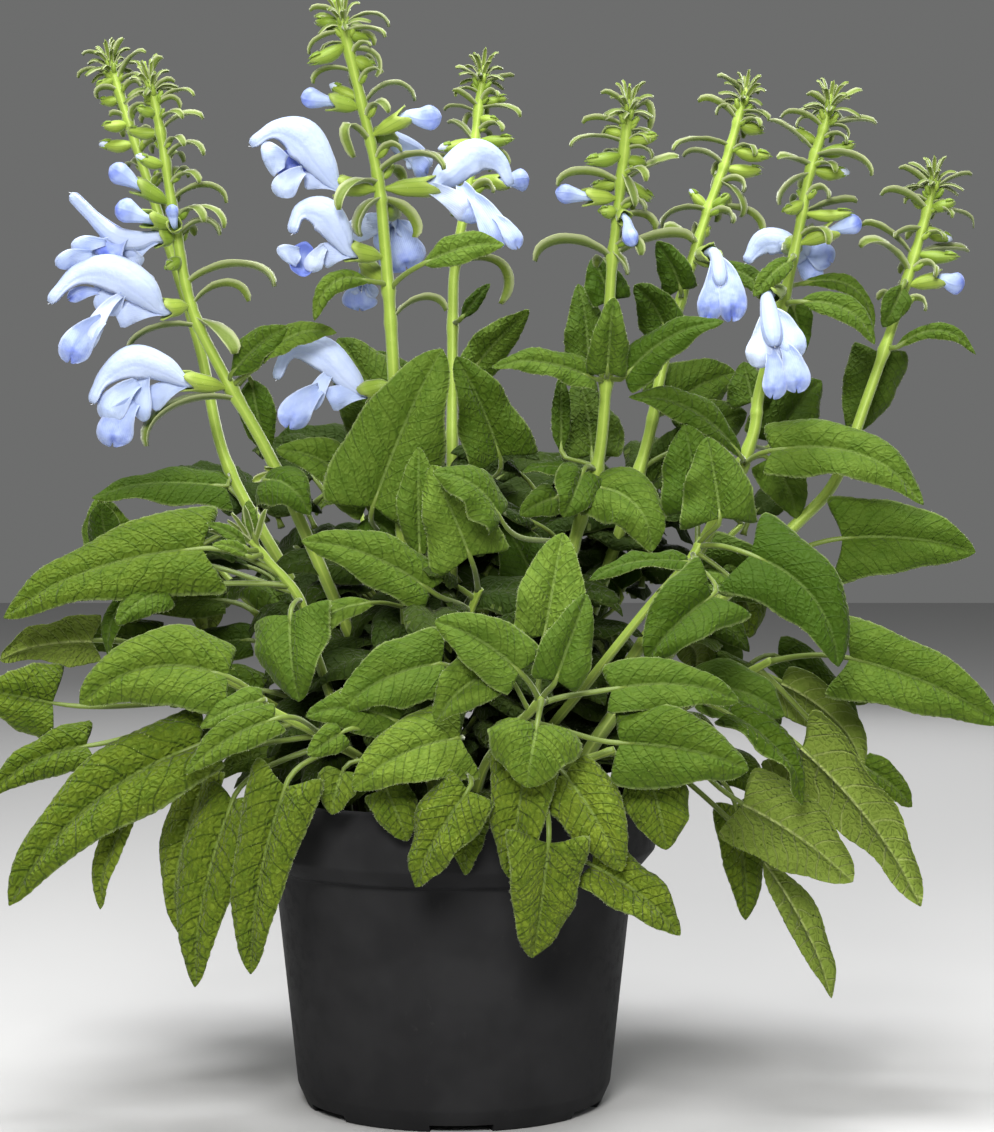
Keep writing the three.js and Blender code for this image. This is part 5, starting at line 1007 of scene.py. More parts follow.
def lip(skin, rng, base, tip, width, roll, arch, kind, deep_blue=0.0):
    """A lower-lip petal: a gutter-like claw that widens to a domed, shallowly notched lobe."""
    f = Blade(base, tip, roll, arch)
    L, half = f.L, width / 2
    rows = int(np.clip(L / 0.95, 12, 28))
    cols = int(np.clip(half / 0.7, 5, 9))
    t = np.linspace(0, 1, rows + 1) ** 0.9
    if kind == A:
        prof = np.interp(t, [0, 0.3, 0.7, 0.9, 1], [0.42, 0.62, 0.92, 1.0, 0.8])
    elif kind == R:
        prof = np.interp(t, [0, 0.15, 0.35, 0.55, 0.68, 0.80, 0.89, 0.955, 0.985, 1],
                         [0.34, 0.48, 0.72, 0.93, 1.0, 0.96, 0.80, 0.56, 0.36, 0.2])
    else:
        prof = np.interp(t, [0, 0.12, 0.35, 0.58, 0.78, 0.90, 0.97, 1],
                         [0.36, 0.56, 0.90, 1.0, 0.88, 0.64, 0.36, 0.18])
    s = np.linspace(-1, 1, 2 * cols + 1)
    T, S, N = f.frame(t)
    P = f.point(t)
    ph = rng.uniform(0, 6.28, 3)
    notch = (0.09 * L * (deep_blue > 0.4) * np.exp(-(s / 0.26) ** 2)
             * smooth_step(t, 0.72, 1.0)[:, None] * (kind == R))
    wave = np.sin(t[:, None] * 9 + ph[0] + 1.2 * s) * 0.6 + np.sin(s * 4.5 + ph[1]) * 0.4
    edge = np.clip(smooth_step(np.abs(s), 0.4, 1.0) + smooth_step(t, 0.75, 1.0)[:, None] * 0.7, 0, 1)
    z = 0.17 * half * wave * edge * smooth_step(t, 0.3, 0.7)[:, None]
    gutter = (1 - smooth_step(t, 0.1, 0.5))[:, None] * 0.9 * (prof * half)[:, None] * s ** 2
    dome = smooth_step(t, 0.35, 0.8)[:, None] * (0.45 * (prof * half))[:, None] * (0.35 - s ** 2)
    furrow = -0.05 * half * np.exp(-(s / 0.16) ** 2) * smooth_step(t, 0.3, 0.6)[:, None] * (kind == R)
    z = z + gutter + dome + furrow - 0.10 * L * smooth_step(t, 0.72, 1.0)[:, None] ** 2
    y = (prof * half)[:, None] * s
    top = P[:, None] - T[:, None] * notch[..., None] + S[:, None] * y[..., None] + N[:, None] * z[..., None]
    under = top - N[:, None] * 0.26
    form = np.stack([y * 1.2, np.broadcast_to(s, y.shape), np.broadcast_to(t[:, None], y.shape)], axis=-1)
    tone = np.zeros(form.shape)
    tone[..., 0] = np.clip(deep_blue * (0.45 + 0.75 * smooth_step(t, 0.3, 0.9)[:, None])
                           * (0.7 + 0.3 * np.exp(-(s / 0.4) ** 2)), 0, 1)
    tone[..., 1] = rng.uniform()
    tone[..., 2] = 0.5 * rng.uniform() * (deep_blue < 0.3)
    plate(skin, top, under, [PETAL, PETAL, PETAL], form, top + rng.uniform(0, 99), tone)


def lobe(skin, rng, centre, across, tall, spin, yaw, pitch, cup, blue):
    """A rounded lobe that looks towards the front: a bowl, coloured inside like the throat."""
    n = vec(0, -1, 0)
    a, e = math.radians(yaw), math.radians(pitch)
    n = vec(math.sin(a) * math.cos(e), -math.cos(a) * math.cos(e), math.sin(e))
    e1 = unit(np.cross(vec(0, 0, 1), -n))
    e2 = np.cross(-n, e1)
    e2 = e2 if e2[2] > 0 else -e2
    c, q = math.cos(math.radians(spin)), math.sin(math.radians(spin))
    e1, e2 = e1 * c + e2 * q, e2 * c - e1 * q
    m = 15
    u, v = np.meshgrid(np.linspace(-1, 1, m), np.linspace(-1, 1, m), indexing="ij")
    x, y = u * np.sqrt(1 - v * v / 2), v * np.sqrt(1 - u * u / 2)
    r, th = np.hypot(x, y), np.arctan2(y, x)
    ph = rng.uniform(0, 6.28, 3)
    grow = 1 + r ** 2 * (0.05 * np.cos(2 * th + ph[0]) + 0.035 * np.cos(5 * th + ph[1]))
    size = min(across, tall)
    z = (cup * size * (r ** 2 - 1) + 0.10 * size * r ** 3 * np.sin(3 * th + ph[2])
         + 0.05 * size * r ** 4 * np.sin(7 * th + ph[0]))
    top = centre + (x * grow * across)[..., None] * e1 + (y * grow * tall)[..., None] * e2 + z[..., None] * n
    if cup > 0:
        top = top + n * cup * size * 0.5
    under = top - n * 0.27 - (centre - top) * 0.0
    form = np.stack([x * across * 1.1, u, 1 - r], axis=-1)
    tone = np.zeros(form.shape)
    tone[..., 0] = blue * (1 - 0.55 * r ** 2)
    tone[..., 1] = rng.uniform()
    # keep the front outwards
    if np.cross(top[1, 0] - top[0, 0], top[0, 1] - top[0, 0]) @ n > 0:
        top, under, form, tone = (k[::-1] for k in (top, under, form, tone))
    plate(skin, top, under, [THROAT if cup > 0.45 else PETAL, PETAL, PETAL], form, top + rng.uniform(0, 99),
          tone)


# ---- every stem with its leaves, bracts and calyces ----
leaf_skins, fuzz_skins, rngs = {}, {}, {}
for i, name in enumerate(stems):
    leaf_skins[name], fuzz_skins[name] = Skin(), Skin()
    rngs[name] = np.random.default_rng(400 + i)

marks = {name: [] for name in stems}      # shares of each stem's run where leaves or bracts leave it


def mark(name, p):
    s = stems[name]
    marks[name].append(int(np.argmin(np.linalg.norm(s.dense - p, axis=1))) / STEPS)


for stem, v, bu, bv, bd, tu, tv, td, w, roll, arch, fold, kind in LEAVES:
    s, rng, deep = stems[stem], rngs[stem], lean(stem, v)
    bases = [at(bu, bv, bd + deep) + np.array(b) * 0.6 for b in BENDS]
    tips = [at(tu, tv, td + deep) + np.array(b) for b in BENDS]
    pick = placed(stem, tips)
    if pick is None:
        continue
    root = s.at_line(v)
    mark(stem, root)
    width = w * DIV * (EYE_Y + (bd + td) / 2 + deep) / EYE_Y
    low = float(smooth_step(max(bv, tv), 690, 930))
    outer = float(smooth_step(-min(bu, tu), -150, 20)) * float(smooth_step(max(bv, tv), 560, 660))
    age = 0.10 + 0.75 * max(low, 0.85 * outer)
    kind2 = kind if kind != R else C
    # painted shade: leaves further back in the clump are painted darker, standing in for the shade of those
    # in front of them
    shade = float(np.clip(0.10 + 0.0055 * (bd + td) / 2 + rng.uniform(-0.22, 0.22), 0, 0.5))
    leaf(leaf_skins[stem], fuzz_skins[stem], rng, root, bases[pick], tips[pick], width, roll, arch, fold,
         kind2,
         min(1.0, age + rng.uniform(-0.06, 0.06)), size=1.7 if w >= 56 else 1.55, shade=shade)

for stem, v, tu, tv, dd, rise, w in BRACTS:
    s, rng = stems[stem], rngs[stem]
    root = s.at_line(v + 2)
    tips = [at(tu, tv, root[1] + dd + h) for h in HOOKS]
    pick = placed(stem, tips)
    if pick is None:
        continue
    mark(stem, root)
    hook(leaf_skins[stem], fuzz_skins[stem], rng, root, tips[pick], rise * DIV, w * DIV * 1.28,
         0.35 + 0.4 * rng.uniform())

for stem, v, tu, tv, dd, w in CALYCES:
    s, rng = stems[stem], rngs[stem]
    root = s.at_line(v - 3)
    tips = [at(tu, tv, root[1] + dd + h) for h in HOOKS]
    pick = placed(stem, tips)
    if pick is None:
        continue
    mark(stem, root)
    ripe = s.lines.min() + 70 < v and rng.uniform() < 0.4
    pod(leaf_skins[stem], fuzz_skins[stem], rng, root, tips[pick], w * DIV * 1.3, 0.5 + 0.3 * rng.uniform(),
        ripe)


# leaves in opposite pairs on the back shoots and low on the back of the flowering stems
seed = 20.0


def pair_random():
    global seed
    seed = math.fmod(seed * 1103515245.0 + 12345.0, 2147483648.0)
    return seed / 2147483648.0


pair_rows = []
for name, *_ in BACK_SHOOTS:
    for j in range(2):
        share = 0.46 + 0.32 * j
        turn = (j % 2) * math.pi / 2 + pair_random() * 0.5
        for way in (0, math.pi):
            pair_rows.append([name, share, turn + way, 50 + 14 * pair_random() - 5 * j,
                              33 + 6 * pair_random() - 3.4 * j, pair_random()])
    pair_rows.append([name, 1, pair_random() * 6, 26, 13, pair_random()])
for name, *_ in STEMS:
    if LEAN[name] > 20:
        share = stems[name].share(185 + 8 * pair_random())
        pair_rows.append([name, share, 1.3 + 0.5 * pair_random(), 44 + 12 * pair_random(),
                          26 + 6 * pair_random(), pair_random()])

for name, share, turn, length, width, wild in pair_rows:
    s, rng = stems[name], rngs[name]
    root = spline(s.path, share)[0]
    out = vec(math.cos(turn), math.sin(turn), 0)
    ends = []
    for b in BENDS:
        base = root + out * (9 + 5 * wild) + vec(0, 0, 5) + np.array(b) * 0.6
        tip = (root + out * (9 + 5 * wild + length * 0.93) + vec(0, 0, 5 - length * (0.1 + 0.4 * wild))
               + np.array(b))
        ends.append((base, tip))
    pick = placed(name, [e[1] for e in ends])
    if pick is None:
        continue
    base, tip = ends[pick]
    m = unit(tip - base)
    n0, u0 = perp(vec(0, -1, 0.02), m), perp(vec(0, 0, 1), m)
    roll = math.degrees(math.acos(max(-1, min(1, n0 @ u0)))) + 20 * (wild - 0.5)
    mark(name, root)
    # painted shade: shade 0.3 paints these back leaves darker
    leaf(leaf_skins[name], fuzz_skins[name], rng, root, base, tip, width, roll, 0.14, 0.0, C,
         0.35 + 0.4 * wild, size=2.1, shade=0.3)


# ---- flowering spikes: more bracts and young calyces round each stem than the solids need ----
def spike(name, rng):
    s, skin, fuzz = stems[name], leaf_skins[name], fuzz_skins[name]
    run = np.concatenate([[0], np.cumsum(np.linalg.norm(np.diff(s.dense, axis=0), axis=1))])
    total = run[-1]
    down, step, k = 19.0, 4.4, 0
    while down < 78:
        share = (total - down) / total
        i = int(np.searchsorted(run, share * total))
        i = min(max(i, 1), 399)
        p, axis = s.dense[i], unit(s.dense[i + 1] - s.dense[i - 1])
        side = perp(vec(1, 0, 0), axis)
        other = np.cross(axis, side)
        grow = down / 78
        near_tip = down < 22
        turn = k * math.pi / 2 + rng.uniform(-0.35, 0.35)
        for q in (0, math.pi) if near_tip or k % 2 else (0,):
            ang = turn + q
            if not near_tip:
                # behind the stem, or beside it in front
                ang = (math.pi / 2 + rng.uniform(-0.75, 0.75) if q == 0
                       else -math.pi / 2 + (1 if k % 2 else -1) * rng.uniform(0.75, 1.15))
            out = side * math.cos(ang) + other * math.sin(ang)
            L = 8.6 + 7.0 * grow ** 0.7 + rng.uniform(-0.9, 0.9)
            root = p + out * 0.7
            if near_tip:
                tip = root + out * L * 0.85 + axis * L * (0.75 - 0.055 * down)
            else:
                tip = root + out * L * 0.92 + axis * L * rng.uniform(-0.15, 0.25)
            rise = L * rng.uniform(0.30, 0.5)
            m = unit(tip - root)
            bow = perp(axis if abs(m @ axis) < 0.95 else out, m)
            c1 = lerp(root, tip, 0.30) + bow * rise * 0.9
            c2 = lerp(root, tip, 0.92) + bow * rise * 1.15
            strap(skin, fuzz, rng, root, c1, c2, tip, 2.5 + 2.9 * grow, unit(np.cross(m, bow)),
                  0.35 + 0.3 * rng.uniform(), 1.1)
            if down > 4 and rng.uniform() < 0.9:
                l2 = 3.6 + 5.2 * grow + rng.uniform(-0.5, 0.5)
                lean_out = out * l2 * (0.62 + 0.3 * grow) + axis * l2 * 0.62
                tilt = rng.uniform(-0.25, 0.25)
                pod(skin, fuzz, rng, p + out * 0.6 + axis * 0.6,
                    p + out * 0.6 + axis * 0.6 + lean_out + np.cross(axis, out) * tilt * l2,
                    1.7 + 2.1 * grow, 0.5 + 0.3 * rng.uniform())
        down += step + 5.0 * grow
        k += 1
    # the growing point: a tuft of young bracts round a cone of the smallest buds
    top = s.dense[-1]
    axis = unit(s.dense[-1] - s.dense[-8])
    side = perp(vec(1, 0, 0), axis)
    other = np.cross(axis, side)
    for q in range(18):
        ang = q * 2.4 + rng.uniform(-0.25, 0.25)
        out = side * math.cos(ang) + other * math.sin(ang)
        ring = q // 6
        L = (11.2, 11.2, 11.0)[ring] + rng.uniform(-0.9, 0.9)
        wide, high, down = ((0.46, 0.97, 10.4), (0.84, 0.66, 11.2), (1.02, 0.22, 13.2))[ring]
        wide = wide + rng.uniform(-0.22, 0.12)
        root = top - axis * (down + 0.3 * (q % 6)) + out * 0.5
        c1 = root + axis * L * (0.26 + 0.2 * high) + out * L * 0.22 * wide
        c2 = root + axis * L * (0.14 + 0.94 * high) + out * L * wide * 0.60
        tip = root + out * L * wide + axis * L * (high - 0.10 * ring)
        strap(skin, fuzz, rng, root, c1, c2, tip, 2.0 + 0.2 * ring, unit(np.cross(axis, out)),
              0.75 - 0.15 * ring, 0.9)
    for q in range(11):
        ang = q * 2.4 + 0.9
        out = side * math.cos(ang) + other * math.sin(ang)
        foot = top - axis * (9.4 + 0.8 * q) + out * 0.5
        pod(skin, None, rng, foot, foot + out * (0.6 + 0.32 * q) + axis * (5.4 - 0.1 * q), 2.3 + 0.08 * q,
            0.95)


for name, *_ in STEMS:
    spike(name, rngs[name])

# a fan of narrow young leaves opens near the end of one front shoot
rng = np.random.default_rng(61)


def sprig(name, root, turn, ahead, L, width, tint):
    """One young leaf from root, turned so many degrees from upright across the front."""
    a = math.radians(turn)
    way = unit(vec(math.sin(a), ahead, math.cos(a)))
    side = perp(vec(math.cos(a), 0, -math.sin(a)), way)
    start, tip = root + way * 1.0, root + way * L + vec(0, 0, -0.08 * L)
    strap(leaf_skins[name], fuzz_skins[name], rng, start, start + way * L * 0.35, start + way * L * 0.8,
          tip, width, side, tint, 1.3)


for q in range(10):
    root = stems["shoot_b"].dense[-1 - int(rng.uniform(8, 44))]
    sprig("shoot_b", root, -70 + 9.5 * q + rng.uniform(-4, 4), rng.uniform(-0.45, 0.1), rng.uniform(13, 22),
          rng.uniform(2.0, 3.3),
          rng.uniform(0.0, 0.5))
# bright young leaves crowd the joint below the second stem's flowers
for turn, L, width in ((96, 11, 3.6), (-100, 12, 3.6), (158, 13, 4.2), (62, 8, 3.2), (-58, 7, 3.0),
                       (-150, 9, 3.4)):
    sprig("stem_2", stems["stem_2"].at_line(474), turn + rng.uniform(-6, 6), rng.uniform(-0.7, -0.3), L,
          width, 1.0)


def stem_tube(name, rng):
    s = stems[name]
    run = np.linalg.norm(np.diff(s.dense, axis=0), axis=1).sum()
    n = int(run / 2.4)
    share = np.linspace(0, 1, n)
    p = spline(s.path, share)
    r = lerp(s.r0, s.r1, share)
    for m in marks[name]:
        r = r * (1 + 0.16 * np.exp(-((share - m) * run / 2.6) ** 2))
    r = np.minimum(r, lerp(s.r0, s.r1, share) * 1.38)
    if name in [row[0] for row in STEMS]:
        r = r * lerp(0.28, 1.0, smooth_step((1 - share) * run, 6, 18))
    square = lambda a: 1.0 + 0.075 * np.cos(4 * a) + 0.02 * np.cos(8 * a)
    cols = 12
    T = tangents(p)
    B = perp(vec(1, 0, 0), T)
    N = np.cross(T, B)
    a = (np.arange(cols) + 0.5) / cols * 2 * np.pi
    grow = square(a + 0.4)
    rings = (p[:, None] + N[:, None] * (r[:, None] * np.cos(a) * grow)[..., None]
             + B[:, None] * (r[:, None] * np.sin(a) * grow)[..., None])
    node = np.zeros(n)
    for m in marks[name]:
        node = np.maximum(node, np.exp(-((share - m) * run / 2.4) ** 2))
    tone = np.stack([lerp(0.55, 1.0, smooth_step(p[:, 2], 150, 300)), node, share], axis=1)
    tone = np.repeat(tone[:, None, :], cols, axis=1)
    form = np.zeros(rings.shape)
    form[..., 0] = a[None, :] * 4 / 6.2832
    form[..., 2] = share[:, None]
    tube(leaf_skins[name], rings, STALK, form, rings + rng.uniform(0, 50), tone)
    k = int(run * 1.3)
    i, j = rng.integers(2, n - 1, k), rng.integers(0, cols, k)
    keep = p[i][:, 2] > COMPOST_TOP + 8
    i, j = i[keep], j[keep]
    slide = rng.uniform(0, 1, (len(i), 1))
    hairs(fuzz_skins[name], rings[i, j] * (1 - slide) + rings[i - 1, j] * slide, unit(rings[i, j] - p[i]),
          0.7, 0.036, 0, rng, 0.3)


for name in stems:
    stem_tube(name, rngs[name])

# ---- flowers and buds ----
# Lobes of the lower lip read off the layout sheet: bloom, across, down, depth, half width, half height, spin,
# yaw, pitch, cup (a dome below 0), blue.
LOBES = [
    ["bloom_1", 114, 248, -42, 20, 10, -8, 0, 40, -0.35, 0.9],
    ["bloom_1", 85, 249, -45, 10, 9, 20, -30, 10, -0.4, 0.1],
    ["bloom_1", 70, 264, -46, 11, 9, 0, -30, -20, 0.3, 0.3],
    ["bloom_1", 98, 268, -38, 22, 13, -16, -10, 20, -0.3, 0.15],
    ["bloom_1", 133, 262, -34, 15, 12, 10, 10, 0, -0.3, 0.05],
    ["bloom_2", 80, 350, -52, 15, 17, 10, -12, 0, 0.25, 0.75],
    ["bloom_2", 98, 332, -50, 9, 21, -36, 10, 0, -0.3, 0.0],
    ["bloom_2", 78, 298, -41, 10, 7, 0, 0, -20, 0.3, 0.9],
    ["bloom_2", 112, 306, -42, 15, 12, -24, 0, 0, -0.3, 0.1],
    ["bloom_1", 146, 284, -33, 13, 11, 16, 14, 0, -0.35, 0.0],
    ["bloom_1", 112, 284, -38, 16, 9, 0, -8, 10, -0.3, 0.1],
    ["bloom_3", 116, 409, -46, 17, 13, 8, -10, 25, -0.45, 0.0],
    ["bloom_3", 119, 434, -45, 19, 14, 0, 0, -20, 0.35, 0.7],
    ["bloom_3", 146, 403, -43, 8, 21, -28, 22, 0, -0.25, 0.05],
    ["bloom_4", 274, 163, -48, 9, 17, 12, -22, 0, -0.3, 0.0],
    ["bloom_4", 292, 166, -41, 17, 14, 0, 10, 0, 0.5, 1.0],
    ["bloom_4", 291, 186, -48, 19, 8, 14, 0, -20, -0.3, 0.05],
    ["bloom_5", 303, 261, -44, 14, 16, 0, 12, 12, 0.65, 0.5],
    ["bloom_5", 291, 258, -49, 6, 14, 16, -25, 0, -0.3, 0.0],
    ["bloom_5", 318, 262, -47, 15, 6, 32, 0, -30, -0.3, 0.1],
    ["bloom_9", 470, 212, -30, 15, 12, -20, 0, -10, 0.35, 0.3],
    ["bloom_9", 492, 232, -36, 21, 11, -28, 10, -10, -0.35, 0.35],
    ["bloom_9", 512, 240, -38, 12, 9, -30, 20, 0, 0.3, 0.5],
    ["bloom_10", 298, 416, -36, 17, 15, 0, -8, 0, 0.3, 0.65],
    ["bloom_10", 319, 396, -32, 9, 17, -40, 10, 0, -0.3, 0.1],
    ["bloom_11", 708, 298, -13, 14, 24, -6, -12, 0, -0.5, 0.95],
    ["bloom_11", 727, 297, -15, 15, 25, 8, 14, 0, -0.5, 0.9],
    ["bloom_12", 808, 274, 11, 11, 14, 10, 0, 0, 0.3, 0.5],
    ["bloom_12", 821, 259, 9, 12, 15, -20, 20, 0, -0.4, 0.6],
    ["bloom_13", 757, 350, -40, 12, 19, 14, -20, 0, -0.4, 0.0],
    ["bloom_13", 786, 343, -40, 12, 21, -16, 20, 0, -0.4, 0.0],
    ["bloom_13", 771, 384, -45, 12, 15, 16, -10, 0, -0.35, 0.8],
    ["bloom_13", 793, 378, -45, 13, 16, -20, 12, 0, -0.35, 0.75],
    ["bloom_13", 771, 346, -40, 9, 22, 0, 0, 0, -0.5, 0.25],
]
bloom_skins = {}
for number, (name, stem, v, mu, mv, md, hood_rows, across, petals) in enumerate(BLOOMS):
    rng = np.random.default_rng(900 + number)
    s, deep = stems[stem], lean(stem, v)
    root, mouth = s.at_line(v), at(mu, mv, md + deep)
    axis = unit(mouth - root)
    radius = 3.0
    bell(leaf_skins[stem], fuzz_skins[stem], rng, root, mouth, radius + CUP_WALL)
    side = vec(1, 0, 0.1) if across else vec(0, 1, 0.12)
    r = radius - 0.5
    skin = bloom_skins[name] = Skin()
    pts = np.array([at(q[0], q[1], q[2] + deep) for q in hood_rows])
    sizes = np.array([[q[3] * 0.98, q[4] * 1.02] for q in hood_rows])
    n = np.linspace(0, 1, len(sizes))[:, None]
    sizes = sizes * (0.8 if name == "bloom_1" else 1.0)
    sizes = sizes * (0.60 + 0.5 * n if across else 1.06 + 0.22 * np.sin(np.pi * n ** 0.8))
    start = np.array([mouth - axis * (CUP_DEPTH - 0.6), mouth + axis * (TOOTH + 0.6)])
    p, T, B, N = hood(skin, rng, start, [r * 0.74, r], pts, sizes, side, 0.30 if not across else 0.5,
                      slim=bool(across))
    mine = [row[1:] for row in LOBES if row[0] == name]
    throat = p[int(0.36 * len(p))] - N[int(0.36 * len(p))] * 1.2
    bowl = any(row[8] > 0.45 for row in mine)
    if mine and not across:
        # the tube's lower side, widening towards the lip
        middle = np.mean([at(row[0], row[1], row[2] + deep) for row in mine], axis=0)
        far = lerp(mouth, middle, 0.66) + vec(0, 1.6, 0)
        lip(skin, rng, mouth + axis * 0.6 - vec(0, 0, 0.8), far, 10.5, 0, 0.08, A, 0.25)
    for u, v2, d, hw, hh, spin, yaw, pitch, cup, blue in mine:
        centre = at(u, v2, d + deep)
        if cup > 0.45:
            lobe(skin, rng, centre, hw * DIV, hh * DIV, spin, yaw, pitch, cup, blue)
            continue
        way = unit((centre - throat) * vec(1, 0, 1))
        q = math.radians(spin)
        e1, e2 = vec(math.cos(q), 0, math.sin(q)), vec(-math.sin(q), 0, math.cos(q))
        long_ = math.hypot((way @ e1) * hw, (way @ e2) * hh) * DIV
        broad = math.hypot((way @ e2) * hw, (way @ e1) * hh) * DIV
        tip = centre + way * long_ * 0.92
        gap = np.linalg.norm(tip - throat)
        start = throat + (centre - throat) * max(0.0, 1 - (1.7 if bowl else 2.8) * long_ / gap)
        lip(skin, rng, start, tip, 2 * broad, yaw * 0.8 + pitch * 0.3, 0.10, R, blue)
    for bu, bv, bd, tu, tv, td, w, roll, arch, kind in petals if not mine else []:
        base, tip = at(bu, bv, bd + deep), at(tu, tv, td + deep)
        m = unit(tip - base)
        lip(skin, rng, base - m * 1.5, tip, w * DIV * 1.04, roll, arch, kind, 0.7 if kind == R else 0.25)
        if kind == R:
            # the side lobes of the lip stand either side of the throat
            S = Blade(base, tip, roll, arch).side
            for way in (-1, 1):
                foot = base + m * 0.4 + S * way * 0.6
                end = base + m * (0.42 * np.linalg.norm(tip - base)) + S * way * w * DIV * 0.42
                end = end + B[len(p) // 2] * way * 0.5
                lip(skin, rng, foot, end, w * DIV * 0.40, roll, 0.12, O, 0.15)
    # style, just clear of the hood's beak
    e = p[-1]
    d = unit(p[-1] - p[-4])
    line = np.array([p[-6] - N[-6] * 0.2, p[-3] - N[-3] * 0.4, e - N[-1] * 0.3 + d * 0.3,
                     e + d * 0.9 + N[-1] * 0.2])
    line = resample(line, 9)
    tube(skin, sections(line, B[-1], np.linspace(0.22, 0.13, 9), np.linspace(0.22, 0.13, 9), 6), STAMEN)

for number, (name, stem, v, mu, mv, md, tu, tv, td, r) in enumerate(BUDS):
    rng = np.random.default_rng(950 + number)
    s, deep = stems[stem], lean(stem, v)
    root, mouth, tip = s.at_line(v), at(mu, mv, md + deep), at(tu, tv, td + deep)
    axis = unit(mouth - root)
    radius = min(2.6, max(r * 0.62, 1.9))
    bell(leaf_skins[stem], fuzz_skins[stem], rng, root, mouth, radius + CUP_WALL)
    rr = radius - 0.5
    start = np.array([mouth - axis * (CUP_DEPTH - 0.6), mouth + axis * (TOOTH + 0.6)])
    pts = np.array([lerp(mouth, tip, 0.45), lerp(mouth, tip, 0.72), lerp(mouth, tip, 0.92), tip])
    sizes = np.array([[lerp(rr, r, 0.6), lerp(rr, r, 0.5)], [r, r * 0.9], [r * 0.62, r * 0.55], [0.3, 0.3]])
    skin = bloom_skins[name] = Skin()
    hood(skin, rng, start, [rr * 0.74, rr], pts, sizes, vec(0, 1, 0.12), 0, bud=True)

# ---- the crowded young and shaded leaves inside the clump ----
inner_skin = Skin()
rng = np.random.default_rng(77)


def inner_leaf(height, turn, foot, reach, length, drop, age, centre=(-4, 4)):
    out = vec(math.cos(turn), 0.8 * math.sin(turn), 0)
    root = out * foot + vec(*centre, height - 14)
    base = root + out * reach + vec(0, 0, 9)
    sway = np.cross(out, vec(0, 0, 1)) * rng.uniform(-0.5, 0.5)
    tip = base + unit(out + vec(0, 0, -drop) + sway) * length
    m = unit(tip - base)
    n0, u0 = perp(vec(0, -1, 0.02), m), perp(vec(0, 0, 1), m)
    roll = math.degrees(math.acos(max(-1, min(1, n0 @ u0)))) * 0.7 + rng.uniform(-12, 12)
    # painted shade: these leaves keep leaf()'s default shade of 0.75, which paints them dark
    leaf(inner_skin, None, rng, root, base, tip, length * rng.uniform(0.56, 0.68), roll, 0.13,
         rng.uniform(-0.1, 0.15),
         C if rng.uniform() < 0.75 else O, age, size=3.4)


GOLDEN = 2.39996            # the golden angle, which spreads leaves evenly round the clump
LOW_LEAVES, TALL_LEAVES = 128, 78

for k in range(LOW_LEAVES):
    level = (k + 0.5) / LOW_LEAVES
    inner_leaf(141 + 86 * level + rng.uniform(-5, 5), k * GOLDEN + rng.uniform(-0.3, 0.3),
               10 + 34 * rng.uniform(), rng.uniform(9, 18),
               rng.uniform(34, 56) * (1 - 0.25 * level), rng.uniform(-0.15, 0.65), 0.25 + 0.45 * (1 - level))
# taller ones, behind the show side
for k in range(TALL_LEAVES):
    level = (k + 0.5) / TALL_LEAVES
    inner_leaf(214 + 58 * level, rng.uniform(-0.3, math.pi + 0.3), 6 + 46 * rng.uniform(),
               rng.uniform(6, 14), rng.uniform(32, 46),
               rng.uniform(-0.5, 0.3), 0.15, (rng.uniform(-70, 96), rng.uniform(18, 52)))

# shaded leaves that fill the sides of the clump, read off the layout sheet: base across, down and depth,
# tip the same, width, roll, age
for bu, bv, bd, tu, tv, td, w, roll, age in (
    (112, 548, -14, 103, 503, -20, 42, 15, 0.2), (222, 600, 6, 126, 622, 2, 48, 35, 0.5),
    (156, 640, 0, 66, 652, -4, 44, 35, 0.6),
    (302, 752, -26, 212, 776, -34, 42, 30, 0.5), (196, 742, -10, 106, 768, -18, 46, 40, 0.6),
    (262, 690, 0, 168, 704, -6, 52, 35, 0.5),
    (336, 800, -16, 258, 850, -28, 46, 25, 0.6), (160, 560, 12, 76, 588, 10, 40, 40, 0.3),
    (250, 640, 14, 172, 664, 10, 46, 30, 0.4),
    (778, 656, 6, 858, 744, 2, 50, 30, 0.5), (716, 668, 0, 786, 722, -6, 46, 40, 0.4),
    (702, 756, -4, 774, 802, -14, 46, 35, 0.6),
    (728, 560, 16, 792, 604, 14, 44, 25, 0.3), (690, 610, 10, 752, 650, 8, 46, 30, 0.4),
    (800, 700, 10, 872, 700, 8, 40, 40, 0.5)):
    base, tip = at(bu, bv, bd), at(tu, tv, td)
    root = base + unit(vec(AXIS_X, 0, base[2]) - base) * 15 - vec(0, 0, 6)
    # painted shade: shade 0.3 paints these side leaves darker
    leaf(inner_skin, None, rng, root, base, tip, w * DIV, roll, 0.10, rng.uniform(-0.1, 0.15), C, age,
         size=2.6, shade=0.3)


# ---- pot and compost ----
def round_profile(profile, radius=0.8, steps=4):
    """The profile with its corners eased by short arcs."""
    out = [profile[0]]
    for a, b, c in zip(profile, profile[1:], profile[2:]):
        a, b, c = map(np.array, (a, b, c))
        la, lc = np.linalg.norm(a - b), np.linalg.norm(c - b)
        r = min(radius, la * 0.45, lc * 0.45)
        p, q = b + (a - b) / la * r, b + (c - b) / lc * r
        for t in np.linspace(0, 1, steps + 1):
            out.append(tuple(p * (1 - t) ** 2 + b * 2 * t * (1 - t) + q * t * t))
    out.append(profile[-1])
    return np.array(out, float)


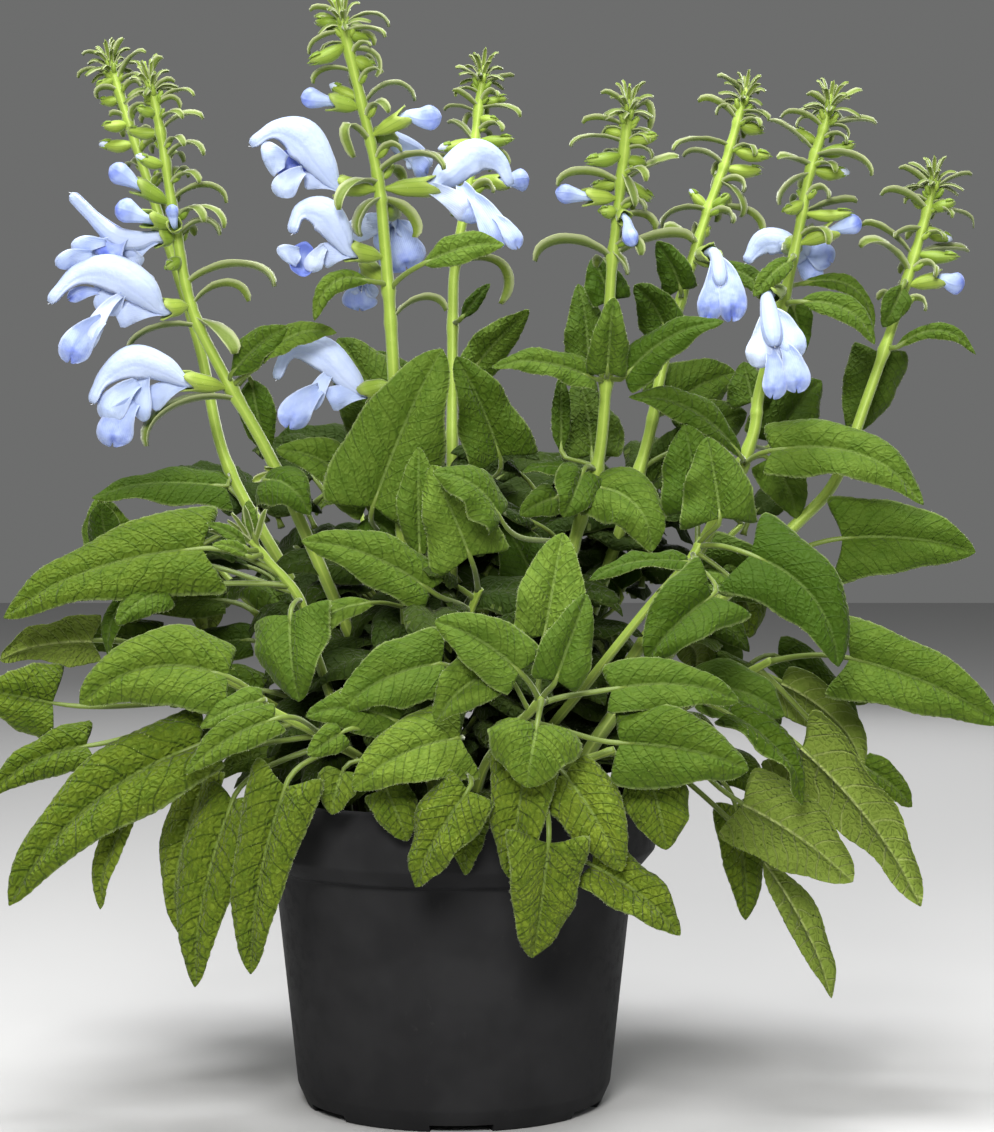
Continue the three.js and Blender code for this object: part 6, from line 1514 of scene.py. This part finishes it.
def turned(profile, sides):
    """A closed turned solid; the profile starts and ends on the axis."""
    a = np.arange(sides) / sides * 2 * np.pi
    ring = profile[1:-1]
    n = len(ring)
    x = ring[:, :1] * np.cos(a)
    y = ring[:, :1] * np.sin(a)
    z = np.repeat(ring[:, 1:], sides, axis=1)
    verts = np.concatenate([np.stack([x, y, z], axis=-1).reshape(-1, 3),
                            [[0, 0, profile[0][1]], [0, 0, profile[-1][1]]]])
    i, j = np.meshgrid(np.arange(n - 1), np.arange(sides), indexing="ij")
    p, q = (i * sides + j).ravel(), (i * sides + (j + 1) % sides).ravel()
    faces = [tuple(f) for f in np.stack([p, q, q + sides, p + sides], axis=1)]
    k = np.arange(sides)
    faces += [tuple(f) for f in np.stack([(k + 1) % sides, k, np.full(sides, n * sides)], axis=1)]
    last = (n - 1) * sides
    faces += [tuple(f) for f in np.stack([last + k, last + (k + 1) % sides, np.full(sides, n * sides + 1)],
                                         axis=1)]
    return verts * MM, faces


def solid_object(name, verts, faces):
    me = bpy.data.meshes.new(name)
    me.from_pydata([tuple(v) for v in verts], [], faces)
    me.validate()
    o = bpy.data.objects.new(name, me)
    bpy.context.scene.collection.objects.link(o)
    return o


POT_SIDES = 144
DRAIN_PLACE, DRAIN_RADIUS, DRAIN_SIDES = 44, 5, 20      # the drain holes in the pot's floor

outer = [[0, 0], [FOOT_RADIUS, 0], [HEEL_RADIUS, HEEL_HEIGHT], [WALL_TOP_RADIUS, COLLAR_FOOT - 1.5],
         [79, COLLAR_FOOT], [84.4, COLLAR_FOOT + 6.5], [RIM_RADIUS, POT_HEIGHT - 1.2],
         [RIM_RADIUS - 0.9, POT_HEIGHT]]
inner = [[RIM_RADIUS - WALL, POT_HEIGHT], [COLLAR_BORE, COLLAR_FOOT + 8.5],
         [WALL_TOP_RADIUS - WALL - 0.2, COLLAR_FOOT],
         [HEEL_RADIUS - WALL + 0.4, HEEL_HEIGHT + 2], [FOOT_RADIUS - WALL + 0.3, FLOOR], [0, FLOOR]]
pot = solid_object("pot_shell", *turned(round_profile(outer + inner, 1.0), POT_SIDES))
cutters = []
for i in range(CHANNELS):
    a = i / CHANNELS * 2 * math.pi - math.pi / 2 + 0.06
    q = [(16, -0.30), (80, -0.20), (80, 0.20), (16, 0.30)]
    base = [(r * math.cos(a + d), r * math.sin(a + d)) for r, d in q]
    verts = np.array([(x, y, z) for z in (-5, CHANNEL_DEPTH) for x, y in base]) * MM
    cutters.append(solid_object(f"channel_{i}", verts,
                                [(3, 2, 1, 0), (4, 5, 6, 7), (0, 1, 5, 4), (1, 2, 6, 5), (2, 3, 7, 6),
                                 (3, 0, 4, 7)]))
    ring = [(DRAIN_PLACE * math.cos(a) + DRAIN_RADIUS * math.cos(b),
             DRAIN_PLACE * math.sin(a) + DRAIN_RADIUS * math.sin(b))
            for b in np.arange(DRAIN_SIDES) / DRAIN_SIDES * 2 * math.pi]
    verts = np.array([(x, y, z) for z in (-2, FLOOR + 3) for x, y in ring]) * MM
    n = DRAIN_SIDES
    faces = [tuple(range(n - 1, -1, -1)), tuple(range(n, 2 * n))]
    faces += [(k, (k + 1) % n, n + (k + 1) % n, n + k) for k in range(n)]
    cutters.append(solid_object(f"drain_{i}", verts, faces))
for c in cutters:
    cut = pot.modifiers.new("cut", "BOOLEAN")
    cut.operation, cut.object, cut.solver = "DIFFERENCE", c, "EXACT"
deps = bpy.context.evaluated_depsgraph_get()
shell = bpy.data.meshes.new_from_object(pot.evaluated_get(deps))
pot.modifiers.clear()
pot.data = shell
shell.polygons.foreach_set("use_smooth", np.ones(len(shell.polygons), bool))
shell.set_sharp_from_angle(angle=math.radians(38))
for c in cutters:
    bpy.data.objects.remove(c, do_unlink=True)

compost_skin = Skin()
rng = np.random.default_rng(5)
sides, rings_n = 120, 34
a = np.arange(sides) / sides * 2 * np.pi
low = [[0, FLOOR + 0.35], [FOOT_RADIUS - WALL - 0.05, FLOOR + 0.35],
       [HEEL_RADIUS - WALL + 0.05, HEEL_HEIGHT + 2],
       [WALL_TOP_RADIUS - WALL - 0.55, COLLAR_FOOT + 0.2], [COLLAR_BORE - CLEARANCE, COLLAR_FOOT + 8.9],
       [COLLAR_BORE - CLEARANCE, COMPOST_TOP - 4]]
radii = np.concatenate([[p[0] for p in low[1:]], np.linspace(81.2, 0.6, rings_n)])
heights = np.concatenate([[p[1] for p in low[1:]], np.full(rings_n, COMPOST_TOP - 1.3)])
x, y = radii[:, None] * np.cos(a), radii[:, None] * np.sin(a)
z = np.repeat(heights[:, None], sides, axis=1)
bumps = rng.uniform(-80, 80, (420, 2)), rng.uniform(1.2, 4.6, 420), rng.uniform(0.3, 1.5, 420)
relief = np.zeros_like(z)
for (bx, by), br, bh in zip(*bumps):
    relief = np.maximum(relief, bh * np.exp(-((x - bx) ** 2 + (y - by) ** 2) / br ** 2))
top_rows = np.arange(len(radii)) >= len(low) - 1
z = z + np.where(top_rows[:, None], relief - 0.8, 0)
rings = np.stack([x, y, np.minimum(z, COMPOST_TOP + 0.9)], axis=-1)
tube(compost_skin, rings, 0, None, rings)
for k in range(320):
    r, b = 80 * math.sqrt(rng.uniform()), rng.uniform(0, 6.2832)
    size = rng.uniform(0.7, 2.1)
    c = vec(r * math.cos(b), r * math.sin(b), COMPOST_TOP - 1.2 + rng.uniform(0, 0.8))
    stretch = rng.uniform(0.7, 1.5, 3)
    th = np.array([0.5, 1.15, 1.9, 2.6])
    ph = np.arange(6) / 6 * 2 * np.pi
    rr = np.stack([np.sin(th)[:, None] * np.cos(ph), np.sin(th)[:, None] * np.sin(ph),
                   np.cos(th)[:, None] * np.ones(6)], axis=-1)
    rr = rr * (1 + rng.uniform(-0.18, 0.18, rr.shape[:2]))[..., None] * size * stretch
    rr = c + rr
    rr[..., 2] = np.minimum(rr[..., 2], COMPOST_TOP + 1.9)
    tube(compost_skin, rr, 0, None, rr)


# ---- materials ----
def srgb(r, g, b):
    f = lambda c: c / 12.92 if c <= 0.04045 else ((c + 0.055) / 1.055) ** 2.4
    return (f(r / 255), f(g / 255), f(b / 255), 1)


class Look:
    """A procedural material and its node tree."""

    def __init__(self, name, rough, spec=0.35):
        self.mat = bpy.data.materials.new(name)
        self.mat.use_nodes = True
        self.tree = self.mat.node_tree
        self.bsdf = self.tree.nodes["Principled BSDF"]
        self.out = self.tree.nodes["Material Output"]
        self.bsdf.inputs["Roughness"].default_value = rough
        self.bsdf.inputs["Specular IOR Level"].default_value = spec

    def node(self, kind, **values):
        n = self.tree.nodes.new(kind)
        for key, val in values.items():
            if key in n.inputs:
                n.inputs[key].default_value = val
            else:
                setattr(n, key, val)
        return n

    def link(self, a, b):
        self.tree.links.new(a, b)

    def attr(self, name):
        n = self.node("ShaderNodeAttribute")
        n.attribute_name = name
        sep = self.node("ShaderNodeSeparateXYZ")
        self.link(n.outputs["Vector"], sep.inputs[0])
        return n.outputs["Vector"], sep.outputs

    def math(self, op, a, b=None, c=None, clamp=False):
        n = self.node("ShaderNodeMath")
        n.operation, n.use_clamp = op, clamp
        for i, v in enumerate((a, b, c)):
            if v is None:
                continue
            if isinstance(v, (int, float)):
                n.inputs[i].default_value = v
            else:
                self.link(v, n.inputs[i])
        return n.outputs[0]

    def step(self, x, lo, hi, a=0.0, b=1.0):
        n = self.node("ShaderNodeMapRange")
        n.interpolation_type = "SMOOTHSTEP"
        n.inputs["From Min"].default_value, n.inputs["From Max"].default_value = lo, hi
        n.inputs["To Min"].default_value, n.inputs["To Max"].default_value = a, b
        self.link(x, n.inputs["Value"])
        return n.outputs["Result"]

    def mix(self, t, a, b):
        n = self.node("ShaderNodeMix")
        n.data_type = "RGBA"
        for v, key in ((t, 0), (a, 6), (b, 7)):
            if isinstance(v, (int, float, tuple)):
                n.inputs[key].default_value = v
            else:
                self.link(v, n.inputs[key])
        return n.outputs[2]

    def noise(self, where, scale, detail=2.0, rough=0.5):
        n = self.node("ShaderNodeTexNoise", Scale=scale, Detail=detail, Roughness=rough)
        self.link(where, n.inputs["Vector"])
        return n.outputs["Fac"]

    def cells(self, where, scale, feature="F1"):
        n = self.node("ShaderNodeTexVoronoi", Scale=scale)
        n.feature = feature
        self.link(where, n.inputs["Vector"])
        return n.outputs["Distance"]

    def bump(self, height, strength, distance):
        n = self.node("ShaderNodeBump", Strength=strength, Distance=distance)
        self.link(height, n.inputs["Height"])
        self.link(n.outputs[0], self.bsdf.inputs["Normal"])

    def glow(self, colour, share):
        """Light that passes through a thin leaf or petal."""
        t = self.node("ShaderNodeBsdfTranslucent")
        if isinstance(colour, tuple):
            t.inputs["Color"].default_value = colour
        else:
            self.link(colour, t.inputs["Color"])
        m = self.node("ShaderNodeMixShader", Fac=share)
        self.link(self.bsdf.outputs[0], m.inputs[1])
        self.link(t.outputs[0], m.inputs[2])
        self.link(m.outputs[0], self.out.inputs["Surface"])

    def sheen(self, weight, rough, tint):
        self.bsdf.inputs["Sheen Weight"].default_value = weight
        self.bsdf.inputs["Sheen Roughness"].default_value = rough
        self.bsdf.inputs["Sheen Tint"].default_value = tint


def ridge(k, phase, width):
    """1 on the whole numbers of phase, 0 away from them."""
    f = k.math("FRACT", phase)
    d = k.math("MINIMUM", f, k.math("SUBTRACT", 1.0, f))
    return k.step(d, 0.0, width, 1.0, 0.0)


def leaf_look(under=False):
    k = Look("leaf_under" if under else "leaf_face", 0.74 if under else 0.68, 0.14)
    _, (phase, s, t) = k.attr("form")
    fine_v, (_, _, lat) = k.attr("fine")
    _, (age, rnd, shade) = k.attr("tone")
    young = k.mix(rnd, srgb(50, 76, 6), srgb(122, 150, 56))
    old = k.mix(rnd, srgb(70, 92, 6), srgb(130, 148, 44))
    turning = k.math("MULTIPLY_ADD", k.math("MULTIPLY", age, t), 0.5, age, clamp=True)
    base = k.mix(turning, young, old)
    mottle = k.noise(fine_v, 0.16, 3.0, 0.6)
    base = k.mix(k.step(mottle, 0.35, 0.7, 0.0, 0.45), base, srgb(54, 84, 8))
    side_vein = ridge(k, phase, 0.08)
    mid = k.math("MULTIPLY", k.step(lat, 0.2, 0.75, 1.0, 0.0), k.step(t, 0.0, 1.0, 1.0, 0.25))
    net = k.cells(fine_v, 0.36, "DISTANCE_TO_EDGE")
    net_line = k.step(net, 0.0, 0.09, 1.0, 0.0)
    fine_net = k.cells(fine_v, 0.95)
    if under:
        colour = k.mix(0.62, base, srgb(134, 154, 66))
        colour = k.mix(k.math("MULTIPLY", side_vein, 0.7), colour, srgb(164, 178, 102))
        colour = k.mix(k.math("MULTIPLY", net_line, 0.35), colour, srgb(134, 148, 70))
        colour = k.mix(k.math("MULTIPLY", mid, 0.85), colour, srgb(174, 186, 116))
    else:
        # painted shade: the sunken side veins and the fine net on the face are painted dark green, as the
        # shade in their creases
        colour = k.mix(k.math("MULTIPLY", side_vein, k.math("MULTIPLY_ADD", age, 0.36, 0.22)), base,
                       srgb(36, 62, 6))
        colour = k.mix(k.math("MULTIPLY", net_line, k.math("MULTIPLY_ADD", age, 0.22, 0.14)), colour,
                       srgb(40, 66, 6))
        colour = k.mix(k.math("MULTIPLY", mid, k.math("MULTIPLY_ADD", rnd, 0.35, 0.3)), colour,
                       srgb(136, 156, 88))
        rim = k.step(k.math("ABSOLUTE", s), 0.94, 1.0, 0.0, 0.6)
        colour = k.mix(rim, colour, srgb(136, 152, 92))
    # painted shade: each leaf's shade value mixes its colour towards a dark green
    colour = k.mix(shade, colour, srgb(26, 42, 2))
    k.link(colour, k.bsdf.inputs["Base Color"])
    broad = k.math("MULTIPLY", k.step(net, 0.0, 0.30), 0.8 if not under else -0.6)
    height = k.math("ADD", broad, k.math("MULTIPLY", fine_net, -0.14 if not under else 0.1))
    height = k.math("ADD", height, k.math("MULTIPLY", side_vein, -0.6 if not under else 0.8))
    height = k.math("MULTIPLY", height, k.math("ADD", k.math("MULTIPLY", age, 0.8), 0.38))
    k.bump(height, 0.85, 0.0011)
    k.sheen(0.09 if not under else 0.10, 0.4, (0.88, 0.93, 0.70, 1))
    k.glow(k.mix(0.4, colour, srgb(128, 154, 0)), 0.22)
    return k.mat


def stalk_look():
    k = Look("stalk", 0.48, 0.35)
    pos, _ = k.attr("fine")
    _, (level, _, _) = k.attr("tone")
    _, (a, _, _) = k.attr("form")
    low = k.mix(k.noise(pos, 0.25), srgb(84, 104, 36), srgb(106, 122, 46))
    high = k.mix(k.noise(pos, 0.3), srgb(130, 156, 52), srgb(150, 174, 70))
    colour = k.mix(k.step(level, 0.3, 0.95), low, high)
    colour = k.mix(k.math("MULTIPLY", ridge(k, a, 0.16), 0.35), colour, srgb(184, 200, 92))
    k.link(colour, k.bsdf.inputs["Base Color"])
    k.bump(k.noise(pos, 2.2, 3.0), 0.25, 0.0003)
    k.sheen(0.4, 0.4, (0.93, 0.96, 0.84, 1))
    k.glow(colour, 0.08)
    return k.mat


def bract_look():
    k = Look("bract", 0.6, 0.25)
    pos, _ = k.attr("fine")
    _, (_, s, _) = k.attr("form")
    _, (tint, _, _) = k.attr("tone")
    base = k.mix(tint, srgb(72, 90, 40), srgb(130, 150, 54))
    colour = k.mix(k.step(k.noise(pos, 0.8, 3.0), 0.4, 0.7, 0.0, 0.35), base, srgb(88, 108, 40))
    colour = k.mix(k.step(k.math("ABSOLUTE", s), 0.45, 0.95, 0.0, 0.85), colour, srgb(172, 180, 134))
    k.link(colour, k.bsdf.inputs["Base Color"])
    k.bump(k.cells(pos, 1.7), 0.4, 0.0003)
    k.sheen(0.6, 0.35, (0.9, 0.94, 0.84, 1))
    k.glow(colour, 0.18)
    return k.mat


def cup_look():
    k = Look("calyx", 0.52, 0.3)
    pos, _ = k.attr("fine")
    _, (a, _, t) = k.attr("form")
    _, (_, rnd, _) = k.attr("tone")
    base = k.mix(rnd, srgb(116, 142, 42), srgb(150, 172, 66))
    colour = k.mix(k.math("MULTIPLY", ridge(k, a, 0.14), 0.5), base, srgb(96, 126, 28))
    colour = k.mix(k.step(t, 0.72, 1.0, 0.0, 0.4), colour, srgb(166, 180, 104))
    k.link(colour, k.bsdf.inputs["Base Color"])
    k.bump(k.noise(pos, 1.6, 3.0), 0.3, 0.0003)
    k.sheen(0.5, 0.35, (0.94, 0.97, 0.86, 1))
    k.glow(colour, 0.16)
    return k.mat


def hair_look():
    k = Look("hair", 0.55, 0.3)
    n = k.node("ShaderNodeNewGeometry")
    colour = k.mix(k.noise(n.outputs["Position"], 60.0), srgb(206, 212, 176), srgb(232, 236, 214))
    k.link(colour, k.bsdf.inputs["Base Color"])
    k.glow(colour, 0.35)
    return k.mat


def petal_look(throat=False):
    k = Look("petal_throat" if throat else "petal", 0.46, 0.3)
    pos, _ = k.attr("fine")
    _, (a, s, t) = k.attr("form")
    _, (blue, _, shade) = k.attr("tone")
    pale = k.mix(k.noise(pos, 0.12, 3.0, 0.6), srgb(168, 188, 229), srgb(200, 215, 239))
    deep = srgb(104, 124, 214)
    colour = k.mix(k.math("MULTIPLY", blue, k.step(k.noise(pos, 0.22, 2.0), 0.3, 0.7, 0.35, 1.0),
                          clamp=True), pale, deep)
    vein = k.math("MULTIPLY", ridge(k, k.math("MULTIPLY", a, 1.1), 0.12), 0.20)
    colour = k.mix(vein, colour, srgb(170, 186, 242))
    colour = k.mix(shade, colour, srgb(220, 228, 242))
    colour = k.mix(k.step(k.math("ABSOLUTE", s), 0.78, 1.0, 0.0, 0.5), colour, srgb(214, 224, 244))
    if throat:
        colour = k.mix(k.step(t, 0.2, 0.75, 0.85, 0.25), colour, deep)
    k.link(colour, k.bsdf.inputs["Base Color"])
    k.bump(k.math("ADD", k.noise(pos, 0.5, 3.0),
                  k.math("MULTIPLY", ridge(k, k.math("MULTIPLY", a, 1.1), 0.2), 0.4)), 0.5, 0.0006)
    k.sheen(0.25, 0.4, (0.9, 0.93, 1.0, 1))
    k.glow(colour, 0.3)
    return k.mat


def stamen_look():
    k = Look("style", 0.5)
    n = k.node("ShaderNodeNewGeometry")
    colour = k.mix(k.noise(n.outputs["Position"], 200.0), srgb(214, 220, 236), srgb(236, 238, 240))
    k.link(colour, k.bsdf.inputs["Base Color"])
    return k.mat


def pot_look():
    k = Look("pot_plastic", 0.5, 0.04)
    g = k.node("ShaderNodeTexCoord")
    grain = k.noise(g.outputs["Object"], 2600.0, 3.0, 0.6)
    broad = k.noise(g.outputs["Object"], 26.0, 3.0, 0.6)
    scuff = k.noise(g.outputs["Object"], 160.0, 6.0, 0.7)
    colour = k.mix(k.step(broad, 0.35, 0.7), srgb(33, 33, 34), srgb(40, 40, 41))
    colour = k.mix(k.step(scuff, 0.60, 0.74, 0.0, 0.22), colour, srgb(60, 59, 58))
    k.link(colour, k.bsdf.inputs["Base Color"])
    k.link(k.step(scuff, 0.45, 0.7, 0.52, 0.66), k.bsdf.inputs["Roughness"])
    k.bump(k.math("ADD", k.math("MULTIPLY", grain, 0.5), k.math("MULTIPLY", broad, 0.5)), 0.25, 0.0003)
    return k.mat


def compost_look():
    k = Look("compost", 0.92, 0.15)
    g = k.node("ShaderNodeTexCoord")
    n1 = k.noise(g.outputs["Object"], 240.0, 6.0, 0.7)
    n2 = k.cells(g.outputs["Object"], 420.0)
    colour = k.mix(k.step(n1, 0.35, 0.68), srgb(30, 24, 20), srgb(74, 58, 44))
    colour = k.mix(k.step(n2, 0.0, 0.35, 0.5, 0.0), colour, srgb(96, 80, 62))
    k.link(colour, k.bsdf.inputs["Base Color"])
    k.bump(n1, 0.9, 0.0015)
    return k.mat


green = [leaf_look(), leaf_look(True), stalk_look(), bract_look(), cup_look(), petal_look()]
hair_mats = [hair_look()]
petals_mats = [petal_look(), petal_look(True), stamen_look()]
for name in stems:
    leaf_skins[name].piece("plant_" + name, green, "foliage", [name])
    fuzz_skins[name].piece("hair_" + name, hair_mats, "foliage")
for name, skin in bloom_skins.items():
    skin.piece("corolla_" + name, petals_mats, "petal" if name.startswith("bloom") else "bud", [name])
inner_skin.piece("inner_leaves", green, "foliage")
pot.data.materials.clear()
pot.data.materials.append(pot_look())
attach(pot, "root")
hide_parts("pot")
compost_skin.piece("compost_bed", [compost_look()], "compost", ["compost"])

# ---- floor, light and camera ----
PLANT_MIDDLE = (0, 0, 0.22)
AIM_HEIGHT = 0.225
VIEW_HEIGHT = 473.97        # what the picture's height covers at the plant, in mm
SENSOR = 36                 # in mm, along the picture's longer side

scene = bpy.context.scene
me = bpy.data.meshes.new("floor")
me.from_pydata([(-4, -4, 0), (4, -4, 0), (4, 4, 0), (-4, 4, 0)], [], [(0, 1, 2, 3)])
floor = bpy.data.objects.new("floor", me)
scene.collection.objects.link(floor)
pale = Look("floor", 0.85, 0.2)
pale.bsdf.inputs["Base Color"].default_value = (0.47, 0.47, 0.47, 1)
me.materials.append(pale.mat)
floor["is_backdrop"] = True

world = bpy.data.worlds.new("studio")
world.use_nodes = True
world.node_tree.nodes["Background"].inputs["Color"].default_value = (0.90, 0.91, 0.90, 1)
world.node_tree.nodes["Background"].inputs["Strength"].default_value = 0.17
scene.world = world


def soft_box(name, where, target, size, watts, tint=(1, 1, 1)):
    data = bpy.data.lights.new(name, "AREA")
    data.shape, data.size, data.energy, data.color = "DISK", size, watts, tint
    o = bpy.data.objects.new(name, data)
    o.location = where
    direction = Vector(target) - Vector(where)
    o.rotation_euler = direction.to_track_quat("-Z", "Y").to_euler()
    scene.collection.objects.link(o)


soft_box("key", (-0.16, -1.55, 0.98), PLANT_MIDDLE, 0.55, 35.0, (1, 0.99, 0.965))
soft_box("fill", (1.2, -1.2, 0.8), PLANT_MIDDLE, 1.0, 3.0, (0.97, 0.98, 1))
soft_box("top", (-0.05, -0.25, 1.6), (0, 0, 0.25), 0.6, 37.0)
soft_box("back", (0.45, 1.6, 0.9), PLANT_MIDDLE, 1.2, 9.0)

cam = bpy.data.cameras.new("camera")
cam.sensor_width, cam.lens = SENSOR, SENSOR * (EYE_Y + 1) / VIEW_HEIGHT
eye = bpy.data.objects.new("camera", cam)
eye.location = (AXIS_X * MM, -EYE_Y * MM, EYE_Z * MM)
aim = Vector((AXIS_X * MM, 0, AIM_HEIGHT)) - eye.location
eye.rotation_euler = aim.to_track_quat("-Z", "Y").to_euler()
scene.collection.objects.link(eye)
scene.camera = eye
scene.view_settings.view_transform = "Standard"

size = {"cad": [list(c) for c in cad_box], "shown": [list(c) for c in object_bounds()]}
